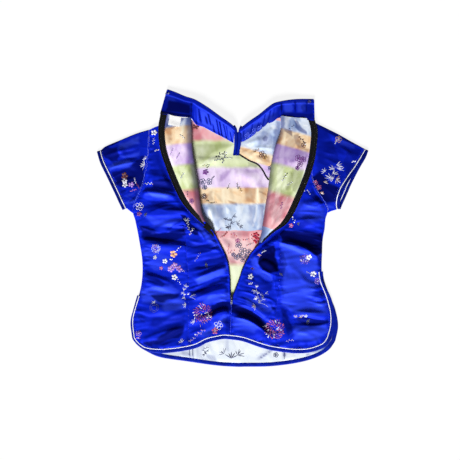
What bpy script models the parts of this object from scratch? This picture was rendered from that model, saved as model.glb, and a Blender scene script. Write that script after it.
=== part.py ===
"""Ao dai top, laid flat with its front down and its back up, the back zip open and both back edges folded out.

Lengths are millimetres as the garment lies: X to the right, Y towards the collar, Z up from the surface.
They become metres where a mesh is made.
"""

import math
from collections import namedtuple

import bmesh
import bpy
import numpy as np

MM = 0.001

# Driving sizes
CLOTH = 1.2
LINING = 1.0
COLLAR_CLOTH = 2.0
BINDING_CLOTH = 1.6
SEAM_GAP = 0.3
LAYER_GAP = 0.45
TAPE_WIDTH = 15.5
TAPE_TIP = 4.0
HEM_PIPING_WIDTH = 3.2
HEM_BINDING_WIDTH = 8.0
CUFF_PIPING_WIDTH = 3.2
CUFF_BINDING_WIDTH = 7.0
FRONT_BINDING_CLOTH = 2.2
UNDERLAP_EDGE_WIDTH = 3.5
COLLAR_EDGE_WIDTH = 3.0
COLLAR_SEAM_GAP = 0.85
COLLAR_RIPPLE = 1.6
GATHERS_PER_STATION = 1.5
GATHER_RISE = 1.5
VENT_TOP_LEFT = -154.0
VENT_TOP_RIGHT = -98.0
UNDERARM_Y = 36.0
BODY_PUFF = 2.2

# Rows and columns of the backs' walls: the panel, the roll, the flap and the tape, in spans
LEFT_ROWS = 40
RIGHT_ROWS = 42
BACK_SPANS = (12, 4, 3, 1)
FLAP_LINING_SPANS = (3, 3)
# Where the zip edge isn't folded, the last columns lie at these distances from it
FREE_EDGE_COLUMNS = (12.0, 6.0, 3.0)
# Widths of cloth beyond the roll's foot between which the columns change over, and the least that carries a lining
FOLDED_WIDTHS = (4.0, 14.0)
LINED_WIDTH = 24.0
# Least flap left beside the tape
TAPE_MARGIN = 3.0

# Ranges over which folds fade: from a side seam, from the roll's foot or the zip edge, and from under the flap
SIDE_FADE = (1.0, 14.0)
FOOT_FADE = (2.0, 14.0)
FLAP_FADE = (2.0, 16.0)
LINING_FADE = (16.0, 30.0)
# Turns of the roll, in degrees, between which a flap counts as folded, and between which it comes to rest
FOLDED_TURNS = (10.0, 90.0)
RESTING_TURNS = (90.0, 165.0)
LEAST_TURN = 2.0
# How much of its slope a flap keeps where it comes to rest
REST_SLOPE = 0.25
FOLD_STEPS = 9

# Rows and spans of the front and of what is laid on it
FRONT_ROWS = 24
FRONT_SPANS = 24
UNDERLAP_ROWS = 9
UNDERLAP_SPANS = 7
TAB_SPANS = 4

# Spans of each half of the collar, along it and up it
COLLAR_SPANS = 26
COLLAR_RISE_SPANS = 4

# Middle of the laid garment in the tables' own X and Y
CENTRE_X = -3.46
CENTRE_Y = 2.43

# Heights of the middle of each wall
SHELL_LEVEL = CLOTH / 2
LINING_LEVEL = CLOTH + SEAM_GAP + LINING / 2
BACK_LEVEL = CLOTH + LINING + 2 * SEAM_GAP + CLOTH / 2
FLAP_EDGE_LEVEL = BACK_LEVEL + CLOTH + 2 * SEAM_GAP
ON_FLAP = CLOTH / 2 + LAYER_GAP + LINING / 2

# Backs, from the shoulder down to the hem. side: armhole, side seam and vent. roll: where the cloth turns over, and
# below the flap the free zip edge. edge: the folded-back zip edge. turn: how far the cloth has turned over, degrees.
Station = namedtuple("Station", "side_x side_y roll_x roll_y edge_x edge_y turn radius")
LEFT_STATIONS = [
    Station(-196, 227, -101, 256, -169, 268, 180, 3.0),
    Station(-196, 197, -99, 224, -175, 229, 180, 4.2),
    Station(-198, 167, -98, 185, -171, 183, 180, 4.6),
    Station(-202, 135, -91, 141, -157, 139, 180, 4.6),
    Station(-212, 95, -84, 98, -138, 93, 180, 4.6),
    Station(-224, 67, -80, 66, -122, 62, 180, 4.4),
    Station(-233, 41, -76, 38, -102, 38, 178, 4.0),
    Station(-228, 20, -67, 17, -80, 17, 168, 3.4),
    Station(-223, -3, -53, -2, -57, -2, 105, 3.0),
    Station(-217, -36, -33, -36, -33, -36, 0, 3.0),
    Station(-212, -68, -17, -70, -17, -70, 0, 3.0),
    Station(-211, -102, -11, -107, -11, -107, 0, 3.0),
    Station(-215, -137, -9.6, -141, -9.6, -141, 0, 3.0),
    Station(-225, -174, -6.8, -174, -6.8, -174, 0, 3.0),
    Station(-232, -210, -8.4, -210, -8.4, -210, 0, 3.0),
    Station(-228, -251, -9.9, -244, -9.9, -244, 0, 3.0),
]
RIGHT_STATIONS = [
    Station(184, 244, 108, 259, 185, 252, 180, 3.0),
    Station(182, 215, 109, 227, 192, 224, 180, 4.2),
    Station(180, 183, 96, 187, 190, 187, 180, 4.6),
    Station(178, 148, 88, 151, 184, 151, 180, 4.6),
    Station(178, 121, 83, 118, 173, 116, 180, 4.6),
    Station(186, 93, 80, 89, 161, 86, 180, 4.6),
    Station(201, 70, 75, 61, 149, 59, 180, 4.6),
    Station(215, 44, 71, 33, 136, 32, 180, 4.6),
    Station(210, 22, 67, 8, 119, 9, 180, 4.4),
    Station(208, -1, 64, -14, 94, -6, 178, 4.0),
    Station(205, -16, 60, -28, 75, -21, 166, 3.5),
    Station(203, -32, 52, -43, 55, -41, 100, 3.0),
    Station(202, -59, 35, -64, 35, -64, 0, 3.0),
    Station(201, -91, 21, -91, 21, -91, 0, 3.0),
    Station(203, -121, 12, -118, 12, -118, 0, 3.0),
    Station(209, -146, 2.4, -143, 2.4, -143, 0, 3.0),
    Station(214, -168, -5.6, -165, -5.6, -165, 0, 3.0),
    Station(220, -195, -6.8, -190, -6.8, -190, 0, 3.0),
    Station(220, -223, -7.9, -217, -7.9, -217, 0, 3.0),
    Station(212, -252, -9.0, -244, -9.0, -244, 0, 3.0),
]
LEFT_SHOULDER = [(-196, 227), (-175, 236), (-136, 247), (-101, 256)]
RIGHT_SHOULDER = [(184, 244), (142, 255), (108, 259)]
LEFT_HEM = [(-228, -251), (-218, -263), (-201, -273), (-171, -276), (-143, -274), (-115, -270), (-90, -264),
            (-66, -252), (-42, -246), (-25, -243), (-9.9, -244)]
RIGHT_HEM = [(212, -252), (201, -264), (173, -274), (144, -276), (112, -273), (82, -268), (55, -260), (27, -250),
             (8, -246), (-9.0, -244)]

# Front: its outline inside the hem binding
FRONT_LEFT = [(-196, 227), (-196, 197), (-198, 167), (-202, 135), (-212, 95), (-224, 67), (-233, 41), (-228, 20),
              (-223, -3), (-217, -36), (-212, -68), (-211, -102), (-215, -137), (-224, -174), (-229, -210),
              (-224, -252)]
FRONT_RIGHT = [(184, 244), (182, 215), (180, 183), (178, 148), (178, 121), (186, 93), (201, 70), (215, 44),
               (210, 22), (208, -1), (203, -29), (202, -59), (200, -91), (202, -121), (212, -158), (224, -190),
               (230, -224), (224, -256)]
FRONT_BOTTOM = [(-224, -252), (-212, -266), (-194, -277), (-166, -288), (-106, -297), (-42, -306), (2, -309),
                (25, -309), (82, -308), (139, -301), (181, -290), (210, -274), (224, -256)]
FRONT_TOP = [(-196, 227), (-175, 236), (-136, 246), (-103, 252), (-90, 242.5), (-79, 237.5), (-56, 225), (-33, 213),
             (-10, 201), (4, 193), (16, 194), (36, 205), (59, 222), (82, 244), (96, 253), (108, 258), (142, 255),
             (184, 244)]

# Collar halves: the seam on the neck and the free top edge, from the zip to the notch at the front.
# level: height of the wall's middle along the seam, lift: how much higher the top edge stands.
CollarStation = namedtuple("CollarStation", "seam_x seam_y top_x top_y level lift")
COLLAR_LEFT = [
    CollarStation(-169, 269.2, -155, 319, 6.4, -3.0),
    CollarStation(-143, 264.8, -136, 312, 7.8, -3.0),
    CollarStation(-120, 260.9, -113, 302, 9.6, -2.0),
    CollarStation(-98.5, 257.8, -94, 296, 9.2, -1.0),
    CollarStation(-87, 244.5, -79, 288, 3.0, 6.0),
    CollarStation(-56.6, 226, -56, 273, 1.4, 8.0),
    CollarStation(-33.5, 214, -33, 256, 1.4, 9.0),
    CollarStation(-12.5, 203, -10, 240, 1.4, 9.0),
    CollarStation(-1.7, 196.5, 1, 230, 1.4, 8.0),
]
COLLAR_RIGHT = [
    CollarStation(185, 252.6, 184, 296, 6.4, -3.0),
    CollarStation(151, 255.7, 151, 296, 7.8, -3.0),
    CollarStation(128, 257.8, 128, 294, 9.6, -2.0),
    CollarStation(107, 260.2, 105, 290, 9.2, -1.0),
    CollarStation(91.8, 251.5, 88, 284, 3.0, 6.0),
    CollarStation(60.2, 223.8, 59, 261, 1.4, 8.0),
    CollarStation(38.9, 207.7, 36, 245, 1.4, 9.0),
    CollarStation(24.4, 198.7, 22, 234, 1.4, 9.0),
    CollarStation(17, 195.1, 13, 226, 1.4, 8.0),
]

# Places in those tables, counted in stations, where the seam reaches the front and where the gathers rise and end
FRONT_BEGINS = (4.0, 4.6)
GATHERS_BEGIN = (4.0, 5.0)
GATHERS_END = (7.4, 8.0)

# Sleeves
LEFT_SLEEVE_TOP = [(-197, 227), (-226, 218), (-260, 204), (-295, 189), (-316, 177)]
LEFT_CUFF = [(-316, 177), (-308, 151), (-297, 128), (-286, 105), (-275, 82), (-265, 60), (-257, 43)]
LEFT_SLEEVE_LOW = [(-233, 41), (-257, 43)]
RIGHT_SLEEVE_TOP = [(184, 244), (209, 232), (239, 217), (271, 199), (309, 179)]
RIGHT_CUFF_UPPER = [(309, 179), (299, 162), (286, 141), (273, 123), (262, 107), (253, 93), (247, 79), (244, 68),
                    (243, 56), (245, 45)]
RIGHT_CUFF_LOWER = [(309, 179), (303, 163), (289, 139), (277, 116), (269, 100), (262, 84), (256, 70), (250, 57),
                    (245, 45)]
RIGHT_SLEEVE_LOW = [(215, 44), (245, 45)]
SLEEVE_EDGE_TUCK = 1.4
SLEEVE_PUFF = 1.6
ARMHOLE_GAP = 0.5
LOWER_ARMHOLE_GAP = 0.6
SLEEVE_SPANS = 9
# Distances from the armhole over which the sleeve puffs, over which the mouth opens, and the mouth's height
PUFF_RISE = (14.0, 36.0)
MOUTH_RISE = (6.0, 50.0)
RIGHT_MOUTH = 6.0
# Share of the sleeve's breadth over which each creased edge flattens
SLEEVE_EDGE = 0.16

# Underlap of the front and the tab in the collar's notch
UNDERLAP_TOP = [(18, 190), (36, 199), (59, 216), (82, 238), (93, 246), (102, 249)]
UNDERLAP_LOW = [(18, 170), (36, 158), (54, 150), (66, 137), (75, 121), (78, 113)]
TAB_LEFT = [(5.5, 222), (3, 204), (-3, 168)]
TAB_RIGHT = [(8.5, 222), (12, 201), (15.5, 168)]
TAB_TOP_LEVEL = 5.6
TAB_CROWN = 1.2

# Zip slider on the closed end of the opening, with a bridge that the pull's eye hangs on
SLIDER_X = -6.2
SLIDER_Y = -159.0
SLIDER_WIDTH = 7.4
SLIDER_LENGTH = 12.0
SLIDER_HEIGHT = 2.0
SLIDER_BASE = 4.7
BRIDGE_WIDTH = 1.6
BRIDGE_REACH = 3.8
BRIDGE_ROOM = 2.4
BRIDGE_THICKNESS = 0.8
BRIDGE_SINK = 0.5
NOSE_SHARE = 0.86
TAIL_SHARE = 0.62
TAPER_START = 0.2
PULL_THICKNESS = 1.2
PULL_HALF_WIDTH = 2.6
PULL_WINDOW_HALF_WIDTH = 1.35
PULL_WINDOW_LENGTH = 5.0
PIVOT_HEIGHT = SLIDER_BASE + SLIDER_HEIGHT + BRIDGE_ROOM / 2
# Half width and drop of the pull along its length from the pivot
PullStation = namedtuple("PullStation", "reach half_width drop")
PULL = [
    PullStation(6.6, 2.5, 0.0),
    PullStation(9.0, 2.4, 0.5),
    PullStation(11.5, 2.2, 1.2),
    PullStation(14.0, 2.0, 1.8),
    PullStation(15.4, 1.2, 2.0),
]

# Label under the collar, on the folded-back lining: its near and far sides from the zip edge
LABEL_NEAR = 23.0
LABEL_FAR = 50.0
LABEL_ROWS = 3
LABEL_SPANS = 2

# Hook and eye at the two zip ends of the collar
WIRE = 1.0
HOOK = [(-4, -1.6), (3, -1.6), (4.4, 0), (3, 1.6), (0, 1.6), (0, 0.6), (2.6, 0.6), (3.2, 0), (2.6, -0.6),
        (-4, -0.6)]
HOOK_X = -153.0
HOOK_Y = 310.0
EYE_X = 172.0
EYE_Y = 291.0
EYE_RADIUS = 3.0
EYE_STRETCH = 1.3
EYE_SIDES = 12
FASTENER_REACH = 12.0

# Largest folds, each a soft ridge (height above 0) or trough (below 0) along a bent line
Fold = namedtuple("Fold", "x1 y1 x2 y2 bend width height lean")
LEFT_FOLDS = [
    Fold(-200, 112, -138, 110, 3, 9, 3.2, 0.2),
    Fold(-208, 96, -140, 94, -2, 8, -2.4, 0.0),
    Fold(-212, 82, -142, 74, 4, 9, 4.2, 0.3),
    Fold(-222, 60, -126, 57, 3, 9, -2.4, 0.0),
    Fold(-214, 36, -112, 40, -5, 10, 3.6, 0.2),
    Fold(-192, 8, -108, 24, -9, 10, -3.0, 0.0),
    Fold(-186, -6, -100, 14, 8, 9, 4.4, -0.2),
    Fold(-210, -17, -108, -26, 2, 13, -3.4, 0.0),
    Fold(-218, -30, -112, -42, -2, 9, 4.2, -0.3),
    Fold(-208, -92, -150, -108, 4, 11, -3.2, 0.0),
    Fold(-206, -116, -116, -146, -6, 11, 4.0, 0.2),
    Fold(-84, -82, -20, -73, -4, 11, -3.2, 0.0),
    Fold(-92, -112, -16, -83, -5, 9, 4.2, -0.2),
    Fold(-84, -138, -14, -114, 5, 11, -3.4, 0.0),
    Fold(-200, -150, -100, -158, 10, 12, -3.2, 0.0),
    Fold(-98, -156, -14, -134, -6, 10, 3.6, 0.2),
    Fold(-214, -196, -120, -196, 8, 13, 3.0, 0.0),
    Fold(-210, -264, -92, -224, -8, 12, -3.0, 0.0),
    Fold(-202, -257, -104, -214, -8, 10, 4.0, -0.2),
    Fold(-60, -198, -6, -172, 4, 10, -3.2, 0.0),
    Fold(-62, -214, -6, -194, 8, 11, 4.6, 0.0),
]
RIGHT_FOLDS = [
    Fold(156, 56, 206, 58, 2, 10, 3.4, 0.0),
    Fold(150, 20, 204, 16, -3, 10, 3.6, 0.0),
    Fold(118, -8, 200, -30, -8, 15, -3.6, 0.0),
    Fold(102, -34, 202, -74, 8, 10, 4.8, 0.3),
    Fold(55, -58, 118, 0, -6, 9, 4.2, 0.0),
    Fold(66, -58, 96, -92, 0, 14, -3.6, 0.0),
    Fold(56, -72, 94, -122, 16, 8, 4.6, 0.0),
    Fold(120, -64, 124, -150, 8, 14, 2.6, 0.0),
    Fold(60, -104, 92, -128, 0, 9, -2.6, 0.0),
    Fold(6, -174, 74, -206, 8, 9, 4.6, 0.2),
    Fold(0, -178, 86, -236, 9, 11, -3.4, 0.0),
    Fold(4, -204, 70, -246, 12, 12, 4.6, -0.2),
    Fold(100, -182, 130, -224, 4, 9, -2.8, 0.0),
    Fold(138, -198, 214, -206, 5, 10, 3.4, 0.0),
    Fold(144, -216, 214, -214, -4, 10, -3.0, 0.0),
    Fold(120, -240, 204, -236, 6, 13, 3.2, 0.0),
    Fold(150, -130, 206, -168, 6, 13, 2.8, 0.0),
]
LINING_FOLDS = [
    Fold(-60, 214, -84, 140, -6, 12, 2.6, 0.0),
    Fold(-20, 188, -62, 150, 4, 12, 2.2, 0.0),
    Fold(0, 126, 54, 104, 6, 12, 2.4, 0.0),
    Fold(56, 98, 62, 10, 4, 9, 2.8, 0.0),
    Fold(-62, 58, -40, 0, 5, 9, 2.8, 0.0),
    Fold(-36, 60, -24, 8, -4, 8, 2.2, 0.0),
]
LEFT_SLEEVE_FOLDS = [
    Fold(-300, 168, -214, 190, 5, 11, 3.0, 0.2),
    Fold(-292, 140, -206, 150, 5, 12, 3.2, 0.0),
    Fold(-284, 116, -214, 128, -3, 10, -1.4, 0.0),
    Fold(-270, 84, -224, 112, -4, 9, 3.0, 0.2),
    Fold(-262, 62, -232, 76, -2, 7, 2.6, 0.0),
]
RIGHT_SLEEVE_FOLDS = [
    Fold(206, 220, 290, 182, 5, 11, 3.0, 0.2),
    Fold(204, 178, 286, 160, 6, 12, 3.0, 0.0),
    Fold(200, 150, 262, 120, -3, 10, -1.4, 0.0),
    Fold(194, 110, 232, 62, -6, 8, 3.0, 0.2),
]


def clear_scene():
    """Remove what Blender starts with."""
    for obj in list(bpy.data.objects):
        bpy.data.objects.remove(obj)


def finish_of(name, colour, roughness, metallic=0.0):
    """A material with one Principled BSDF."""
    made = bpy.data.materials.new(name)
    made.use_nodes = True
    shader = made.node_tree.nodes["Principled BSDF"]
    shader.inputs["Base Color"].default_value = (*colour, 1.0)
    shader.inputs["Roughness"].default_value = roughness
    shader.inputs["Metallic"].default_value = metallic
    return made


def smoothstep(value, low, high):
    """0 below low, 1 above high, and a smooth rise between."""
    t = np.clip((np.asarray(value, float) - low) / (high - low), 0.0, 1.0)
    return t * t * (3.0 - 2.0 * t)


def between_knots(knots, at):
    """Values on a smooth curve through the knots, where at counts knots from 0."""
    knots = np.asarray(knots, float)
    last = len(knots) - 1
    if last == 1:
        share = np.asarray(at, float)[:, None]
        return knots[0] * (1 - share) + knots[1] * share
    at = np.clip(np.asarray(at, float), 0, last)
    low = np.minimum(at.astype(int), last - 1)
    u = (at - low)[:, None]
    padded = np.vstack([2 * knots[0] - knots[1], knots, 2 * knots[-1] - knots[-2]])
    before, start, end, after = (padded[low + shift] for shift in range(4))
    return 0.5 * (
        2 * start
        + (end - before) * u
        + (2 * before - 5 * start + 4 * end - after) * u**2
        + (3 * start - before - 3 * end + after) * u**3
    )


def along(knots, shares):
    """Points at these shares of the length of a smooth curve through the knots."""
    knots = np.asarray(knots, float)
    steps = np.linalg.norm(np.diff(knots, axis=0), axis=1)
    reach = np.concatenate([[0.0], np.cumsum(steps)]) / steps.sum()
    return between_knots(knots, np.interp(shares, reach, np.arange(len(knots))))


def patch(left, right, top, bottom, down, across):
    """Plan points of a cloth between four edges. left and right are given at the shares down, top and bottom at
    the shares across. The top and bottom edges shape only the rows near them."""
    s = across[None, :, None]
    t = down[:, None, None]
    straight = left[:, None] * (1 - s) + right[:, None] * s
    top_bow = top - (top[0] * (1 - across[:, None]) + top[-1] * across[:, None])
    bottom_bow = bottom - (bottom[0] * (1 - across[:, None]) + bottom[-1] * across[:, None])
    return straight + (1 - t) ** 4 * top_bow[None] + t**3 * bottom_bow[None]


def relief(plan, folds):
    """Heights that the folds give at plan points."""
    flat = plan.reshape(-1, 2)
    total = np.zeros(len(flat))
    steps = np.linspace(0, 1, FOLD_STEPS)[:, None]
    for fold in folds:
        start = np.array([fold.x1, fold.y1], float)
        end = np.array([fold.x2, fold.y2], float)
        chord = end - start
        aside = np.array([-chord[1], chord[0]]) / np.linalg.norm(chord)
        middle = (start + end) / 2 + 2 * fold.bend * aside
        line = start * (1 - steps) ** 2 + 2 * middle * steps * (1 - steps) + end * steps**2
        nearest = np.full(len(flat), 1e9)
        side = np.zeros(len(flat))
        place = np.zeros(len(flat))
        for k in range(len(line) - 1):
            run = line[k + 1] - line[k]
            share = np.clip((flat - line[k]) @ run / (run @ run), 0, 1)
            gap = flat - line[k] - share[:, None] * run
            distance = np.hypot(gap[:, 0], gap[:, 1])
            closer = distance < nearest
            nearest = np.where(closer, distance, nearest)
            side = np.where(closer, np.sign(run[0] * gap[:, 1] - run[1] * gap[:, 0]), side)
            place = np.where(closer, (k + share) / (len(line) - 1), place)
        width = fold.width * (1 + fold.lean * side)
        taper = np.sqrt(np.clip(np.sin(math.pi * np.clip(place, 0.04, 0.96)), 0, 1))
        total += fold.height * taper * np.exp(-((nearest / width) ** 2))
    return total.reshape(plan.shape[:-1])


def spans_between(knots, counts):
    """Columns of distances: each pair of neighbouring knots, one value for each row, parted into its count."""
    columns = [knots[0][:, None]]
    for near, far, count in zip(knots, knots[1:], counts):
        steps = np.linspace(0, 1, count + 1)[None, 1:]
        columns.append(near[:, None] * (1 - steps) + far[:, None] * steps)
    return np.concatenate(columns, axis=1)


def unit(vectors):
    """The vectors at length 1."""
    return vectors / np.maximum(np.linalg.norm(vectors, axis=-1, keepdims=True), 1e-9)


def cloth(name, grid, thickness, finish, around=False):
    """A closed cloth wall about the grid's points, rows by columns, in millimetres. around joins the last column to
    the first."""
    rows, columns = grid.shape[:2]
    centre = np.array([CENTRE_X, CENTRE_Y, 0.0])
    mesh_maker = bmesh.new()
    verts = [mesh_maker.verts.new(tuple((point - centre) * MM)) for point in grid.reshape(-1, 3)]
    spans = columns if around else columns - 1
    for row in range(rows - 1):
        for column in range(spans):
            beside = (column + 1) % columns
            mesh_maker.faces.new(
                (
                    verts[row * columns + column],
                    verts[(row + 1) * columns + column],
                    verts[(row + 1) * columns + beside],
                    verts[row * columns + beside],
                )
            )
    bmesh.ops.recalc_face_normals(mesh_maker, faces=mesh_maker.faces)
    return wall_object(name, mesh_maker, thickness, finish)


def wall_object(name, mesh_maker, thickness, finish):
    """The object of a finished bmesh, thickened evenly to both sides."""
    mesh = bpy.data.meshes.new(name)
    mesh_maker.to_mesh(mesh)
    mesh_maker.free()
    mesh.materials.append(finish)
    mesh.shade_smooth()
    mesh.set_sharp_from_angle(angle=math.radians(50))
    made = bpy.data.objects.new(name, mesh)
    bpy.context.scene.collection.objects.link(made)
    wall = made.modifiers.new("Wall", "SOLIDIFY")
    wall.thickness = thickness * MM
    wall.offset = 0.0
    return made


def flat_cloth(name, outline, level, thickness, finish):
    """A flat cloth wall inside an outline."""
    mesh_maker = bmesh.new()
    verts = [
        mesh_maker.verts.new(((x - CENTRE_X) * MM, (y - CENTRE_Y) * MM, level * MM)) for x, y in outline
    ]
    mesh_maker.faces.new(verts)
    return wall_object(name, mesh_maker, thickness, finish)


def with_height(plan, height):
    """Plan points with their heights."""
    height = np.broadcast_to(height, plan.shape[:-1])
    return np.concatenate([plan, height[..., None]], axis=-1)


class Back:
    """One back: rows of points from the side, over the roll, to the folded-back zip edge."""

    FINE = 60
    ARC = 14
    FLAP = 24

    def __init__(self, stations, hem, shoulder, folds, row_count):
        table = np.array(stations, float)
        places = np.linspace(0, len(stations) - 1, row_count)
        values = between_knots(table, places)
        self.side, self.roll, self.edge = values[:, 0:2], values[:, 2:4], values[:, 4:6]
        self.turn = np.radians(np.clip(values[:, 6], 0, 180))
        self.radius = values[:, 7]
        self.out = unit(self.roll - self.side)
        tuck = self.radius * np.sin(np.minimum(self.turn, math.pi / 2))
        foot = self.roll - self.out * tuck[:, None]
        down = places / places[-1]
        across = np.linspace(0, 1, self.FINE)
        top = along([*shoulder[:-1], tuple(foot[0])], across)
        bottom = along(hem, across)
        self.plan = patch(self.side, foot, top, bottom, down, across)
        self.foot_reach = []
        self.arc_reach = []
        self.rows = [self.row(i, folds) for i in range(row_count)]
        self.measure()

    def mask(self, i):
        """Where the folds of row i may rise: not at its ends and not under the flap."""
        plan = self.plan[i]
        from_side = np.linalg.norm(plan - self.side[i], axis=1)
        from_foot = np.linalg.norm(plan - plan[-1], axis=1)
        outside_flap = -((plan - self.edge[i]) @ self.out[i])
        has_flap = smoothstep(math.degrees(self.turn[i]), *FOLDED_TURNS)
        clear = smoothstep(outside_flap, *FLAP_FADE) * has_flap + (1 - has_flap)
        return smoothstep(from_side, *SIDE_FADE) * smoothstep(from_foot, *FOOT_FADE) * clear

    def row(self, i, folds):
        """Fine points of row i: the panel, the roll and the flap."""
        mask = self.mask(i)
        height = BACK_LEVEL + mask * np.maximum(BODY_PUFF + relief(self.plan[i], folds), 0.0)
        points = with_height(self.plan[i], height)
        foot = points[-1]
        self.foot_reach.append(np.linalg.norm(np.diff(points, axis=0), axis=1).sum())
        turn, radius = self.turn[i], self.radius[i]
        if turn < math.radians(LEAST_TURN):
            self.arc_reach.append(0.0)
            return points
        out = np.array([*self.out[i], 0.0])
        up = np.array([0.0, 0.0, 1.0])
        angles = np.linspace(0, turn, self.ARC)[1:, None]
        arc = foot + radius * (np.sin(angles) * out + (1 - np.cos(angles)) * up)
        self.arc_reach.append(radius * turn)
        start = arc[-1]
        heading = math.cos(turn) * out + math.sin(turn) * up
        rest = np.array([*self.edge[i], FLAP_EDGE_LEVEL])
        reach = np.linalg.norm(self.edge[i] - start[:2])
        free = start + heading * max(reach, 1.0)
        settled = smoothstep(math.degrees(turn), *RESTING_TURNS)
        end = free * (1 - settled) + rest * settled
        length = np.linalg.norm(end - start)
        leave = heading * length
        arrive = (end - start) * np.array([1.0, 1.0, REST_SLOPE])
        u = np.linspace(0, 1, self.FLAP)[1:, None]
        flap = (
            (2 * u**3 - 3 * u**2 + 1) * start
            + (u**3 - 2 * u**2 + u) * leave
            + (3 * u**2 - 2 * u**3) * end
            + (u**3 - u**2) * arrive
        )
        return np.vstack([points, arc, flap])

    def measure(self):
        """Distances along each row."""
        self.reach = []
        for row in self.rows:
            steps = np.linalg.norm(np.diff(row, axis=0), axis=1)
            self.reach.append(np.concatenate([[0.0], np.cumsum(steps)]))
        self.total = np.array([reach[-1] for reach in self.reach])
        self.foot_reach = np.array(self.foot_reach)
        self.arc_reach = np.array(self.arc_reach)
        self.after = self.total - self.foot_reach
        tape = np.clip(self.after - self.arc_reach - TAPE_MARGIN, TAPE_TIP, TAPE_WIDTH)
        self.tape_start = self.total - tape

    def at(self, i, distances):
        """Points of row i at these distances from the side."""
        row, reach = self.rows[i], self.reach[i]
        return np.stack([np.interp(distances, reach, row[:, k]) for k in range(3)], axis=-1)

    def columns(self, counts):
        """Distances of the wall's columns in each row: panel, roll, flap and tape, counts of spans in each."""
        start = np.zeros(len(self.rows))
        folded = [start, self.foot_reach, self.foot_reach + self.arc_reach, self.tape_start, self.total]
        open_flat = [start, *(self.total - reach for reach in FREE_EDGE_COLUMNS), self.total]
        share = smoothstep(self.after, *FOLDED_WIDTHS)
        return spans_between([a * share + b * (1 - share) for a, b in zip(folded, open_flat)], counts)

    def grid(self, counts):
        """The wall's points."""
        columns = self.columns(counts)
        return np.array([self.at(i, columns[i]) for i in range(len(self.rows))])

    def strip(self, rows, knots, counts, rise):
        """Points of what lies on the flap, at distances between the knots of each row, moved out by rise."""
        distances = spans_between(knots, counts)[rows]
        points = np.array([self.at(i, distances[k]) for k, i in enumerate(rows)])
        before = np.array([self.at(i, distances[k] - 0.6) for k, i in enumerate(rows)])
        after = np.array([self.at(i, distances[k] + 0.6) for k, i in enumerate(rows)])
        run_across = after - before
        run_down = np.gradient(points, axis=0)
        normal = unit(np.cross(run_across, run_down))
        if normal[0, -1, 2] < 0:
            normal = -normal
        return points + normal * rise


def offset_line(points, distance):
    """A plan line moved sideways to its left by the distance."""
    run = unit(np.gradient(points, axis=0))
    aside = np.stack([-run[:, 1], run[:, 0]], axis=1)
    return points + aside * distance


def ribbon(name, line, near, far, thickness, finish, spans=1):
    """A flat strip beside a line of 3-D points, from near to far to its left in plan."""
    shares = np.linspace(near, far, spans + 1)
    grid = np.stack([with_height(offset_line(line[:, :2], share), line[:, 2]) for share in shares], axis=1)
    return cloth(name, grid, thickness, finish)


def ring_of(upper, lower, upper_height, lower_height):
    """Points round a flattened tube, for each row: the upper layer, then the lower one back."""
    top_edge = (upper[:, :1] + lower[:, :1]) / 2
    low_edge = (upper[:, -1:] + lower[:, -1:]) / 2
    run = unit(upper[:, -1:] - upper[:, :1]) * SLEEVE_EDGE_TUCK
    middle_height = (upper_height[:, :1] + lower_height[:, :1]) / 2
    low_middle_height = (upper_height[:, -1:] + lower_height[:, -1:]) / 2
    upper = upper.copy()
    lower = lower.copy()
    upper[:, 0] += run[:, 0]
    lower[:, 0] += run[:, 0]
    upper[:, -1] -= run[:, 0]
    lower[:, -1] -= run[:, 0]
    return np.concatenate(
        [
            with_height(top_edge, middle_height),
            with_height(upper, upper_height),
            with_height(low_edge, low_middle_height),
            with_height(lower[:, ::-1], lower_height[:, ::-1]),
        ],
        axis=1,
    )


class Sleeve:
    """A short sleeve: a flattened tube from the armhole to the cuff, its piping and its binding."""

    def __init__(self, armhole, top, low, cuff_upper, cuff_lower, folds, aside, mouth):
        self.folds = folds
        self.aside = aside
        self.mouth = mouth
        reach = np.concatenate([[0], np.cumsum(np.linalg.norm(np.diff(armhole, axis=0), axis=1))])
        self.across = reach / reach[-1]
        self.armhole = armhole + np.array([ARMHOLE_GAP * aside, 0.0])
        self.top, self.low = top, low
        self.upper = along(cuff_upper, self.across)
        self.lower = along(cuff_lower, self.across)

    def layer(self, cuff, start, end, down, armhole_gap=0.0):
        """Plan points of one layer between two distances from the cuff's edge, or from the armhole."""
        armhole = self.armhole + np.array([armhole_gap * self.aside, 0.0])
        near = armhole if start is None else offset_line(cuff, -start * self.aside)
        far = offset_line(cuff, -end * self.aside)
        top = np.array([near[0] * (1 - t) + far[0] * t for t in down])
        low = np.array([near[-1] * (1 - t) + far[-1] * t for t in down])
        if start is None:
            top = along([near[0], *self.top[1:-1], far[0]], down)
        return patch(near, far, top, low, self.across, down).transpose(1, 0, 2)

    def ring(self, start, end, spans):
        """Points round the tube between two distances from the cuff's edge."""
        down = np.linspace(0, 1, spans + 1)
        upper = self.layer(self.upper, start, end, down)
        lower = self.layer(self.lower, start, end, down, LOWER_ARMHOLE_GAP)
        from_armhole = np.abs(upper[..., 0] - self.armhole[None, :, 0])
        edge = smoothstep(np.minimum(self.across, 1 - self.across), 0.0, SLEEVE_EDGE)[None]
        rise = np.maximum(SLEEVE_PUFF + relief(upper, self.folds), 0.0)
        upper_height = BACK_LEVEL + edge * smoothstep(from_armhole, *PUFF_RISE) * rise
        upper_height += self.mouth * smoothstep(from_armhole, *MOUTH_RISE) * np.sin(math.pi * self.across**2)[None]
        lower_height = np.full(upper_height.shape, SHELL_LEVEL)
        return ring_of(upper, lower, upper_height, lower_height)


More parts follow.
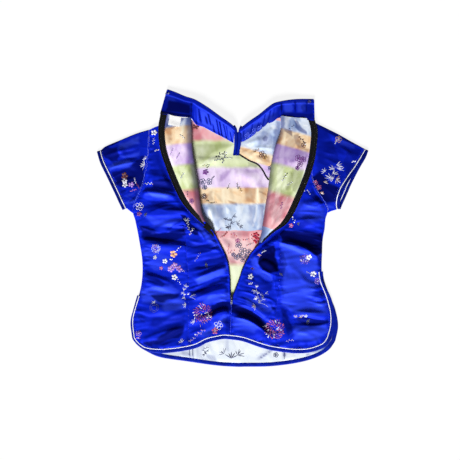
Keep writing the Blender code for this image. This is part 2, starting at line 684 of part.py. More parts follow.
def beside(points, line, gap):
    """Each plan point moved to lie the gap to the left of the nearest spot of a line of plan points."""
    moved = []
    for point in points:
        runs = np.diff(line, axis=0)
        shares = np.clip(((point - line[:-1]) * runs).sum(axis=1) / (runs**2).sum(axis=1), 0, 1)
        spots = line[:-1] + shares[:, None] * runs
        nearest = np.linalg.norm(spots - point, axis=1).argmin()
        along_line = unit(runs[nearest])
        moved.append(spots[nearest] + gap * np.array([-along_line[1], along_line[0]]))
    return np.array(moved)


def collar(name, stations, finish, neck):
    """One half of the stand collar, from its seam to its free edge. neck is the front's neck edge, which the collar
    is sewn to. Gathers stand along the free edge at the front."""
    places = np.linspace(0, len(stations) - 1, COLLAR_SPANS + 1)
    values = between_knots(np.array(stations, float), places)
    up = np.linspace(0, 1, COLLAR_RISE_SPANS + 1)
    seam, top = values[:, 0:2], values[:, 2:4]
    at_front = smoothstep(places, *FRONT_BEGINS)[:, None]
    seam = seam * (1 - at_front) + beside(seam, neck, COLLAR_SEAM_GAP) * at_front
    gathered = smoothstep(places, *GATHERS_BEGIN) * (1 - smoothstep(places, *GATHERS_END))
    plan = seam[:, None] * (1 - up[None, :, None]) + top[:, None] * up[None, :, None]
    wave = COLLAR_RIPPLE * gathered * np.cos(places * 2 * math.pi * GATHERS_PER_STATION)
    height = values[:, 4:5] + values[:, 5:6] * up[None] + wave[:, None] * up[None] ** GATHER_RISE
    height = np.maximum(height, COLLAR_CLOTH / 2)
    cloth(name, with_height(plan, height), COLLAR_CLOTH, finish)
    return plan, height


def boundary_line(left_edge, bottom, right_edge):
    """A line down the left vent, along the hem and up the right vent. Both vents are given downwards."""
    return np.concatenate([left_edge, bottom[1:-1], right_edge[::-1]])


def solid_object(name, mesh_maker, finish):
    """The object of a bmesh that is a closed solid already, in metres in the part's frame."""
    bmesh.ops.recalc_face_normals(mesh_maker, faces=mesh_maker.faces)
    mesh = bpy.data.meshes.new(name)
    mesh_maker.to_mesh(mesh)
    mesh_maker.free()
    mesh.materials.append(finish)
    mesh.shade_smooth()
    mesh.set_sharp_from_angle(angle=math.radians(35))
    made = bpy.data.objects.new(name, mesh)
    bpy.context.scene.collection.objects.link(made)
    return made


def outlined(name, outlines, level, thickness, finish):
    """A flat solid between an outer plan outline and an inner one with as many points, or inside one outline."""
    mesh_maker = bmesh.new()
    loops = []
    for height in (level, level + thickness):
        for outline in outlines:
            loops.append(
                [mesh_maker.verts.new(((x - CENTRE_X) * MM, (y - CENTRE_Y) * MM, height * MM)) for x, y in outline]
            )
    pairs = [(0, 1), (1, 3), (3, 2), (2, 0)] if len(outlines) == 2 else [(0, 1)]
    for a, b in pairs:
        for k in range(len(loops[a])):
            beside = (k + 1) % len(loops[a])
            mesh_maker.faces.new((loops[a][k], loops[a][beside], loops[b][beside], loops[b][k]))
    if len(outlines) == 1:
        mesh_maker.faces.new(loops[0])
        mesh_maker.faces.new(loops[1])
    return solid_object(name, mesh_maker, finish)


def build_backs(satin, lining, tape):
    """Both backs with what lies on their folded edges."""
    left = Back(LEFT_STATIONS, LEFT_HEM, LEFT_SHOULDER, LEFT_FOLDS, LEFT_ROWS)
    right = Back(RIGHT_STATIONS, RIGHT_HEM, RIGHT_SHOULDER, RIGHT_FOLDS, RIGHT_ROWS)
    for name, back in (("left", left), ("right", right)):
        back.wall = back.grid(BACK_SPANS)
        cloth("back_" + name, back.wall, CLOTH, satin)
        roll_end = back.foot_reach + back.arc_reach
        wide = np.flatnonzero(back.after > LINED_WIDTH)
        knots = [back.foot_reach + back.arc_reach / BACK_SPANS[1], roll_end, back.tape_start - 2 * SEAM_GAP]
        cloth("back_lining_" + name, back.strip(wide, knots, FLAP_LINING_SPANS, ON_FLAP), LINING, lining)
        knots = [back.tape_start, back.total - SEAM_GAP]
        cloth("zip_tape_" + name, back.strip(wide, knots, (1,), ON_FLAP), LINING, tape)
    return left, right


def build_back_hem(left, right, piping, binding):
    """The white piping and the blue binding round the hem and vents of the back."""
    left_vent = left.wall[left.side[:, 1] < VENT_TOP_LEFT][:, 0]
    right_vent = right.wall[right.side[:, 1] < VENT_TOP_RIGHT][:, 0]
    bottom = np.concatenate([left.wall[-1], right.wall[-1, ::-1]])
    line = boundary_line(left_vent, bottom, right_vent)
    near = -SEAM_GAP
    far = near - HEM_PIPING_WIDTH
    ribbon("back_hem_piping", line, near, far, BINDING_CLOTH, piping)
    near = far - SEAM_GAP
    ribbon("back_hem_binding", line, near, near - HEM_BINDING_WIDTH, BINDING_CLOTH, binding)


def build_front(satin, lining, binding):
    """The front, its lining, the underlap and their edges. It gives back the front's neck and shoulder edge."""
    shares = np.linspace(0, 1, FRONT_ROWS)
    steps = np.linspace(0, 1, FRONT_SPANS + 1)
    left = along(FRONT_LEFT, shares)
    right = along(FRONT_RIGHT, shares)
    plan = patch(left, right, along(FRONT_TOP, steps), along(FRONT_BOTTOM, steps), shares, steps)
    outline = np.concatenate([plan[:, 0], plan[-1, 1:], plan[-2::-1, -1], plan[0, -2:0:-1]])
    flat_cloth("front_shell", outline, SHELL_LEVEL, CLOTH, satin)
    rise = np.maximum(relief(plan, LINING_FOLDS), 0.0) * in_opening(plan)
    cloth("front_lining", with_height(plan, LINING_LEVEL + rise), LINING, lining)
    left_vent = plan[plan[:, 0, 1] < VENT_TOP_LEFT][:, 0]
    right_vent = plan[plan[:, -1, 1] < VENT_TOP_RIGHT][:, -1]
    line = with_height(boundary_line(left_vent, plan[-1], right_vent), FRONT_BINDING_CLOTH / 2)
    ribbon("front_hem_binding", line, -SEAM_GAP, -SEAM_GAP - HEM_BINDING_WIDTH, FRONT_BINDING_CLOTH, binding)

    run = np.linspace(0, 1, UNDERLAP_ROWS)
    top, low = along(UNDERLAP_TOP, run), along(UNDERLAP_LOW, run)
    across = np.linspace(0, 1, UNDERLAP_SPANS + 1)[None, :, None]
    lap = low[:, None] * (1 - across) + top[:, None] * across
    lap_level = LINING_LEVEL + LINING + SEAM_GAP
    cloth("front_underlap", with_height(lap, lap_level), LINING, lining)
    edge = with_height(low, lap_level + 0.1)
    ribbon("underlap_edge", edge, -SEAM_GAP, -SEAM_GAP - UNDERLAP_EDGE_WIDTH, LINING + 0.2, binding)
    left_side, right_side = along(TAB_LEFT, run), along(TAB_RIGHT, run)
    across = np.linspace(0, 1, TAB_SPANS + 1)[None, :, None]
    tab = left_side[:, None] * (1 - across) + right_side[:, None] * across
    crown = np.sin(np.linspace(0, math.pi, TAB_SPANS + 1))[None]
    tab_level = LINING_LEVEL + (LINING + BINDING_CLOTH) / 2 + SEAM_GAP
    height = np.linspace(TAB_TOP_LEVEL, tab_level, UNDERLAP_ROWS)[:, None] + TAB_CROWN * crown
    cloth("closure_tab", with_height(tab, height), BINDING_CLOTH, binding)
    return plan[0]


def in_opening(plan):
    """1 at plan points of the front that show between the backs, falling to 0 at the backs' edges."""
    shown = np.ones(plan.shape[:-1])
    for stations, sign in ((LEFT_STATIONS, 1), (RIGHT_STATIONS, -1)):
        rows = np.array([(s.roll_y, s.roll_x) for s in stations][::-1], float)
        edge = np.interp(plan[..., 1], rows[:, 0], rows[:, 1])
        shown = shown * smoothstep(sign * (plan[..., 0] - edge), *LINING_FADE)
    lap = np.array(UNDERLAP_LOW, float)
    lap_edge = np.interp(plan[..., 0], lap[:, 0], lap[:, 1])
    return shown * smoothstep(lap_edge - plan[..., 1], *LINING_FADE)


def build_sleeves(left, right, satin, piping, binding):
    """Both sleeves with the piping and the binding of their cuffs."""
    piping_far = CUFF_BINDING_WIDTH + LAYER_GAP
    sleeve_far = piping_far + CUFF_PIPING_WIDTH + LAYER_GAP
    left_armhole = left.side[left.side[:, 1] > UNDERARM_Y]
    right_armhole = right.side[right.side[:, 1] > UNDERARM_Y]
    sleeves = {
        "left": Sleeve(left_armhole, LEFT_SLEEVE_TOP, LEFT_SLEEVE_LOW, LEFT_CUFF, LEFT_CUFF,
                       LEFT_SLEEVE_FOLDS, -1, 0.0),
        "right": Sleeve(right_armhole, RIGHT_SLEEVE_TOP, RIGHT_SLEEVE_LOW, RIGHT_CUFF_UPPER, RIGHT_CUFF_LOWER,
                        RIGHT_SLEEVE_FOLDS, 1, RIGHT_MOUTH),
    }
    for name, sleeve in sleeves.items():
        cloth("sleeve_" + name, sleeve.ring(None, sleeve_far, SLEEVE_SPANS), CLOTH, satin, around=True)
        ring = sleeve.ring(piping_far + CUFF_PIPING_WIDTH, piping_far, 1)
        cloth("cuff_piping_" + name, ring, CLOTH, piping, around=True)
        cloth("cuff_binding_" + name, sleeve.ring(CUFF_BINDING_WIDTH, 0.0, 1), CLOTH, binding, around=True)


def build_collars(neck, satin, binding):
    """Both halves of the stand collar and the corded edge along their tops, and the surface points of each half."""
    surfaces = {}
    for name, stations in (("left", COLLAR_LEFT), ("right", COLLAR_RIGHT)):
        plan, height = collar("collar_" + name, stations, satin, neck)
        surfaces[name] = with_height(plan, height).reshape(-1, 3)
        sign = 1 if name == "left" else -1
        edge = with_height(plan[:, -1], height[:, -1])
        near = sign * LAYER_GAP
        ribbon("collar_edge_" + name, edge, near, near + sign * COLLAR_EDGE_WIDTH, COLLAR_CLOTH, binding)
    return surfaces


def build_slider(metal):
    """The slider: a body on both zip edges, with a bridge over the pull's pivot."""
    def corner(x, y, z):
        return ((SLIDER_X - CENTRE_X + x) * MM, (SLIDER_Y - CENTRE_Y + y) * MM, z * MM)

    top = SLIDER_BASE + SLIDER_HEIGHT
    roof = top + BRIDGE_ROOM
    half = BRIDGE_WIDTH / 2
    foot = top - BRIDGE_SINK
    inside = BRIDGE_REACH - BRIDGE_THICKNESS
    half_profile = [(BRIDGE_REACH, foot), (BRIDGE_REACH, roof), (inside, roof + BRIDGE_THICKNESS)]
    half_arch = [(inside, roof), (inside, foot)]
    profile = [(-y, z) for y, z in half_profile] + half_profile[::-1]
    profile += half_arch[::-1] + [(-y, z) for y, z in half_arch]
    mesh_maker = bmesh.new()
    sides = [[mesh_maker.verts.new(corner(x, y, z)) for y, z in profile] for x in (-half, half)]
    for k in range(len(profile)):
        beside = (k + 1) % len(profile)
        mesh_maker.faces.new((sides[0][k], sides[0][beside], sides[1][beside], sides[1][k]))
    mesh_maker.faces.new(sides[0])
    mesh_maker.faces.new(sides[1])
    bridge = solid_object("slider_bridge_shape", mesh_maker, metal)
    bridge.hide_render = True
    bridge.display_type = "WIRE"

    reach, waist = SLIDER_LENGTH / 2, SLIDER_WIDTH / 2
    side = [(waist / 2, reach * NOSE_SHARE), (waist, reach), (waist, -reach * TAPER_START), (waist * TAIL_SHARE, -reach)]
    outline = [(0, reach), *side, *((-x, y) for x, y in side[::-1])]
    places = [(SLIDER_X + x, SLIDER_Y + y) for x, y in outline]
    slider = outlined("zip_slider", [places], SLIDER_BASE, SLIDER_HEIGHT, metal)
    joined = slider.modifiers.new("Bridge", "BOOLEAN")
    joined.operation = "UNION"
    joined.object = bridge


def build_pull(metal):
    """The pull: an eye round the slider's bridge and a tab that droops to the cloth. Its origin is on its pivot."""
    half_bar = PULL_THICKNESS / 2
    window = [PullStation(reach, PULL_HALF_WIDTH, 0.0) for reach in (-half_bar, half_bar, PULL_WINDOW_LENGTH)]
    rows = [*window, *PULL]
    mesh_maker = bmesh.new()
    grid = []
    for row in rows:
        inner = min(PULL_WINDOW_HALF_WIDTH, row.half_width / 2)
        grid.append(
            [
                mesh_maker.verts.new((x * MM, -row.reach * MM, -row.drop * MM))
                for x in (-row.half_width, -inner, inner, row.half_width)
            ]
        )
    for k in range(len(rows) - 1):
        for column in range(3):
            in_eye = k == 1 and column == 1
            if not in_eye:
                mesh_maker.faces.new(
                    (grid[k][column], grid[k + 1][column], grid[k + 1][column + 1], grid[k][column + 1])
                )
    pull = wall_object("zip_pull", mesh_maker, PULL_THICKNESS, metal)
    pull.location = ((SLIDER_X - CENTRE_X) * MM, (SLIDER_Y - CENTRE_Y) * MM, PIVOT_HEIGHT * MM)


def build_label(left, label):
    """The plain neck label, on the folded-back lining under the collar."""
    knots = [left.total - LABEL_FAR, left.total - LABEL_NEAR]
    rise = ON_FLAP + LINING + LAYER_GAP
    cloth("neck_label", left.strip(np.arange(LABEL_ROWS), knots, (LABEL_SPANS,), rise), LINING, label)


def resting_level(points, x, y):
    """The height just above the collar's highest point near a plan point."""
    near = np.hypot(points[:, 0] - x, points[:, 1] - y) < FASTENER_REACH
    return points[near, 2].max() + COLLAR_CLOTH / 2 + SEAM_GAP


def build_hook_and_eye(surfaces, metal):
    """The hook on the left end of the collar and the eye on the right one."""
    hook_level = resting_level(surfaces["left"], HOOK_X, HOOK_Y)
    outlined("collar_hook", [[(HOOK_X + x, HOOK_Y + y) for x, y in HOOK]], hook_level, WIRE, metal)
    turns = [2 * math.pi * k / EYE_SIDES for k in range(EYE_SIDES)]
    rings = [
        [(EYE_X + radius * EYE_STRETCH * math.cos(turn), EYE_Y + radius * math.sin(turn)) for turn in turns]
        for radius in (EYE_RADIUS, EYE_RADIUS - WIRE)
    ]
    eye_level = resting_level(surfaces["right"], EYE_X, EYE_Y)
    outlined("collar_eye", rings, eye_level, WIRE, metal)


def main():
    """Build every piece."""
    clear_scene()
    satin = finish_of("blue_satin", (0.012, 0.035, 0.42), 0.32)
    lining = finish_of("striped_lining", (0.72, 0.6, 0.74), 0.45)
    binding = finish_of("binding_satin", (0.01, 0.025, 0.25), 0.35)
    piping = finish_of("white_piping", (0.85, 0.86, 0.92), 0.5)
    tape = finish_of("zip_tape", (0.01, 0.01, 0.012), 0.8)
    metal = finish_of("dark_metal", (0.12, 0.12, 0.15), 0.35, 1.0)
    label = finish_of("label_cloth", (0.9, 0.9, 0.88), 0.7)
    left, right = build_backs(satin, lining, tape)
    build_back_hem(left, right, piping, binding)
    neck = build_front(satin, lining, binding)
    build_sleeves(left, right, satin, piping, binding)
    surfaces = build_collars(neck, satin, binding)
    build_slider(metal)
    build_pull(metal)
    build_label(left, label)
    build_hook_and_eye(surfaces, metal)


main()
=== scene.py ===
"""Looks of an ao dai top, laid flat with its front down, the back zip open and both back edges folded out.

Lengths in the tables are millimetres as the garment lies: X to the right, Y towards the collar, Z up from the
surface. They become metres where a mesh is made.
"""

import logging
import math
from dataclasses import dataclass, field
from enum import Enum
from typing import NamedTuple, Sequence

import bmesh
import bpy
import numpy as np
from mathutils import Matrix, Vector
from mathutils.bvhtree import BVHTree


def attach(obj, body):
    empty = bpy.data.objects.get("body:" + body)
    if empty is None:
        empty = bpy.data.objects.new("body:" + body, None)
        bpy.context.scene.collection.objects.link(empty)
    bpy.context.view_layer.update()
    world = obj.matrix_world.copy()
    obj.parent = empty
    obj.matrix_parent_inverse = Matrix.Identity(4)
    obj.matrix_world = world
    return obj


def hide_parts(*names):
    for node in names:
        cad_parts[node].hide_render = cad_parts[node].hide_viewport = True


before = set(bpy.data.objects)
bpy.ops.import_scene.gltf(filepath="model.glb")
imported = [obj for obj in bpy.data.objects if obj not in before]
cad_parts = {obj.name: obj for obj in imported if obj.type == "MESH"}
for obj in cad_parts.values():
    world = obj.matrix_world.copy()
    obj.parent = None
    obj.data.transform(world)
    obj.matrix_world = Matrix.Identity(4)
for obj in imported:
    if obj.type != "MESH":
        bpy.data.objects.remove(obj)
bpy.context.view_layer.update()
LOG = logging.getLogger("ao_dai_top")
GARMENT = "garment"
PULL_BODY = "pull"

MM = 0.001

# How much bolder the lining's small prints are drawn than the satin's
LINING_PRINT_WIDTH = 1.5

# Driving sizes, the same as the construction's
CLOTH = 1.2
LINING = 1.0
COLLAR_CLOTH = 2.0
BINDING_CLOTH = 1.6
SEAM_GAP = 0.3
LAYER_GAP = 0.45
TAPE_WIDTH = 15.5
TAPE_TIP = 4.0
TAPE_MARGIN = 3.0
HEM_PIPING_WIDTH = 3.2
HEM_BINDING_WIDTH = 8.0
CUFF_PIPING_WIDTH = 3.0
CUFF_BINDING_WIDTH = 6.0
FRONT_BINDING_CLOTH = 2.2
UNDERLAP_EDGE_WIDTH = 3.5
COLLAR_EDGE_WIDTH = 3.0
COLLAR_SEAM_GAP = 0.85
VENT_TOP_LEFT = -154.0
VENT_TOP_RIGHT = -98.0
UNDERARM_Y = 36.0
BODY_PUFF = 2.2
FREE_EDGE_COLUMNS = (12.0, 6.0, 3.0)
FOLDED_WIDTHS = (4.0, 14.0)
SIDE_FADE = (1.0, 14.0)
FOOT_FADE = (2.0, 14.0)
SIDE_SEAM_FADE = (0.5, 6.0)
SIDE_SEAM_DROP = 1.5
FLAP_FADE = (2.0, 16.0)
FOLDED_TURNS = (10.0, 90.0)
RESTING_TURNS = (90.0, 165.0)
LEAST_TURN = 2.0
REST_SLOPE = 0.25
CENTRE_X = -3.46
CENTRE_Y = 2.43

# Heights of the middle of each wall
SHELL_LEVEL = CLOTH / 2
LINING_LEVEL = CLOTH + SEAM_GAP + LINING / 2
BACK_LEVEL = CLOTH + LINING + 2 * SEAM_GAP + CLOTH / 2
FLAP_EDGE_LEVEL = BACK_LEVEL + CLOTH + 2 * SEAM_GAP
ON_FLAP = CLOTH / 2 + LAYER_GAP + LINING / 2

# A crease narrower than this has a crisp crest
CRISP_WIDTH = 5.0
CRISP_POWER = 1.5
SOFT_POWER = 2.0
FOLD_STEPS = 9
FOLD_ENDS = (0.04, 0.96)

# How fast the bow of a cloth's top and bottom edge dies out inside it
TOP_BOW_POWER = 4
BOTTOM_BOW_POWER = 3

# Unevenness of the outline of an area of painted shade or highlight, and how far outside it the cloth is
# looked at
OUTLINE_WANDER = (1.6, 1.2)
OUTLINE_RUNS = (11, 7, 5)
TONE_REACH = 12

# How many random values the uneven lines and fields hold before they repeat
LINE_KNOTS = 2048
FIELD_KNOTS = 64

# Faces that meet at more than this, in degrees, keep a hard edge
CLOTH_SHARP = 55.0
STRIP_SHARP = 70.0
METAL_SHARP = 35.0

# Shape of a rolled strip's section, its least height, and the run of its lumps
ROLL_POWER = 0.8
ROLL_FLOOR = 0.02
LUMP_RUN = 3.1


class Station(NamedTuple):
    """One level of a back: its side seam or armhole, roll line and zip edge, and its turn and radius."""

    side_x: float
    side_y: float
    roll_x: float
    roll_y: float
    edge_x: float
    edge_y: float
    turn: float
    radius: float


class CollarStation(NamedTuple):
    """One place along a collar half: its seam and top edge, the seam's height and the rise to the top."""

    seam_x: float
    seam_y: float
    top_x: float
    top_y: float
    level: float
    lift: float


class Fold(NamedTuple):
    """A ridge (height above 0) or trough (below 0) along a line that bows by bend to its left."""

    x1: float
    y1: float
    x2: float
    y2: float
    bend: float
    width: float
    height: float
    lean: float = 0.0


class Motif(NamedTuple):
    """One figure of the brocade: its kind, middle, radius, turn in degrees, and its three yarns' names."""

    kind: str
    x: float
    y: float
    size: float
    turn: float
    yarns: str


class PaintedLight(NamedTuple):
    """An area of painted shade (strength above 0) or painted highlight (below 0) on the cloth, with a soft
    outline.
    """

    soft: float
    strength: float
    outline: tuple[tuple[float, float], ...]


# Backs, from the shoulder down to the hem
LEFT_STATIONS = [
    Station(-196, 227, -101, 256, -169, 268, 180, 3.0),
    Station(-196, 197, -99, 224, -175, 229, 180, 4.2),
    Station(-198, 167, -98, 185, -171, 183, 180, 4.6),
    Station(-202, 135, -91, 141, -157, 139, 180, 4.6),
    Station(-212, 95, -84, 98, -138, 93, 180, 4.6),
    Station(-224, 67, -80, 66, -122, 62, 180, 4.4),
    Station(-233, 41, -76, 38, -102, 38, 178, 4.0),
    Station(-228, 20, -67, 17, -80, 17, 168, 3.4),
    Station(-223, -3, -53, -2, -57, -2, 105, 3.0),
    Station(-217, -36, -33, -36, -33, -36, 0, 3.0),
    Station(-212, -68, -17, -70, -17, -70, 0, 3.0),
    Station(-211, -102, -11, -107, -11, -107, 0, 3.0),
    Station(-215, -137, -9.6, -141, -9.6, -141, 0, 3.0),
    Station(-225, -174, -6.8, -174, -6.8, -174, 0, 3.0),
    Station(-232, -210, -8.4, -210, -8.4, -210, 0, 3.0),
    Station(-228, -251, -9.9, -244, -9.9, -244, 0, 3.0),
]
RIGHT_STATIONS = [
    Station(184, 244, 108, 259, 185, 252, 180, 3.0),
    Station(182, 215, 109, 227, 192, 224, 180, 4.2),
    Station(180, 183, 96, 187, 190, 187, 180, 4.6),
    Station(178, 148, 88, 151, 184, 151, 180, 4.6),
    Station(178, 121, 83, 118, 173, 116, 180, 4.6),
    Station(186, 93, 80, 89, 161, 86, 180, 4.6),
    Station(201, 70, 75, 61, 149, 59, 180, 4.6),
    Station(215, 44, 71, 33, 136, 32, 180, 4.6),
    Station(210, 22, 67, 8, 119, 9, 180, 4.4),
    Station(208, -1, 64, -14, 94, -6, 178, 4.0),
    Station(205, -16, 60, -28, 75, -21, 166, 3.5),
    Station(203, -32, 52, -43, 55, -41, 100, 3.0),
    Station(202, -59, 35, -64, 35, -64, 0, 3.0),
    Station(201, -91, 21, -91, 21, -91, 0, 3.0),
    Station(203, -121, 12, -118, 12, -118, 0, 3.0),
    Station(209, -146, 2.4, -143, 2.4, -143, 0, 3.0),
    Station(214, -168, -5.6, -165, -5.6, -165, 0, 3.0),
    Station(220, -195, -6.8, -190, -6.8, -190, 0, 3.0),
    Station(220, -223, -7.9, -217, -7.9, -217, 0, 3.0),
    Station(212, -252, -9.0, -244, -9.0, -244, 0, 3.0),
]
LEFT_SHOULDER = [(-196, 227), (-175, 236), (-136, 247), (-101, 256)]
RIGHT_SHOULDER = [(184, 244), (142, 255), (108, 259)]
LEFT_HEM = [
    (-228, -251), (-218, -263), (-201, -273), (-171, -276), (-143, -274), (-115, -270), (-90, -264),
    (-66, -252), (-42, -246), (-25, -243), (-9.9, -244),
]
RIGHT_HEM = [
    (212, -252), (201, -264), (173, -274), (144, -276), (112, -273), (82, -268), (55, -260), (27, -250),
    (8, -246), (-9.0, -244),
]


# Front: its four edges in plan
FRONT_LEFT = [
    (-196, 227), (-196, 197), (-198, 167), (-202, 135), (-212, 95), (-224, 67), (-233, 41), (-228, 20),
    (-223, -3), (-217, -36), (-212, -68), (-211, -102), (-215, -137), (-224, -174), (-229, -210),
    (-224, -252),
]
FRONT_RIGHT = [
    (184, 244), (182, 215), (180, 183), (178, 148), (178, 121), (186, 93), (201, 70), (215, 44), (210, 22),
    (208, -1), (203, -29), (202, -59), (200, -91), (202, -121), (212, -158), (224, -190), (230, -224),
    (224, -256),
]
FRONT_BOTTOM = [
    (-224, -252), (-212, -266), (-194, -277), (-166, -288), (-106, -297), (-42, -306), (2, -309), (25, -309),
    (82, -308), (139, -301), (181, -290), (210, -274), (224, -256),
]
FRONT_TOP = [
    (-196, 227), (-175, 236), (-136, 246), (-103, 252), (-90, 242.5), (-79, 237.5), (-56, 225), (-33, 213),
    (-10, 201), (4, 193), (16, 194), (36, 205), (59, 222), (82, 244), (96, 253), (108, 258), (142, 255),
    (184, 244),
]


# Collar halves, from the zip's end to the notch
COLLAR_LEFT = [
    CollarStation(-169, 269.2, -155, 319, 6.4, -3.0),
    CollarStation(-143, 264.8, -136, 312, 7.8, -3.0),
    CollarStation(-120, 260.9, -113, 302, 9.6, -2.0),
    CollarStation(-98.5, 257.8, -94, 296, 9.2, -1.0),
    CollarStation(-87, 244.5, -79, 288, 3.0, 6.0),
    CollarStation(-56.6, 226, -56, 273, 1.4, 8.0),
    CollarStation(-33.5, 214, -33, 256, 1.4, 9.0),
    CollarStation(-12.5, 203, -10, 240, 1.4, 9.0),
    CollarStation(-1.7, 196.5, 1, 230, 1.4, 8.0),
]
COLLAR_RIGHT = [
    CollarStation(185, 252.6, 184, 296, 6.4, -3.0),
    CollarStation(151, 255.7, 151, 296, 7.8, -3.0),
    CollarStation(128, 257.8, 128, 294, 9.6, -2.0),
    CollarStation(107, 260.2, 105, 290, 9.2, -1.0),
    CollarStation(91.8, 251.5, 88, 284, 3.0, 6.0),
    CollarStation(60.2, 223.8, 59, 261, 1.4, 8.0),
    CollarStation(38.9, 207.7, 36, 245, 1.4, 9.0),
    CollarStation(24.4, 198.7, 22, 234, 1.4, 9.0),
    CollarStation(17, 195.1, 13, 226, 1.4, 8.0),
]


# Sleeves: the line over the shoulder and the cuff's edge
LEFT_SLEEVE_TOP = [(-197, 227), (-226, 218), (-260, 204), (-295, 189), (-316, 177)]
LEFT_CUFF = [(-316, 177), (-308, 151), (-297, 128), (-286, 105), (-275, 82), (-265, 60), (-257, 43)]
RIGHT_SLEEVE_TOP = [(184, 244), (209, 232), (239, 217), (271, 199), (309, 179)]
RIGHT_CUFF_UPPER = [
    (309, 179), (299, 162), (286, 141), (273, 123), (262, 107), (253, 93), (247, 79), (244, 68), (243, 56),
    (245, 45),
]
RIGHT_CUFF_LOWER = [
    (309, 179), (303, 163), (289, 139), (277, 116), (269, 100), (262, 84), (256, 70), (250, 57), (245, 45),
]

# Front underlap, its two long edges, and the tab in the collar's notch
UNDERLAP_TOP = [(13, 196), (36, 211), (59, 228), (82, 246), (98, 253), (113, 256)]
UNDERLAP_LOW = [(13, 172), (36, 158), (54, 150), (66, 137), (75, 121), (81, 113)]
TAB_LEFT = [(3.5, 222), (2, 204), (-3, 168)]
TAB_RIGHT = [(12.5, 222), (14, 201), (11.5, 168)]

# Where the collar's cords run on, down both sides of the tab, and how high above the surface
LEFT_CORD_TAIL = [
    (-2, 236, 7.7), (2.4, 228, 7.6), (3.7, 219, 7.4), (3.4, 206, 7.1), (2.9, 188, 6.8), (0.4, 170, 6.2),
]
RIGHT_CORD_TAIL = [
    (18, 235, 8), (14.4, 227, 7.8), (13, 218, 7.6), (13, 205, 7.2), (10.8, 186, 6.8), (7.2, 168, 6.4),
]
CORD_TAIL_WIDTH = 8.2

# Largest folds of the backs, the sleeves and the lining
LEFT_FOLDS = [
    Fold(-200, 112, -138, 110, 3, 9, 3.2, 0.2),
    Fold(-208, 96, -140, 94, -2, 8, -2.4, 0.0),
    Fold(-212, 82, -142, 74, 4, 9, 4.2, 0.3),
    Fold(-222, 60, -126, 57, 3, 9, -2.4, 0.0),
    Fold(-214, 36, -112, 40, -5, 10, 3.6, 0.2),
    Fold(-192, 8, -108, 24, -9, 10, -3.0, 0.0),
    Fold(-186, -6, -100, 14, 8, 9, 4.4, -0.2),
    Fold(-210, -17, -108, -26, 2, 13, -3.4, 0.0),
    Fold(-218, -30, -112, -42, -2, 9, 4.2, -0.3),
    Fold(-208, -92, -150, -108, 4, 11, -3.2, 0.0),
    Fold(-206, -116, -116, -146, -6, 11, 4.0, 0.2),
    Fold(-84, -82, -20, -73, -4, 11, -3.2, 0.0),
    Fold(-92, -112, -16, -83, -5, 9, 4.2, -0.2),
    Fold(-84, -138, -14, -114, 5, 11, -3.4, 0.0),
    Fold(-200, -150, -100, -158, 10, 12, -3.2, 0.0),
    Fold(-98, -156, -14, -134, -6, 10, 3.6, 0.2),
    Fold(-214, -196, -120, -196, 8, 13, 3.0, 0.0),
    Fold(-210, -264, -92, -224, -8, 12, -3.0, 0.0),
    Fold(-202, -257, -104, -214, -8, 10, 4.0, -0.2),
    Fold(-60, -198, -6, -172, 4, 10, -3.2, 0.0),
    Fold(-62, -214, -6, -194, 8, 11, 4.6, 0.0),
]
RIGHT_FOLDS = [
    Fold(156, 56, 206, 58, 2, 10, 3.4, 0.0),
    Fold(150, 20, 204, 16, -3, 10, 3.6, 0.0),
    Fold(118, -8, 200, -30, -8, 15, -3.6, 0.0),
    Fold(102, -34, 202, -74, 8, 10, 4.8, 0.3),
    Fold(55, -58, 118, 0, -6, 9, 4.2, 0.0),
    Fold(66, -58, 96, -92, 0, 14, -3.6, 0.0),
    Fold(56, -72, 94, -122, 16, 8, 4.6, 0.0),
    Fold(120, -64, 124, -150, 8, 14, 2.6, 0.0),
    Fold(60, -104, 92, -128, 0, 9, -2.6, 0.0),
    Fold(6, -174, 74, -206, 8, 9, 4.6, 0.2),
    Fold(0, -178, 86, -236, 9, 11, -3.4, 0.0),
    Fold(4, -204, 70, -246, 12, 12, 4.6, -0.2),
    Fold(100, -182, 130, -224, 4, 9, -2.8, 0.0),
    Fold(138, -198, 214, -206, 5, 10, 3.4, 0.0),
    Fold(144, -216, 214, -214, -4, 10, -3.0, 0.0),
    Fold(120, -240, 204, -236, 6, 13, 3.2, 0.0),
    Fold(150, -130, 206, -168, 6, 13, 2.8, 0.0),
]
LINING_FOLDS = [
    Fold(-60, 214, -84, 140, -6, 12, 2.6, 0.0),
    Fold(-20, 188, -62, 150, 4, 12, 2.2, 0.0),
    Fold(0, 126, 54, 104, 6, 12, 2.4, 0.0),
    Fold(56, 98, 62, 10, 4, 9, 2.8, 0.0),
    Fold(-62, 58, -40, 0, 5, 9, 2.8, 0.0),
    Fold(-36, 60, -24, 8, -4, 8, 2.2, 0.0),
]
LEFT_SLEEVE_FOLDS = [
    Fold(-300, 168, -214, 190, 5, 11, 3.0, 0.2),
    Fold(-292, 140, -206, 150, 5, 12, 3.2, 0.0),
    Fold(-284, 116, -214, 128, -3, 10, -1.4, 0.0),
    Fold(-270, 84, -224, 112, -4, 9, 3.0, 0.2),
    Fold(-262, 62, -232, 76, -2, 7, 2.6, 0.0),
]
RIGHT_SLEEVE_FOLDS = [
    Fold(206, 220, 290, 182, 5, 11, 3.0, 0.2),
    Fold(204, 178, 286, 160, 6, 12, 3.0, 0.0),
    Fold(200, 150, 262, 120, -3, 10, -1.4, 0.0),
    Fold(194, 110, 232, 62, -6, 8, 3.0, 0.2),
]

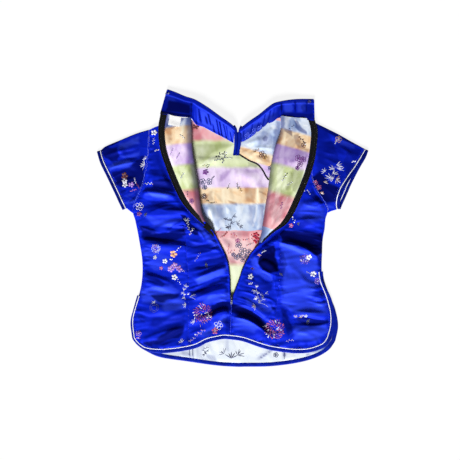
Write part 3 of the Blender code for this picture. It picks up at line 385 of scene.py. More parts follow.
# Smaller creases and ripples beside the largest folds
LEFT_CREASES = [
    Fold(-227, 10, -168, -10, -2, 3.4, 1.5),
    Fold(-218, -25, -115, -40, 2, 3.2, 2.0),
    Fold(-155, -10, -120, 16, 2, 4, 1.6),
    Fold(-175, 55, -120, 59, 2, 3, 1.4),
    Fold(-194, 112, -134, 107, -2, 4, 1.6),
    Fold(-189, 89, -115, 72, 3, 4, -1.4),
    Fold(-171, 43, -97, 38, 1, 3.6, 1.6),
    Fold(-194, 36, -148, 52, 2, 4, 1.3),
    Fold(-161, 6, -115, -1, -2, 5, -1.6),
    Fold(-219, -43, -189, -47, 1, 2.4, 1.1),
    Fold(-217, -54, -194, -52, -1, 2.4, 1.0),
    Fold(-216, -66, -187, -70, 1, 2.6, 1.1),
    Fold(-214, -79, -194, -75, 0, 2.4, 0.9),
    Fold(-211, -105, -141, -128, 3, 4, 1.6),
    Fold(-210, -116, -171, -130, 2, 3.6, -1.2),
    Fold(-210, -138, -180, -132, -1, 3.4, 1.2),
    Fold(-214, -155, -175, -146, 1, 4, 1.2),
    Fold(-227, -199, -198, -215, 1, 3, 0.6),
    Fold(-226, -190, -194, -204, -1, 3.4, -0.7),
    Fold(-168, -217, -109, -194, 4, 6, 1.8),
    Fold(-194, -236, -111, -213, 3, 6, -1.6),
    Fold(-209, -256, -111, -229, 5, 4, 1.8),
    Fold(-171, -270, -143, -261, -2, 2.6, 1.2),
    Fold(-134, -266, -111, -254, 2, 3.4, -1.2),
    Fold(-99, -91, -17, -63, -3, 4, -1.6),
    Fold(-99, -100, -19, -77, -2, 3.2, 1.6),
    Fold(-88, -116, -14, -89, 3, 3.4, 1.5),
    Fold(-104, -141, -56, -125, 1, 2.6, 2.2),
    Fold(-102, -151, -14, -121, 4, 4, -1.8),
    Fold(-92, -164, -12, -137, 5, 4, 1.6),
    Fold(-28, -151, -11, -155, 0, 1.8, 1.0),
    Fold(-33, -162, -12, -166, 0, 2, 1.0),
    Fold(-46, -176, -14, -167, 1, 3, -1.6),
    Fold(-51, -201, -19, -190, 2.4, 2.4, 2.2),
    Fold(-19, -190, -7, -206, 1.6, 2.4, 2.0),
    Fold(-88, -215, -51, -199, 2, 5, 1.5),
    Fold(-102, -243, -65, -233, 2, 3.6, 1.4),
    Fold(-65, -240, -19, -227, 3, 5, -1.3),
    Fold(-106, 1, -72, -10, 1, 3, 1.4),
    Fold(-86, -6, -69, -26, 3, 2.6, 1.8),
    Fold(-106, -26, -69, -33, -2, 4, 1.6),
    Fold(-102, -45, -51, -36, 2, 4, -1.3),
    Fold(-95, -59, -37, -45, -3, 3.6, 1.4),
    Fold(-106, -77, -79, -68, 1, 3, 1.2),
    Fold(-67, -47, -26, -54, 2, 3.6, 1.4),
    Fold(-60, -26, -37, -36, 1, 2.6, 1.2),
    Fold(-203, -176, -161, -192, 4, 7, 1.2),
    Fold(-159, -164, -115, -171, -3, 7, -1.2),
]
RIGHT_CREASES = [
    Fold(98, -29, 151, -40, -2, 3, 1.8),
    Fold(151, -40, 200, -75, 3, 3, 1.8),
    Fold(121, -1, 200, -10, -2, 3.4, 1.5),
    Fold(128, 15, 193, 22, 2, 3.4, 1.2),
    Fold(147, 38, 195, 36, 1, 3, 1.3),
    Fold(161, 56, 197, 49, -1, 2.8, 1.2),
    Fold(179, -22, 200, -29, 0, 2.6, 1.2),
    Fold(177, -40, 200, -47, 1, 2.6, 1.2),
    Fold(50, -61, 62, -91, -2.6, 2.6, 2.0),
    Fold(62, -91, 94, -108, -2, 2.6, 2.2),
    Fold(94, -108, 95, -144, -2, 2.6, 2.0),
    Fold(64, -105, 87, -118, 1, 4, -1.8),
    Fold(55, -77, 82, -49, -3, 4, -2.0),
    Fold(82, -40, 98, -91, 2, 5, -2.0),
    Fold(23, -116, 50, -125, 2, 2.6, 1.4),
    Fold(20, -132, 64, -144, 2, 3, -1.4),
    Fold(13, -144, 55, -158, 3, 2.6, 1.4),
    Fold(4, -158, 41, -171, 2, 2.4, 1.3),
    Fold(2, -167, 36, -178, 1.4, 2.2, -1.2),
    Fold(64, -160, 94, -171, 4, 2.6, 1.4),
    Fold(82, -167, 92, -192, -3, 2.6, 1.2),
    Fold(-3, -204, 36, -213, 2, 2.4, 2.4),
    Fold(36, -213, 78, -245, 3, 2.4, 2.2),
    Fold(13, -190, 64, -227, 4, 3, -1.8),
    Fold(78, -206, 96, -183, 2, 3, 1.3),
    Fold(103, -155, 151, -146, 2, 4, 1.3),
    Fold(103, -169, 142, -176, -2, 4, -1.3),
    Fold(101, -185, 128, -224, 2, 4, 1.8),
    Fold(115, -178, 142, -215, 2, 4, -1.6),
    Fold(140, -201, 213, -215, 2, 2.8, -1.8),
    Fold(144, -222, 213, -220, -2, 3, 1.6),
    Fold(142, -190, 207, -194, -1, 3, 1.3),
    Fold(167, -153, 207, -164, 1, 2.8, 1.2),
    Fold(170, -167, 209, -178, 1, 2.6, 1.2),
    Fold(174, -137, 202, -144, 0, 2.6, 1.1),
    Fold(133, -238, 179, -247, 4, 5, 1.4),
    Fold(124, -252, 151, -233, 3, 5, -1.3),
    Fold(151, -261, 202, -252, -3, 5, 1.2),
    Fold(105, -130, 110, -164, 2, 3, 1.2),
    Fold(133, -91, 165, -128, 4, 6, 1.2),
    Fold(112, -77, 128, -118, 3, 6, -1.1),
    Fold(151, -118, 193, -137, 3, 5, 1.1),
    Fold(13, -91, 41, -77, 1, 2.6, 1.0),
    Fold(27, -68, 50, -49, 1, 2.6, 1.2),
    Fold(64, -22, 110, 3, -2, 3.4, 2.4),
    Fold(64, -33, 101, -17, -2, 4, -1.6),
    Fold(50, -47, 64, -33, 0, 3, 1.4),
]
LEFT_SLEEVE_CREASES = [
    Fold(-299, 167, -217, 185, 3, 4, 1.8),
    Fold(-290, 148, -212, 167, 2, 5, -1.6),
    Fold(-295, 135, -221, 153, 3, 3.4, 1.8),
    Fold(-281, 116, -253, 130, 1, 3, 1.4),
    Fold(-274, 98, -230, 116, 2, 3.6, 1.6),
    Fold(-267, 82, -226, 98, 2, 3, -1.4),
    Fold(-263, 70, -221, 89, 2, 3, 1.5),
    Fold(-253, 59, -226, 68, 0, 2.6, 1.2),
    Fold(-267, 190, -253, 162, 2, 6, 1.6),
    Fold(-240, 206, -203, 197, -2, 5, 1.5),
    Fold(-244, 135, -217, 125, 2, 5, -1.3),
    Fold(-290, 162, -276, 144, 1, 3, 1.2),
]
RIGHT_SLEEVE_CREASES = [
    Fold(193, 227, 239, 213, 2, 4, 1.4),
    Fold(197, 181, 230, 171, -2, 3.4, 1.4),
    Fold(188, 194, 257, 204, 3, 5, -1.3),
    Fold(202, 162, 234, 148, 2, 4, 1.3),
    Fold(239, 190, 271, 162, 3, 5, 1.4),
    Fold(255, 139, 234, 107, 2, 4, -1.4),
    Fold(243, 220, 285, 187, 2, 3.4, 1.2),
    Fold(188, 144, 202, 102, 2, 4, 1.2),
    Fold(207, 93, 230, 75, 1, 3, 1.4),
    Fold(220, 130, 243, 158, 2, 5, 1.2),
    Fold(232, 93, 239, 66, 1, 3, 1.2),
]
LINING_CREASES = [
    Fold(-65, 227, -88, 162, 2, 4, 0.9),
    Fold(-28, 181, -65, 144, 3, 5, 1.0),
    Fold(-46, 139, -37, 89, 1, 3.4, 1.0),
    Fold(-19, 144, -23, 93, -1, 3, 1.0),
    Fold(4, 135, 9, 75, 1, 3.4, 1.0),
    Fold(27, 139, 23, 98, 1, 3, 0.9),
    Fold(50, 135, 46, 66, -1, 4, 1.1),
    Fold(-51, 84, -28, 56, 1, 4, 0.9),
    Fold(-10, 89, -14, 56, 1, 3, 0.9),
    Fold(36, 84, 41, 52, 1, 3, 0.9),
    Fold(-65, 52, -46, 15, 2, 5, 1.2),
    Fold(-42, 52, -23, 6, 2, 5, -0.6),
    Fold(-19, 56, -5, 20, 1, 4, 1.0),
    Fold(13, 52, 9, 1, 2, 5, 1.1),
    Fold(46, 56, 48, -8, 1, 3, 1.2),
    Fold(64, 52, 62, 6, 0, 3, 0.9),
    Fold(-33, -17, -10, -54, 2, 5, 0.9),
    Fold(13, -17, 4, -77, 2, 5, 1.0),
    Fold(36, -26, 23, -63, 1, 4, 0.8),
    Fold(-5, -77, 4, -123, 1, 4, 0.9),
    Fold(-88, 236, -46, 222, 1, 3, 0.9),
    Fold(-83, 222, -28, 210, 1, 3, 0.8),
    Fold(13, 254, 64, 250, 2, 6, 0.8),
    Fold(55, 268, 78, 245, -2, 5, 0.8),
    Fold(-88, -270, -88, -298, 1, 3, 0.8),
    Fold(-65, -266, -51, -293, 1, 5, 0.8),
    Fold(27, -270, 13, -298, 2, 5, 0.8),
    Fold(64, -279, 82, -298, 1, 3, 0.7),
    Fold(128, -284, 151, -289, 1, 3, 0.6),
]
UNDERLAP_CREASES = [
    Fold(30, 190, 62, 206, 2, 6, 1.6),
    Fold(40, 168, 84, 226, -3, 5, 1.4),
    Fold(60, 150, 96, 226, 2, 6, -1.2),
    Fold(50, 186, 92, 182, 2, 4, 1.2),
]

# Seams that shape the backs, from the flap's lower end down to the hem
LEFT_SEAM = [(-115.5, 8), (-113.2, -26.5), (-106.3, -107), (-105.6, -164.5), (-107.4, -268)]
RIGHT_SEAM = [(106, -45), (106, -100), (101.4, -132), (97.3, -169), (93.8, -210), (98.4, -268)]

# Bands of the striped lining: a level and how many bands lie above it
FRONT_BANDS = [
    (262, 0), (201.3, 1), (139.2, 2), (93.2, 3), (56.4, 4), (-5.8, 5), (-84, 6), (-171, 7), (-205, 8),
    (-240, 9), (-330, 10),
]
LEFT_FLAP_BANDS = [(285, 5), (238, 4), (198, 3), (151, 2), (93, 1), (2, 0), (-60, -1)]
RIGHT_FLAP_BANDS = [(275, 5), (232, 4), (198, 3), (156, 2), (90, 1), (8, 0), (-45, -1)]
UNDERLAP_BANDS = [(262, 5), (176, 4), (149.5, 3)]

# Tab in the collar's notch, at its upper end
TAB_TOP_LEVEL = 5.6

# Neck label: its near and far sides from the zip edge, and the share of the back's rows that it covers
LABEL_NEAR = 23.0
LABEL_FAR = 50.0
LABEL_SHARE = 0.047

# Zip slider on the closed end of the opening
SLIDER_X = -6.2
SLIDER_Y = -159.0
SLIDER_WIDTH = 7.4
SLIDER_LENGTH = 12.0
SLIDER_HEIGHT = 2.0
SLIDER_BASE = 4.7
BRIDGE_ROOM = 2.4
PIVOT_HEIGHT = SLIDER_BASE + SLIDER_HEIGHT + BRIDGE_ROOM / 2

# Hook and eye at the two zip ends of the collar
WIRE = 1.0
HOOK_X = -153.0
HOOK_Y = 310.0
EYE_X = 172.0
EYE_Y = 291.0
FASTENER_REACH = 12.0


# Woven motifs: kind, middle, radius, turn in degrees, and the three yarns
LEFT_BACK_MOTIFS = [
    Motif("BLOSSOM", -184, 221, 7, 0, "WHITE LILAC INK"),
    Motif("SPRIG", -184, 201, 8, 80, "WHITE SLATE GOLD"),
    Motif("BUDS", -178, 180, 4, 0, "WHITE WHITE GOLD"),
    Motif("SPRIG", -197, 102, 10, 0, "WHITE OLIVE GOLD"),
    Motif("LOOPS", -218, 51, 10, 0, "WHITE LILAC INK"),
    Motif("BLOSSOM", -219, 34, 6, 0, "PLUM ROSE INK"),
    Motif("FAN", -206, 33, 8, -20, "OLIVE INK OLIVE"),
    Motif("FAN", -111, 17, 12, 70, "SILVER WHITE SILVER"),
    Motif("SPRIG", -104, 6, 10, 100, "SILVER SLATE WHITE"),
    Motif("SPRIG", -97, -8, 10, 60, "WHITE GOLD SILVER"),
    Motif("MUM", -180, -46, 11.5, 90, "SILVER GOLD RUST"),
    Motif("BLOSSOM", -182, -66, 5, 0, "SILVER LILAC WHITE"),
    Motif("BLOSSOM", -140, -58, 8.5, 0, "PEACH GOLD RUST"),
    Motif("BUDS", -130, -46, 9, 30, "WHITE WHITE WHITE"),
    Motif("BLOSSOM", -159, -75, 6, 0, "WHITE SILVER INK"),
    Motif("BUDS", -145, -71, 3, 0, "WHITE WHITE WHITE"),
    Motif("BLOSSOM", -146, -93, 7.5, 0, "LILAC PLUM WHITE"),
    Motif("BLOSSOM", -137, -85, 8, 30, "LILAC ROSE WHITE"),
    Motif("BLOSSOM", -127, -92, 7.5, 60, "LILAC PLUM ROSE"),
    Motif("SPRIG", -121, -99, 7, 0, "SILVER LILAC SILVER"),
    Motif("BLOSSOM", -168, -91, 4.5, 0, "ROSE LILAC WHITE"),
    Motif("BLOSSOM", -137, -112, 7, 0, "WHITE PEACH INK"),
    Motif("BUDS", -128, -123, 7, -60, "WHITE SILVER WHITE"),
    Motif("DASHES", -84, -65, 11, 55, "SILVER SLATE GOLD"),
    Motif("FAN", -67, -84, 9, 10, "OLIVE INK OLIVE"),
    Motif("FAN", -111, -135, 9, 80, "WHITE SILVER SILVER"),
    Motif("BAMBOO", -114, -152, 13, 30, "SILVER WHITE GOLD"),
    Motif("ORCHID", -102, -158, 16, 20, "SILVER OLIVE WHITE"),
    Motif("FAN", -111, -175, 8, 190, "WHITE SILVER SILVER"),
    Motif("RING", -184, -182, 10, 0, "SLATE SLATE WHITE"),
    Motif("FAN", -184, -171, 7, 120, "SILVER WHITE SILVER"),
    Motif("MUM", -72, -194, 24, 60, "PLUM ROSE RUST"),
    Motif("FAN", -92, -216, 9, 150, "WHITE SILVER WHITE"),
    Motif("DASHES", -65, -213, 16, 35, "GOLD RUST GOLD"),
    Motif("SPRIG", -79, -237, 14, -150, "LILAC SILVER WHITE"),
    Motif("SPRIG", -97, -254, 9, -150, "SILVER LILAC SILVER"),
    Motif("LOOPS", -36, -222, 11, 0, "WHITE SILVER INK"),
    Motif("BLOSSOM", -44, -235, 8, 20, "ROSE LILAC WHITE"),
    Motif("FAN", -121, -262, 10, 115, "WHITE SILVER SILVER"),
    Motif("LOOPS", -220, -241, 7, 0, "LILAC SILVER WHITE"),
    Motif("BUDS", -221, -252, 4, 0, "ROSE LILAC WHITE"),
]
RIGHT_BACK_MOTIFS = [
    Motif("BUDS", 138, 21, 7, 110, "WHITE WHITE SILVER"),
    Motif("BLOSSOM", 131, 7, 5.5, 0, "ROSE LILAC WHITE"),
    Motif("FAN", 145, 11, 6, 0, "INK OLIVE INK"),
    Motif("FAN", 58, -59, 6, 250, "PEACH PEACH WHITE"),
    Motif("SPRIG", 68, -54, 6, 30, "SILVER WHITE SILVER"),
    Motif("MUM", 163, -70, 13, 60, "RUST LILAC WHITE"),
    Motif("BLOSSOM", 172, -66, 7, 0, "WHITE SILVER INK"),
    Motif("FAN", 106, -106, 7, 40, "OLIVE INK OLIVE"),
    Motif("BLOSSOM", 182, -104, 7, 0, "WHITE SILVER INK"),
    Motif("SPRIG", 173, -101, 7, 160, "SLATE SILVER SILVER"),
    Motif("LOOPS", 192, -121, 7.5, 0, "LILAC PLUM WHITE"),
    Motif("BLOSSOM", 38, -110, 6.5, 0, "WHITE SILVER INK"),
    Motif("BUDS", 38, -126, 4, 0, "WHITE WHITE WHITE"),
    Motif("FAN", 42, -90, 8, 260, "RUST INK RUST"),
    Motif("BAMBOO", 55, -148, 17, 35, "SILVER WHITE SLATE"),
    Motif("BAMBOO", 66, -160, 16, -10, "SLATE SILVER WHITE"),
    Motif("ORCHID", 55, -171, 22, 25, "SILVER SLATE WHITE"),
    Motif("FAN", 49, -178, 10, 200, "WHITE GOLD SILVER"),
    Motif("FAN", 140, -204, 8, 60, "SILVER GOLD SILVER"),
    Motif("FAN", 154, -205, 9, 100, "GOLD SILVER SILVER"),
    Motif("FAN", 166, -204, 8, 120, "SILVER WHITE SILVER"),
    Motif("FAN", 167, -213, 9, -20, "OLIVE INK OLIVE"),
    Motif("MUM", 93, -231, 25, 80, "PLUM ROSE LILAC"),
    Motif("FAN", 74, -227, 10, 160, "WHITE SILVER WHITE"),
    Motif("SPRIG", 128, -259, 9, 10, "SILVER LILAC SILVER"),
    Motif("BUDS", 169, 85, 8, 150, "SILVER WHITE SILVER"),
]
LEFT_SLEEVE_MOTIFS = [
    Motif("FAN", -206, 146, 13, 165, "WHITE SILVER GOLD"),
    Motif("FAN", -204, 160, 9, 140, "WHITE SILVER SILVER"),
    Motif("BLOSSOM", -252, 122, 8, 0, "RUST ROSE INK"),
    Motif("BLOSSOM", -252, 110, 6.5, 20, "WHITE ROSE INK"),
    Motif("BLOSSOM", -251, 101, 6, 50, "WHITE LILAC INK"),
    Motif("BLOSSOM", -237, 101, 6.5, 0, "LILAC PLUM WHITE"),
    Motif("SPRIG", -227, 110, 7, 100, "WHITE SILVER SILVER"),
    Motif("SPRIG", -223, 98, 8, -60, "RUST ROSE RUST"),
    Motif("SPRIG", -232, 87, 8, 20, "ROSE LILAC ROSE"),
]
RIGHT_SLEEVE_MOTIFS = [
    Motif("LOOPS", 240, 205, 8, 0, "GOLD WHITE SILVER"),
    Motif("SPRIG", 235, 199, 6, 60, "SILVER WHITE GOLD"),
    Motif("BUDS", 275, 154, 4, 0, "WHITE WHITE WHITE"),
    Motif("BAMBOO", 230, 128, 24, 0, "SILVER WHITE GOLD"),
    Motif("FAN", 243, 135, 11, 70, "SILVER WHITE WHITE"),
    Motif("FAN", 209, 131, 10, 130, "SILVER WHITE SILVER"),
    Motif("FAN", 234, 113, 12, -25, "WHITE GOLD SILVER"),
    Motif("FAN", 227, 113, 11, 150, "SILVER WHITE SILVER"),
    Motif("FAN", 209, 105, 7, 60, "SILVER GOLD SILVER"),
    Motif("LOOPS", 187, 106, 5.5, 0, "ROSE PEACH WHITE"),
    Motif("LOOPS", 195, 95, 6, 40, "ROSE PEACH ROSE"),
    Motif("FAN", 202, 80, 6, 60, "WHITE PEACH WHITE"),
]
FRONT_LINING_MOTIFS = [
    Motif("BLOSSOM", -88, 235, 7, 0, "RUST RED INK"),
    Motif("SPRIG", -30, 168, 15, 25, "INK OLIVE WHITE"),
    Motif("SPRIG", -12, 162, 8, 0, "WHITE OLIVE INK"),
    Motif("BLOSSOM", -66, 130, 7, 0, "PLUM LILAC PLUM"),
    Motif("LOOPS", -73, 107, 8.5, 0, "SLATE PLUM INK"),
    Motif("LOOPS", -58, 108, 8, 30, "SLATE INK WHITE"),
    Motif("LOOPS", -68, 95, 6, 60, "SLATE INK INK"),
    Motif("SPRIG", -49, 116, 6, 50, "INK SLATE INK"),
    Motif("SPRIG", 13, 90, 8, -60, "OLIVE GOLD WHITE"),
    Motif("LOOPS", -69, 74, 7, 0, "INK SLATE WHITE"),
    Motif("BUDS", -58, 62, 6, -30, "OLIVE INK GOLD"),
    Motif("BAMBOO", -5, 13, 18, 10, "INK SLATE INK"),
    Motif("FAN", 6, 10, 12, 20, "INK SLATE SLATE"),
    Motif("FAN", -12, 3, 10, 210, "INK INK SLATE"),
    Motif("BLOSSOM", 50, -16, 8, 0, "RED ROSE INK"),
    Motif("BLOSSOM", 52, -27, 8, 40, "RED PLUM ROSE"),
    Motif("BUDS", 42, -20, 6, 120, "RED RED INK"),
    Motif("LOOPS", 10, -38, 8, 0, "SLATE ROSE INK"),
    Motif("LOOPS", 20, -52, 9, 30, "SLATE WHITE INK"),
    Motif("LOOPS", 6, -66, 7, 60, "SLATE RED INK"),
    Motif("LOOPS", 21, -71, 7, 0, "SLATE ROSE INK"),
    Motif("LOOPS", 34, -54, 7, 10, "SLATE PLUM INK"),
    Motif("BUDS", -7, -52, 8, 30, "RED INK ROSE"),
    Motif("DASHES", -23, -15, 9, 35, "RED RUST RED"),
    Motif("DASHES", -20, -12, 6, 60, "RED RED RUST"),
    Motif("DASHES", -36, -5, 7, 40, "RUST RED RED"),
    Motif("BUDS", 0, -14, 7, -30, "RED ROSE RED"),
    Motif("LOOPS", 8, -28, 6, 10, "ROSE SLATE ROSE"),
    Motif("BUDS", 27, -24, 7, 200, "RED SLATE RED"),
    Motif("DASHES", 36, -36, 8, 20, "SLATE RED SLATE"),
    Motif("LOOPS", -2, -60, 5, 0, "SLATE ROSE SLATE"),
    Motif("DASHES", -13, -44, 8, 80, "RED ROSE RED"),
    Motif("LOOPS", 13, -62, 6, 50, "SLATE RED INK"),
    Motif("LOOPS", 27, -64, 5, 20, "SLATE ROSE SLATE"),
    Motif("SPRIG", -22, 160, 12, 70, "SLATE INK OLIVE"),
    Motif("SPRIG", -36, 157, 11, 10, "INK SLATE INK"),
    Motif("BUDS", -66, 145, 6, 20, "OLIVE GOLD SLATE"),
    Motif("BUDS", -60, 141, 6, 50, "SLATE OLIVE INK"),
    Motif("BUDS", -12, 97, 6, 60, "OLIVE INK OLIVE"),
    Motif("SPRIG", 9, 98, 8, 100, "OLIVE SLATE GOLD"),
    Motif("BUDS", -47, 58, 6, 10, "INK OLIVE INK"),
    Motif("FAN", -20, 20, 8, 70, "SLATE INK SLATE"),
    Motif("FAN", 14, 5, 8, -30, "INK SLATE INK"),
    Motif("FAN", -7, -299, 20, 92, "SLATE INK SLATE"),
    Motif("FAN", 8, -292, 15, 50, "INK SLATE OLIVE"),
    Motif("FAN", -24, -288, 13, 130, "SLATE SILVER INK"),
    Motif("BAMBOO", -66, -288, 9, -10, "SLATE INK SLATE"),
    Motif("SPRIG", -67, -279, 9, 30, "SLATE SILVER INK"),
    Motif("LOOPS", 96, -291, 6, 0, "SLATE SILVER INK"),
]
FRONT_LINING_SEAMS = [
    [(-103, -262), (-103, -302)],
    [(-96, -262), (-96, -302)],
    [(115, -262), (115.5, -302)],
]
RIGHT_COLLAR_MOTIFS = [
    Motif("LOOPS", 32, 212, 9, 20, "SKY SKY SKY"),
    Motif("LOOPS", 48, 222, 9, 60, "SKY SKY BLUE"),
    Motif("LOOPS", 60, 231, 7, 0, "SKY SKY SKY"),
]
UNDERLAP_MOTIFS = [
    Motif("LOOPS", 65, 170, 9, 0, "RUST GOLD INK"),
    Motif("BLOSSOM", 71, 163, 6, 0, "GOLD RUST INK"),
    Motif("SPRIG", 52, 178, 9, 30, "RUST GOLD WHITE"),
    Motif("LOOPS", 83, 139, 6, 0, "SLATE PLUM INK"),
]
LEFT_FLAP_MOTIFS = [
    Motif("SPRIG", -120, 210, 8, -40, "OLIVE WHITE GOLD"),
    Motif("DASHES", -144, 176, 8, 70, "LILAC SLATE LILAC"),
    Motif("DASHES", -129, 167, 7, 60, "LILAC LILAC SLATE"),
    Motif("BUDS", -109, 77, 8, 70, "PLUM RED INK"),
    Motif("LOOPS", -98, 63, 6, 0, "PLUM ROSE INK"),
    Motif("SPRIG", -118, 121, 8, 60, "OLIVE SILVER WHITE"),
]
RIGHT_FLAP_MOTIFS = [
    Motif("SPRIG", 155, 201, 13, -45, "RUST INK WHITE"),
    Motif("LOOPS", 159, 191, 6, 0, "RUST WHITE GOLD"),
    Motif("LOOPS", 147, 161, 8, 0, "PLUM SLATE INK"),
    Motif("LOOPS", 158, 159, 7, 30, "PLUM SLATE INK"),
    Motif("LOOPS", 151, 148, 7, 0, "PLUM INK SLATE"),
    Motif("LOOPS", 145, 139, 5, 0, "PLUM INK PLUM"),
    Motif("SPRIG", 117, 117, 12, 60, "WHITE OLIVE INK"),
    Motif("SPRIG", 128, 102, 8, 30, "WHITE OLIVE WHITE"),
    Motif("BUDS", 133, 231, 7, 40, "SLATE SILVER SLATE"),
    Motif("SPRIG", 110, 52, 9, 80, "PLUM ROSE PLUM"),
]


# Painted shade (strength above 0) and painted highlights (below 0) on the cloth, and a few dark seam lines on
# the front lining: softness, strength, outline
LEFT_BACK_PAINTED_LIGHT = [
    PaintedLight(3, 0.85, ((-188, 109), (-171, 113), (-148, 114), (-132, 86), (-145, 84), (-168, 88), (-190, 92))),
    PaintedLight(3, 0.8, (
        (-218, 5), (-198, 4), (-171, -11), (-138, -3), (-112, 4), (-110, -15), (-132, -28), (-158, -35),
        (-188, -31), (-213, -23),
    )),
    PaintedLight(2, 0.95, (
        (-125, 33), (-112, 30), (-99, 12), (-82, -5), (-81, -15), (-91, -15), (-104, -5), (-115, 14),
    )),
    PaintedLight(4, 0.45, ((-105, -31), (-79, -34), (-46, -43), (-53, -56), (-79, -49), (-102, -43))),
    PaintedLight(3, 0.5, ((-59, -67), (-13, -56), (-11, -77), (-36, -81), (-76, -81))),
    PaintedLight(2, 0.6, ((-207, -99), (-188, -107), (-158, -127), (-165, -135), (-188, -123), (-208, -109))),
    PaintedLight(3, 0.8, (
        (-102, -145), (-79, -140), (-46, -122), (-15, -109), (-16, -122), (-46, -130), (-79, -147),
        (-99, -155),
    )),
    PaintedLight(3, 0.85, (
        (-53, -176), (-26, -167), (-8, -168), (-6, -190), (-18, -188), (-36, -191), (-51, -206), (-59, -203),
    )),
    PaintedLight(3, 0.6, ((-26, -203), (-7, -208), (-7, -236), (-20, -226), (-30, -213))),
    PaintedLight(3, 0.85, (
        (-190, -155), (-159, -151), (-123, -148), (-128, -157), (-148, -165), (-169, -171), (-177, -169),
        (-185, -162),
    )),
    PaintedLight(2.4, 0.5, ((-222, -201), (-216, -204), (-201, -212), (-205, -215), (-213, -214), (-221, -207))),
    PaintedLight(3, 0.85, (
        (-114, -219), (-138, -229), (-154, -234), (-179, -254), (-208, -262), (-210, -267), (-198, -269),
        (-169, -266), (-153, -257), (-128, -253), (-114, -234),
    )),
    PaintedLight(4, 0.4, (
        (-187, -207), (-159, -202), (-114, -199), (-114, -213), (-148, -223), (-169, -231), (-184, -230),
        (-194, -222),
    )),
    PaintedLight(4, 0.35, (
        (-193, 217), (-176, 184), (-158, 141), (-148, 117), (-185, 117), (-198, 151), (-195, 184),
    )),
    PaintedLight(3, 0.5, ((-198, 63), (-158, 65), (-129, 51), (-112, 35), (-145, 38), (-185, 51))),
    PaintedLight(5, -0.6, ((-163, -169), (-123, -160), (-114, -164), (-114, -185), (-159, -190), (-167, -180))),
    PaintedLight(3, -0.6, ((-198, 82), (-158, 84), (-142, 77), (-158, 69), (-188, 73))),
    PaintedLight(4, -0.35, ((-205, -77), (-158, -72), (-112, -84), (-129, -100), (-185, -97))),
    PaintedLight(4, -0.35, ((-214, -49), (-188, -48), (-145, -67), (-158, -77), (-201, -69))),
    PaintedLight(3, -0.65, ((-92, -117), (-46, -97), (-16, -87), (-16, -100), (-53, -117), (-82, -130))),
    PaintedLight(5, -0.45, ((-218, -140), (-145, -130), (-125, -143), (-158, -176), (-211, -170))),
    PaintedLight(4, -0.4, ((-211, 32), (-171, 22), (-119, 22), (-145, 5), (-185, 5))),
    PaintedLight(4, -0.4, ((-92, 22), (-59, -8), (-26, -48), (-46, -41), (-79, -15))),
    PaintedLight(3, -0.5, ((-53, -152), (-13, -147), (-10, -163), (-46, -170), (-86, -180))),
    PaintedLight(4, -0.45, ((-99, -252), (-59, -229), (-26, -199), (-10, -196), (-26, -219), (-59, -246))),
]
RIGHT_BACK_PAINTED_LIGHT = [
    PaintedLight(2, 0.95, (
        (104, -15), (113, -3), (151, -6), (203, -10), (204, -57), (190, -62), (164, -44), (134, -33),
        (111, -31),
    )),
    PaintedLight(2.5, 1.0, (
        (58, -64), (65, -49), (91, -38), (95, -49), (94, -67), (102, -84), (102, -97), (84, -102), (65, -94),
        (56, -81),
    )),
    PaintedLight(3, 0.5, ((20, -117), (48, -122), (78, -127), (89, -130), (84, -143), (55, -140), (28, -130))),
    PaintedLight(2.5, 0.95, (
        (-6, -175), (15, -177), (42, -190), (61, -206), (84, -232), (93, -242), (75, -239), (45, -216),
        (18, -203), (-6, -194),
    )),
    PaintedLight(2.5, 0.75, (
        (134, -209), (151, -203), (177, -208), (217, -209), (218, -217), (190, -223), (174, -227),
        (157, -219),
    )),
    PaintedLight(2.5, 0.65, ((106, -180), (121, -188), (127, -213), (136, -239), (124, -246), (113, -219))),
    PaintedLight(3, 0.7, ((161, 84), (180, 86), (198, 70), (207, 60), (190, 61), (174, 75))),
    PaintedLight(2, 0.5, ((28, -100), (42, -100), (50, -130), (35, -120))),
    PaintedLight(2.5, 0.5, ((104, -56), (114, -57), (121, -84), (111, -114), (104, -97))),
    PaintedLight(3, 0.5, ((190, -61), (203, -64), (201, -94), (193, -81))),
    PaintedLight(3, 0.4, ((111, -1), (137, 18), (164, 22), (184, 9), (151, -1))),
    PaintedLight(6, -0.5, (
        (106, -34), (131, -37), (164, -53), (190, -76), (195, -117), (177, -160), (137, -166), (111, -140),
        (114, -81),
    )),
    PaintedLight(5, -0.45, ((108, -140), (177, -166), (210, -173), (215, -199), (144, -196), (111, -176))),
    PaintedLight(5, -0.5, ((137, -226), (210, -223), (217, -236), (190, -259), (137, -256))),
    PaintedLight(5, -0.35, ((144, 65), (207, 51), (207, 22), (177, 12), (137, 35))),
    PaintedLight(4, -0.4, ((-5, -203), (28, -209), (55, -226), (45, -239), (-1, -229))),
    PaintedLight(4, -0.4, ((25, -157), (45, -163), (88, -176), (91, -190), (61, -190), (28, -173))),
    PaintedLight(3, -0.5, ((38, -67), (55, -67), (58, -94), (88, -110), (91, -123), (71, -117), (45, -100))),
]
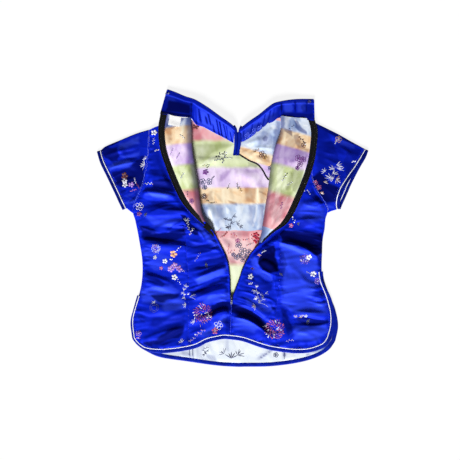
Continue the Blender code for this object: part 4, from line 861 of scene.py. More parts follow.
LEFT_SLEEVE_PAINTED_LIGHT = [
    PaintedLight(3, 0.8, ((-305, 178), (-291, 187), (-270, 187), (-265, 171), (-268, 156), (-283, 155), (-296, 162))),
    PaintedLight(4, 0.85, (
        (-283, 131), (-265, 136), (-241, 141), (-228, 155), (-208, 171), (-208, 94), (-228, 94), (-261, 94),
        (-272, 99), (-274, 110), (-281, 124),
    )),
    PaintedLight(3, 0.75, ((-241, 62), (-228, 77), (-221, 82), (-225, 71), (-232, 64))),
    PaintedLight(3, 0.65, ((-265, 92), (-250, 92), (-243, 87), (-256, 79), (-261, 80))),
    PaintedLight(3, 0.5, ((-265, 182), (-239, 184), (-217, 187), (-217, 180), (-241, 172), (-261, 171))),
    PaintedLight(2, 0.9, ((-308, 180), (-291, 190), (-270, 201), (-265, 199), (-290, 185), (-305, 175))),
    PaintedLight(4, -0.75, (
        (-292, 140), (-278, 149), (-246, 157), (-232, 151), (-243, 142), (-265, 139), (-285, 133),
    )),
    PaintedLight(4, -0.7, (
        (-265, 193), (-243, 201), (-221, 210), (-221, 197), (-237, 189), (-257, 184), (-265, 185),
    )),
    PaintedLight(3, -0.45, ((-261, 167), (-239, 169), (-217, 178), (-217, 171), (-228, 164), (-250, 162))),
    PaintedLight(2.5, -0.6, (
        (-252, 59), (-243, 62), (-228, 68), (-221, 87), (-217, 87), (-225, 65), (-232, 60), (-246, 56),
    )),
    PaintedLight(2.5, -0.4, ((-250, 73), (-232, 84), (-221, 89), (-228, 81), (-241, 74))),
    PaintedLight(12, 0.25, ((-300, 180), (-230, 235), (-190, 240), (-215, 60), (-262, 55))),
]
RIGHT_SLEEVE_PAINTED_LIGHT = [
    PaintedLight(5, 0.6, ((192, 236), (210, 230), (240, 174), (243, 154), (210, 141), (190, 151))),
    PaintedLight(4, 0.95, (
        (177, 117), (197, 134), (220, 104), (241, 94), (235, 61), (212, 58), (193, 75), (182, 98),
    )),
    PaintedLight(4, 0.6, ((259, 184), (296, 184), (276, 141), (259, 111), (250, 151))),
    PaintedLight(5, 0.4, ((240, 200), (296, 184), (243, 111), (190, 117), (190, 151))),
    PaintedLight(2, 0.8, ((193, 240), (243, 215), (306, 185), (302, 180), (243, 207), (193, 233))),
    PaintedLight(3, -0.5, ((195, 65), (210, 55), (230, 51), (231, 47), (217, 48))),
    PaintedLight(3, -0.35, ((236, 210), (276, 193), (276, 184), (243, 193))),
]
LEFT_FLAP_PAINTED_LIGHT = [
    PaintedLight(4, 0.5, ((-161, 264), (-149, 264), (-143, 203), (-153, 203))),
    PaintedLight(4, -0.7, ((-127, 259), (-110, 259), (-110, 216), (-123, 212))),
    PaintedLight(4, -0.4, ((-146, 181), (-131, 181), (-118, 147), (-131, 147))),
    PaintedLight(4, -0.5, ((-127, 143), (-114, 143), (-101, 91), (-112, 91))),
    PaintedLight(5, 0.45, ((-115, 88), (-86, 88), (-81, 38), (-99, 51))),
    PaintedLight(5, 0.3, ((-158, 250), (-145, 250), (-148, 197), (-157, 197))),
    PaintedLight(3, 0.9, ((-160, 269), (-148, 269), (-151, 237), (-160, 224))),
    PaintedLight(3, 0.9, ((-125, 267), (-105, 262), (-110, 254), (-120, 249), (-126, 237))),
    PaintedLight(3, 0.6, ((-151, 238), (-125, 238), (-137, 232), (-158, 224))),
    PaintedLight(2, -1.0, ((-119, 244), (-112, 247), (-114, 222), (-121, 217))),
    PaintedLight(3, -0.5, ((-135, 224), (-125, 227), (-130, 202), (-140, 197))),
    PaintedLight(2, -0.6, ((-140, 187), (-136, 187), (-129, 157), (-132, 157))),
    PaintedLight(3, -0.9, ((-152, 167), (-145, 169), (-137, 137), (-142, 135))),
    PaintedLight(3, 0.4, ((-112, 83), (-97, 75), (-87, 45), (-97, 53))),
    PaintedLight(3, 0.85, (
        (-122.3, 266.7), (-99.4, 261.8), (-99.4, 254.3), (-108.4, 255.5), (-116.8, 248.8), (-121.3, 241.8),
    )),
    PaintedLight(2, 0.75, ((-159.2, 266.7), (-149.7, 266.7), (-150.7, 239.3), (-156.2, 231.8), (-159.7, 236.8))),
]
RIGHT_FLAP_PAINTED_LIGHT = [
    PaintedLight(4, -0.75, (
        (116, 259), (128, 259), (116, 169), (110, 99), (98, 39), (89, 8), (83, 8), (93, 82), (102, 169),
    )),
    PaintedLight(4, -0.7, ((150, 259), (174, 259), (172, 216), (154, 225))),
    PaintedLight(4, 0.3, ((133, 259), (146, 259), (141, 216), (131, 220))),
    PaintedLight(4, -0.5, ((133, 117), (141, 156), (154, 160), (141, 99), (131, 82))),
    PaintedLight(4, -0.6, ((111, 65), (122, 65), (102, 13), (94, 8))),
    PaintedLight(6, 0.5, ((101, 180), (124, 210), (151, 210), (134, 164), (111, 141), (94, 141))),
    PaintedLight(5, 0.4, ((134, 137), (157, 141), (157, 98), (137, 91), (124, 104))),
    PaintedLight(6, 0.5, ((78, 84), (98, 81), (88, 38), (73, 18))),
    PaintedLight(5, 0.35, ((111, 65), (131, 65), (117, 32), (91, 12), (91, 32))),
    PaintedLight(4, 0.4, ((121, 250), (132, 250), (129, 207), (116, 203))),
    PaintedLight(4, 0.3, ((164, 174), (177, 184), (170, 141), (162, 141))),
    PaintedLight(2, 0.75, ((137, 247), (144, 249), (153, 234), (167, 222), (166, 217), (149, 224), (140, 232))),
    PaintedLight(2, 0.8, ((113, 232), (132, 224), (133, 212), (125, 217), (115, 224))),
    PaintedLight(3, 0.65, ((137, 214), (147, 217), (153, 192), (172, 182), (171, 176), (144, 182), (137, 197))),
    PaintedLight(2, -1.0, ((116, 249), (121, 251), (118, 229), (115, 224))),
    PaintedLight(2, -1.0, ((137, 252), (142, 252), (149, 237), (147, 234))),
    PaintedLight(2, -1.0, ((154, 242), (172, 239), (171, 232), (159, 234))),
    PaintedLight(3, 0.6, ((125, 182), (142, 182), (140, 152), (125, 152))),
    PaintedLight(2, -1.0, ((110, 192), (113, 192), (105, 162), (101, 152))),
    PaintedLight(2, -1.0, ((166, 163), (171, 165), (152, 85), (147, 83), (159, 130))),
    PaintedLight(5, 0.5, ((130, 130), (142, 128), (125, 85), (115, 85))),
    PaintedLight(3, 0.5, ((140, 118), (154, 123), (142, 83), (132, 85))),
    PaintedLight(2, -0.9, ((112, 115), (116, 113), (97, 83), (92, 85))),
    PaintedLight(2, -0.8, ((121, 73), (125, 72), (102, 18), (92, 11), (107, 45))),
    PaintedLight(3, 0.5, ((90, 73), (115, 75), (107, 45), (90, 55))),
    PaintedLight(3, 0.4, ((117, 53), (127, 65), (115, 28), (105, 18))),
    PaintedLight(6, 0.6, ((92, 200), (170, 180), (172, 150), (84, 158))),
    PaintedLight(6, 0.3, ((80, 100), (135, 85), (120, 40), (70, 20))),
]
# Painted shade and highlights on the front lining, and dark seam lines across its hem
FRONT_LINING_PAINTED_LIGHT_AND_SEAMS = [
    PaintedLight(5, -0.75, ((-66, 43), (-53, 43), (-40, 8), (-32, -5), (-49, -2), (-62, 17))),
    PaintedLight(5, -0.7, ((3, 56), (16, 56), (25, 13), (12, -5), (1, 21))),
    PaintedLight(4, -0.75, ((59, 52), (68, 52), (66, 0), (53, 0))),
    PaintedLight(4, 0.5, ((-84, 56), (-66, 56), (-62, 21), (-66, 13))),
    PaintedLight(5, 0.35, ((-45, 56), (-23, 56), (-21, 13), (-34, 21))),
    PaintedLight(5, 0.35, ((33, 52), (53, 52), (48, 0), (33, 13))),
    PaintedLight(4, -0.7, ((-60, 86), (-45, 86), (-45, 60), (-62, 60))),
    PaintedLight(4, -0.7, ((-23, 93), (-10, 93), (-8, 60), (-21, 60))),
    PaintedLight(4, -0.7, ((48, 91), (59, 91), (61, 58), (48, 58))),
    PaintedLight(4, 0.25, ((25, 88), (44, 88), (44, 60), (22, 60))),
    PaintedLight(4, -0.7, ((-10, 134), (1, 136), (5, 95), (-10, 95))),
    PaintedLight(4, -0.7, ((68, 134), (89, 108), (85, 91), (57, 99))),
    PaintedLight(5, 0.2, ((-66, 199), (-14, 194), (-75, 151), (-88, 151))),
    PaintedLight(5, -0.5, ((-66, 147), (-14, 169), (46, 162), (46, 147), (-14, 147))),
    PaintedLight(3, -0.8, ((-32, -22), (-1, -26), (3, -48), (-23, -39))),
    PaintedLight(3, -0.8, ((-14, -56), (16, -61), (20, -80), (-10, -76))),
    PaintedLight(3, -0.7, ((38, -13), (48, -48), (29, -56))),
    PaintedLight(3, -0.6, ((-40, -9), (-14, -10), (-19, -17), (-38, -17))),
    PaintedLight(4, -0.5, ((-4, -87), (7, -87), (3, -130), (-4, -143))),
    PaintedLight(4, 0.3, ((-101, 238), (-84, 233), (-66, 203), (-92, 203))),
    PaintedLight(3, 0.3, ((-179, -284), (-101, -281), (-101, -296), (-170, -294))),
    PaintedLight(2, 0.5, ((89, -275), (95, -276), (63, -299), (57, -299))),
    PaintedLight(3, 0.35, ((111, -277), (116, -277), (115, -303), (111, -303))),
    PaintedLight(3, 0.3, ((-88, -268), (-66, -264), (-75, -299), (-90, -299))),
    PaintedLight(2.5, 1.0, (
        (203, -95), (219, -95), (239, -178), (236, -234), (215, -275), (167, -291), (193, -273), (215, -238),
        (219, -178),
    )),
    PaintedLight(5, 0.45, ((-79, 55), (-63, 51), (-56, 5), (-66, 18))),
    PaintedLight(6, 0.3, ((-49, 51), (-30, 51), (-26, -1), (-49, 5))),
    PaintedLight(5, 0.4, ((56, 55), (70, 56), (66, 2), (56, 9))),
    PaintedLight(5, 0.35, ((-101, 207), (-91, 207), (-82, 141), (-91, 141))),
    PaintedLight(5, 0.3, ((56, 104), (75, 104), (75, 65), (61, 58))),
    PaintedLight(8, -0.85, ((-272, -278), (-159, -275), (-5, -234), (190, -275), (190, -347), (-272, -347))),
    PaintedLight(4, 0.85, ((92, 257), (110, 259), (111, 222), (95, 182), (88, 152), (80, 152), (88, 182), (93, 212))),
    PaintedLight(4, 0.4, ((-92, 195), (-23, 198), (-8, 193), (-48, 173), (-82, 150), (-95, 143))),
    PaintedLight(3, -0.8, ((0, 193), (10, 175), (-43, 155), (-82, 140), (-87, 143), (-52, 165), (-28, 178))),
    PaintedLight(3, 0.45, ((32, 153), (57, 148), (50, 140), (30, 141))),
    PaintedLight(3, 0.4, ((-33, 123), (-18, 133), (-8, 133), (-20, 115), (-35, 103))),
    PaintedLight(3, 0.35, ((27, 135), (52, 138), (57, 128), (32, 128))),
    PaintedLight(3, -0.7, ((-57, 130), (-43, 133), (-48, 108), (-57, 103))),
    PaintedLight(3, -0.7, ((2, 120), (17, 125), (17, 98), (5, 98))),
    PaintedLight(3, 0.45, ((-82, 75), (-52, 85), (-48, 65), (-77, 55))),
    PaintedLight(2, -0.8, ((-30, 93), (-20, 93), (-20, 55), (-28, 55))),
    PaintedLight(3, 0.5, ((25, 93), (50, 93), (47, 59), (25, 60))),
    PaintedLight(2, -1.0, ((52, 93), (57, 93), (56, 55), (52, 55))),
    PaintedLight(2, 0.6, ((57, 88), (75, 80), (75, 75), (57, 83))),
    PaintedLight(2, 0.55, ((-15, 65), (7, 60), (7, 52), (-10, 59))),
    PaintedLight(3, 0.5, ((-77, 50), (-62, 50), (-57, 18), (-67, 18))),
    PaintedLight(2, -1.0, ((-60, 43), (-52, 43), (-48, 1), (-54, 1), (-60, 21))),
    PaintedLight(3, 0.5, ((-43, 50), (-23, 50), (-28, 26), (-40, 26))),
    PaintedLight(2, -0.8, ((-20, 53), (-10, 41), (-13, 33), (-20, 33))),
    PaintedLight(2, -0.8, ((7, 53), (25, 53), (17, 31), (10, 31))),
    PaintedLight(3, 0.5, ((32, 55), (47, 55), (42, 26), (35, 26))),
    PaintedLight(2, -1.0, ((49, 55), (55, 55), (53, 31), (46, 8), (41, 3), (47, 31))),
    PaintedLight(3, 0.6, ((57, 55), (71, 55), (67, -4), (57, -4), (61, 26))),
    PaintedLight(2, -0.8, ((-35, 18), (-23, 23), (-20, 3), (-35, 1))),
    PaintedLight(3, 0.35, ((-8, -7), (7, -7), (2, -24), (-8, -22))),
    PaintedLight(3, 0.4, ((-43, -9), (-23, -7), (-28, -17), (-40, -17))),
    PaintedLight(3, 0.3, ((-20, -32), (-3, -29), (-8, -44), (-20, -44))),
    PaintedLight(3, 0.4, ((-13, -67), (0, -67), (-3, -82), (-10, -82))),
    PaintedLight(3, -0.7, ((-35, -22), (-20, -19), (-18, -29), (-28, -32))),
    PaintedLight(3, -0.6, ((42, -24), (57, -29), (42, -49), (32, -49))),
    PaintedLight(1.5, 0.95, ((87.9, -276.8), (92.2, -278.2), (59.2, -301.3), (53.6, -301.9))),
    PaintedLight(3, 0.5, ((80.6, -278.2), (92.2, -278.2), (59.2, -301.9), (47.6, -301.9))),
    PaintedLight(1.5, 0.95, ((113.3, -277.5), (117.6, -278.2), (117.6, -296.7), (113.3, -296.7))),
    PaintedLight(1.5, 0.9, ((-105.5, -279.8), (-100.9, -279.2), (-99.6, -298.0), (-104.2, -298.0))),
    PaintedLight(1.5, 0.6, ((-97.6, -277.5), (-92.3, -276.2), (-91.7, -299.6), (-97.0, -299.6))),
    PaintedLight(3, 0.5, ((-124.0, -282.1), (-105.5, -280.1), (-104.9, -296.7), (-120.7, -294.0))),
    PaintedLight(2, 0.4, ((-64.6, -288.1), (-44.8, -294.7), (-38.2, -306.2), (-51.4, -306.2), (-64.6, -298.0))),
    PaintedLight(2, 0.3, ((-20.1, -255.1), (-11.8, -256.7), (-11.8, -284.8), (-20.1, -278.2))),
    PaintedLight(2, 0.3, ((-77.8, -294.7), (-64.6, -298.0), (-58.0, -306.2), (-77.8, -302.9))),
    PaintedLight(3, -1.0, ((-87.7, -278.2), (-77.8, -273.2), (-58.0, -288.1), (-64.6, -294.7), (-81.1, -291.4))),
    PaintedLight(3, -1.0, ((-58.0, -261.7), (-21.7, -253.4), (-18.4, -281.5), (-31.6, -294.7), (-51.4, -281.5))),
    PaintedLight(3, -1.0, (
        (-5.2, -253.4), (34.4, -261.7), (77.3, -278.2), (47.6, -298.0), (21.2, -294.7), (1.4, -281.5),
    )),
    PaintedLight(3, -1.0, ((93.8, -279.8), (112.0, -281.5), (112.0, -294.7), (77.3, -298.0))),
    PaintedLight(2, -1.0, ((120.2, -282.1), (166.4, -285.4), (143.3, -291.4), (120.2, -294.0))),
    PaintedLight(2, -1.0, ((-163.6, -284.1), (-127.3, -284.1), (-127.3, -291.4), (-150.4, -288.1))),
    PaintedLight(2, 0.5, ((120.2, -285.4), (149.9, -285.4), (149.9, -287.4), (120.2, -288.1))),
    PaintedLight(5, -0.8, (
        (-30.1, -24.3), (-7.6, -19.3), (29.8, -24.3), (42.3, -36.8), (27.3, -64.2), (7.3, -71.7),
        (-7.6, -56.7), (-20.1, -36.8),
    )),
    PaintedLight(5, -0.9, (
        (-10.1, -84.2), (19.8, -84.2), (9.8, -109.1), (1.1, -141.5), (-6.4, -141.5), (-7.6, -109.1),
    )),
    PaintedLight(5, -0.35, (
        (-62.5, 48.0), (-42.5, 53.0), (-12.6, 40.5), (17.3, 43.0), (32.3, 30.5), (52.2, 5.6), (-7.6, -1.9),
        (-42.5, 0.6),
    )),
    PaintedLight(4, -0.5, ((-42.5, 82.9), (-20.1, 90.4), (17.3, 75.4), (22.3, 58.0), (-22.6, 58.0), (-42.5, 65.4))),
    PaintedLight(5, -0.4, (
        (-62.5, 152.7), (-22.6, 170.2), (-2.6, 165.2), (42.3, 145.2), (-7.6, 142.7), (-62.5, 142.7),
    )),
    PaintedLight(5, -0.3, ((-42.5, 132.8), (-7.6, 135.3), (57.2, 130.3), (69.7, 105.3), (32.3, 97.9), (-22.6, 97.9))),
    PaintedLight(4, 0.42, ((-42.5, -5.6), (-22.6, -5.6), (-20.1, -11.9), (-35.0, -16.8))),
    PaintedLight(4, 0.42, ((-27.6, -24.3), (-7.6, -28.1), (-10.1, -39.3), (-22.6, -36.8))),
    PaintedLight(4, 0.42, ((-10.1, -66.7), (2.4, -61.7), (4.9, -81.7), (-7.6, -82.9))),
    PaintedLight(4, 0.4, ((2.4, -6.9), (32.3, -6.9), (29.8, -16.8), (7.3, -18.1))),
]
UNDERLAP_PAINTED_LIGHT = [
    PaintedLight(5, 0.5, ((50, 212), (70, 224), (87, 217), (90, 194), (70, 187), (55, 194))),
    PaintedLight(3, 0.8, ((63, 207), (72, 216), (78, 209), (76, 199), (67, 198))),
    PaintedLight(3, -0.9, ((20, 194), (37, 202), (42, 194), (30, 189))),
    PaintedLight(3, -0.9, ((82, 237), (97, 239), (100, 229), (87, 229))),
    PaintedLight(3, -0.8, ((42, 189), (90, 179), (88, 174), (42, 184))),
    PaintedLight(3, -0.7, ((42, 212), (52, 219), (67, 229), (62, 222), (50, 209))),
    PaintedLight(3, 0.45, ((17, 184), (37, 182), (27, 176), (17, 174))),
    PaintedLight(3, 0.5, ((50, 169), (80, 167), (82, 152), (62, 157))),
    PaintedLight(4, 0.6, ((97, 247), (112, 247), (97, 192), (88, 167), (87, 192))),
]
RIGHT_COLLAR_PAINTED_LIGHT = [
    PaintedLight(4, -0.6, ((115, 288), (135, 290), (133, 267), (116, 264))),
    PaintedLight(4, -0.5, ((144, 292), (163, 292), (162, 267), (146, 267))),
    PaintedLight(1.5, 0.85, ((106, 288), (111, 288), (110, 262), (107, 262))),
    PaintedLight(1.5, 0.75, ((138, 290), (142, 290), (141, 264), (139, 264))),
    PaintedLight(1.5, 0.75, ((165, 292), (169, 292), (167, 257), (164, 257))),
    PaintedLight(2, 0.85, ((108, 264), (130, 261), (172, 254), (174, 248), (130, 256), (108, 258))),
    PaintedLight(3, 0.45, ((17, 224), (77, 244), (90, 267), (92, 259), (80, 237), (22, 197), (15, 202))),
    PaintedLight(6, 0.65, (
        (17.3, 219.4), (67.2, 251.8), (107.1, 279.2), (107.1, 254.3), (67.2, 229.3), (17.3, 199.4),
    )),
    PaintedLight(5, 0.75, ((108.3, 269.2), (139.5, 266.7), (181.9, 266.7), (181.9, 251.8), (108.3, 259.3))),
    PaintedLight(3, 0.5, ((154.5, 287.9), (181.9, 287.9), (181.9, 254.3), (166.9, 254.3), (154.5, 266.7))),
]
LEFT_COLLAR_PAINTED_LIGHT = [
    PaintedLight(5, -0.35, ((-155, 304), (-135, 302), (-137, 292), (-152, 294))),
    PaintedLight(2, 0.9, ((-100, 289), (-96, 288), (-97, 254), (-101, 256))),
    PaintedLight(4, 0.4, ((-137, 287), (-100, 282), (-100, 257), (-137, 264))),
    PaintedLight(6, 0.95, ((-152.2, 297.9), (-98.6, 285.4), (-98.6, 259.3), (-162.2, 266.7))),
]


def smoothstep(value: np.ndarray, low: float, high: float) -> np.ndarray:
    """0 below low, 1 above high, and a smooth rise between."""
    t = np.clip((np.asarray(value, float) - low) / (high - low), 0.0, 1.0)
    return t * t * (3.0 - 2.0 * t)


def between_knots(knots: Sequence, at: np.ndarray) -> np.ndarray:
    """Values on a smooth curve through knots.

    Args:
        knots: rows of values that the curve passes through.
        at: places along the curve, counted in knots from 0.

    Returns:
        One row of values for each place.
    """
    knots = np.asarray(knots, float)
    last = len(knots) - 1
    if last == 1:
        share = np.asarray(at, float)[:, None]
        return knots[0] * (1 - share) + knots[1] * share
    at = np.clip(np.asarray(at, float), 0, last)
    low = np.minimum(at.astype(int), last - 1)
    u = (at - low)[:, None]
    padded = np.vstack([2 * knots[0] - knots[1], knots, 2 * knots[-1] - knots[-2]])
    before, start, end, after = (padded[low + shift] for shift in range(4))
    return 0.5 * (
        2 * start
        + (end - before) * u
        + (2 * before - 5 * start + 4 * end - after) * u**2
        + (3 * start - before - 3 * end + after) * u**3
    )


def reach_along(points: np.ndarray) -> np.ndarray:
    """Distance of each point from the first, along the line through them."""
    steps = np.linalg.norm(np.diff(points, axis=0), axis=1)
    return np.concatenate([[0.0], np.cumsum(steps)])


def along(knots: Sequence, shares: np.ndarray) -> np.ndarray:
    """Points at these shares of the length of a smooth curve through the knots."""
    reach = reach_along(np.asarray(knots, float))
    return between_knots(knots, np.interp(shares, reach / reach[-1], np.arange(len(knots))))


def evenly(line: np.ndarray, step: float) -> np.ndarray:
    """Points about one step apart along a line of points."""
    reach = reach_along(line)
    count = max(int(reach[-1] / step), 2)
    places = np.linspace(0, reach[-1], count + 1)
    return np.stack([np.interp(places, reach, line[:, k]) for k in range(line.shape[1])], axis=1)


def patch(
    left: np.ndarray,
    right: np.ndarray,
    top: np.ndarray,
    bottom: np.ndarray,
    down: np.ndarray,
    across: np.ndarray,
) -> np.ndarray:
    """Plan points of a cloth between four edges.

    Args:
        left: points of the left edge at the shares down.
        right: points of the right edge at the shares down.
        top: points of the top edge at the shares across, which shapes only the rows near it.
        bottom: points of the bottom edge, the same.
        down: shares from the top to the bottom.
        across: shares from the left to the right.

    Returns:
        The plan points, rows by columns.
    """
    s = across[None, :, None]
    t = down[:, None, None]
    straight = left[:, None] * (1 - s) + right[:, None] * s
    top_bow = top - (top[0] * (1 - across[:, None]) + top[-1] * across[:, None])
    bottom_bow = bottom - (bottom[0] * (1 - across[:, None]) + bottom[-1] * across[:, None])
    return straight + (1 - t) ** TOP_BOW_POWER * top_bow[None] + t**BOTTOM_BOW_POWER * bottom_bow[None]


def nearest_on(line: np.ndarray, flat: np.ndarray) -> tuple[np.ndarray, np.ndarray, np.ndarray]:
    """How plan points lie beside a plan line.

    Args:
        line: points of the line.
        flat: the plan points.

    Returns:
        The distance of each point from the line, its side (1 to the left, -1 to the right) and the share of
        the line's points that lie before its nearest spot.
    """
    nearest = np.full(len(flat), 1e9)
    side = np.zeros(len(flat))
    place = np.zeros(len(flat))
    for k in range(len(line) - 1):
        run = line[k + 1] - line[k]
        share = np.clip((flat - line[k]) @ run / (run @ run), 0, 1)
        gap = flat - line[k] - share[:, None] * run
        distance = np.hypot(gap[:, 0], gap[:, 1])
        closer = distance < nearest
        nearest = np.where(closer, distance, nearest)
        side = np.where(closer, np.sign(run[0] * gap[:, 1] - run[1] * gap[:, 0]), side)
        place = np.where(closer, (k + share) / (len(line) - 1), place)
    return nearest, side, place


def relief(plan: np.ndarray, folds: Sequence[Fold]) -> np.ndarray:
    """Heights that the folds give at plan points."""
    flat = plan.reshape(-1, 2)
    total = np.zeros(len(flat))
    steps = np.linspace(0, 1, FOLD_STEPS)[:, None]
    for fold in folds:
        start = np.array([fold.x1, fold.y1], float)
        end = np.array([fold.x2, fold.y2], float)
        margin = 4 * fold.width + abs(fold.bend)
        low = np.minimum(start, end) - margin
        high = np.maximum(start, end) + margin
        close = np.flatnonzero(((flat > low) & (flat < high)).all(axis=1))
        if not len(close):
            continue
        chord = end - start
        aside = np.array([-chord[1], chord[0]]) / np.linalg.norm(chord)
        middle = (start + end) / 2 + 2 * fold.bend * aside
        line = start * (1 - steps) ** 2 + 2 * middle * steps * (1 - steps) + end * steps**2
        nearest, side, place = nearest_on(line, flat[close])
        width = fold.width * (1 + fold.lean * side)
        power = CRISP_POWER if fold.width < CRISP_WIDTH else SOFT_POWER
        taper = np.sqrt(np.clip(np.sin(math.pi * np.clip(place, *FOLD_ENDS)), 0, 1))
        total[close] += fold.height * taper * np.exp(-((nearest / width) ** power))
    return total.reshape(plan.shape[:-1])


def painted_light_at(plan: np.ndarray, painted_light_areas: Sequence[PaintedLight], seed: int = 0) -> np.ndarray:
    """How much painted shade and painted highlight lie on the cloth at plan points.

    Args:
        plan: the points.
        painted_light_areas: the areas of painted shade and painted highlight.
        seed: unevenness of their outlines.

    Returns:
        Two values for each point, 0 to 1: painted shade and painted highlight.
    """
    flat = plan.reshape(-1, 2)
    slanted = flat[:, 0] / OUTLINE_RUNS[0] + flat[:, 1] / OUTLINE_RUNS[1]
    uneven = OUTLINE_WANDER[0] * wander(slanted, seed)
    uneven = uneven + OUTLINE_WANDER[1] * wander(flat[:, 1] / OUTLINE_RUNS[2], seed + 1)
    found = np.zeros((len(flat), 2))
    for area in painted_light_areas:
        outline = np.array([*area.outline, area.outline[0]], float)
        low, high = outline.min(axis=0) - TONE_REACH, outline.max(axis=0) + TONE_REACH
        near = np.all((flat > low) & (flat < high), axis=1)
        points = flat[near]
        inside = np.zeros(len(points), bool)
        for (x1, y1), (x2, y2) in zip(outline[:-1], outline[1:]):
            crosses = (y1 > points[:, 1]) != (y2 > points[:, 1])
            rise = (y2 - y1) if y2 != y1 else 1.0
            inside ^= crosses & (points[:, 0] < (x2 - x1) * (points[:, 1] - y1) / rise + x1)
        distance = nearest_on(outline, points)[0] * np.where(inside, 1, -1)
        distance = distance + uneven[near] * min(area.soft / 3, 1)
        # Channel 0 holds painted shade, channel 1 painted highlight
        channel = 0 if area.strength > 0 else 1
        value = abs(area.strength) * smoothstep(distance, -area.soft, area.soft)
        found[near, channel] = np.maximum(found[near, channel], value)
    return found.reshape(*plan.shape[:-1], 2)


def wander(places: np.ndarray, seed: int) -> np.ndarray:
    """Smooth uneven values between -1 and 1 along a line, one bump about each whole place."""
    knots = np.random.default_rng(seed).uniform(-1, 1, LINE_KNOTS)
    low = np.floor(places).astype(int)
    u = places - low
    u = u * u * (3 - 2 * u)
    return knots[low % LINE_KNOTS] * (1 - u) + knots[(low + 1) % LINE_KNOTS] * u


def ripples(plan: np.ndarray, run: float, spacing: float, turn: float, seed: int) -> np.ndarray:
    """Smooth uneven values between -1 and 1 over a plan, drawn out along one heading.

    Args:
        plan: the plan points.
        run: length of a ripple along its heading.
        spacing: distance between ripples across it.
        turn: the heading, in degrees from X.
        seed: which of many such fields.

    Returns:
        One value for each plan point.
    """
    heading = math.radians(turn)
    u = (plan[..., 0] * math.cos(heading) + plan[..., 1] * math.sin(heading)) / run
    v = (plan[..., 1] * math.cos(heading) - plan[..., 0] * math.sin(heading)) / spacing
    knots = np.random.default_rng(seed).uniform(-1, 1, (FIELD_KNOTS, FIELD_KNOTS))
    u_low, v_low = np.floor(u).astype(int), np.floor(v).astype(int)
    s, t = u - u_low, v - v_low
    s, t = s * s * (3 - 2 * s), t * t * (3 - 2 * t)
    u_low, v_low = u_low % FIELD_KNOTS, v_low % FIELD_KNOTS
    u_next, v_next = (u_low + 1) % FIELD_KNOTS, (v_low + 1) % FIELD_KNOTS
    near = knots[u_low, v_low] * (1 - s) + knots[u_next, v_low] * s
    far = knots[u_low, v_next] * (1 - s) + knots[u_next, v_next] * s
    return near * (1 - t) + far * t


def puckers(
    plan: np.ndarray,
    line: Sequence,
    reach: float,
    spacing: float,
    height: float,
    seed: int,
) -> np.ndarray:
    """Heights of the short uneven creases that a seam draws up, square to it on both sides.

    Args:
        plan: the plan points.
        line: the seam's plan line.
        reach: how far the creases run from the seam.
        spacing: distance between creases along the seam.
        height: their height at the seam.
        seed: which of many such rows of creases.

    Returns:
        One height for each plan point.
    """
    flat = plan.reshape(-1, 2)
    line = np.asarray(line, float)
    distance, side, place = nearest_on(line, flat)
    length = reach_along(line)[-1]
    at = place * length / spacing
    long_reach = reach * (1 + 0.6 * wander(at / 2.3 + 90 * side, seed + 5))
    wave = wander(at + 300 + 150 * side + 0.02 * distance, seed)
    return (height * wave * np.exp(-((distance / long_reach) ** 2))).reshape(plan.shape[:-1])


def spans_between(knots: Sequence[np.ndarray], counts: Sequence[int]) -> np.ndarray:
    """Columns of distances, one value a row: each pair of neighbouring knots is parted into its count."""
    columns = [knots[0][:, None]]
    for near, far, count in zip(knots, knots[1:], counts):
        steps = np.linspace(0, 1, count + 1)[None, 1:]
        columns.append(near[:, None] * (1 - steps) + far[:, None] * steps)
    return np.concatenate(columns, axis=1)


def unit(vectors: np.ndarray) -> np.ndarray:
    """The vectors at length 1."""
    return vectors / np.maximum(np.linalg.norm(vectors, axis=-1, keepdims=True), 1e-9)


def offset_line(points: np.ndarray, distance: float | np.ndarray) -> np.ndarray:
    """A plan line moved sideways to its left by the distance."""
    run = unit(np.gradient(points, axis=0))
    return points + np.stack([-run[:, 1], run[:, 0]], axis=1) * np.reshape(distance, (-1, 1))


def beside(points: np.ndarray, line: np.ndarray, gap: float) -> np.ndarray:
    """Each plan point moved to lie the gap to the left of the nearest spot of a line of plan points."""
    runs = np.diff(line, axis=0)
    moved = []
    for point in points:
        shares = np.clip(((point - line[:-1]) * runs).sum(axis=1) / (runs**2).sum(axis=1), 0, 1)
        spots = line[:-1] + shares[:, None] * runs
        nearest = np.linalg.norm(spots - point, axis=1).argmin()
        heading = unit(runs[nearest])
        moved.append(spots[nearest] + gap * np.array([-heading[1], heading[0]]))
    return np.array(moved)


def with_height(plan: np.ndarray, height: np.ndarray | float) -> np.ndarray:
    """Plan points with their heights."""
    height = np.broadcast_to(height, plan.shape[:-1])
    return np.concatenate([plan, height[..., None]], axis=-1)


def in_metres(points: np.ndarray) -> np.ndarray:
    """Table points in metres, in the frame."""
    return (np.asarray(points, float) - np.array([CENTRE_X, CENTRE_Y, 0.0])) * MM


def show(name: str, vertices: np.ndarray, faces: Sequence, finishes: Sequence) -> bpy.types.Object:
    """Add a mesh object.

    Args:
        name: the object's name.
        vertices: its points, in metres, in the frame.
        faces: tuples of point numbers.
        finishes: its materials.

    Returns:
        The object, at the origin.
    """
    mesh = bpy.data.meshes.new(name)
    mesh.from_pydata([tuple(v) for v in vertices], [], faces)
    mesh.update()
    for finish in finishes:
        mesh.materials.append(finish)
    made = bpy.data.objects.new(name, mesh)
    bpy.context.scene.collection.objects.link(made)
    return made


def apply_modifiers(made: bpy.types.Object) -> None:
    """Apply every modifier of an object."""
    bpy.ops.object.select_all(action="DESELECT")
    bpy.context.view_layer.objects.active = made
    made.select_set(True)
    for modifier in list(made.modifiers):
        bpy.ops.object.modifier_apply(modifier=modifier.name)
    made.select_set(False)


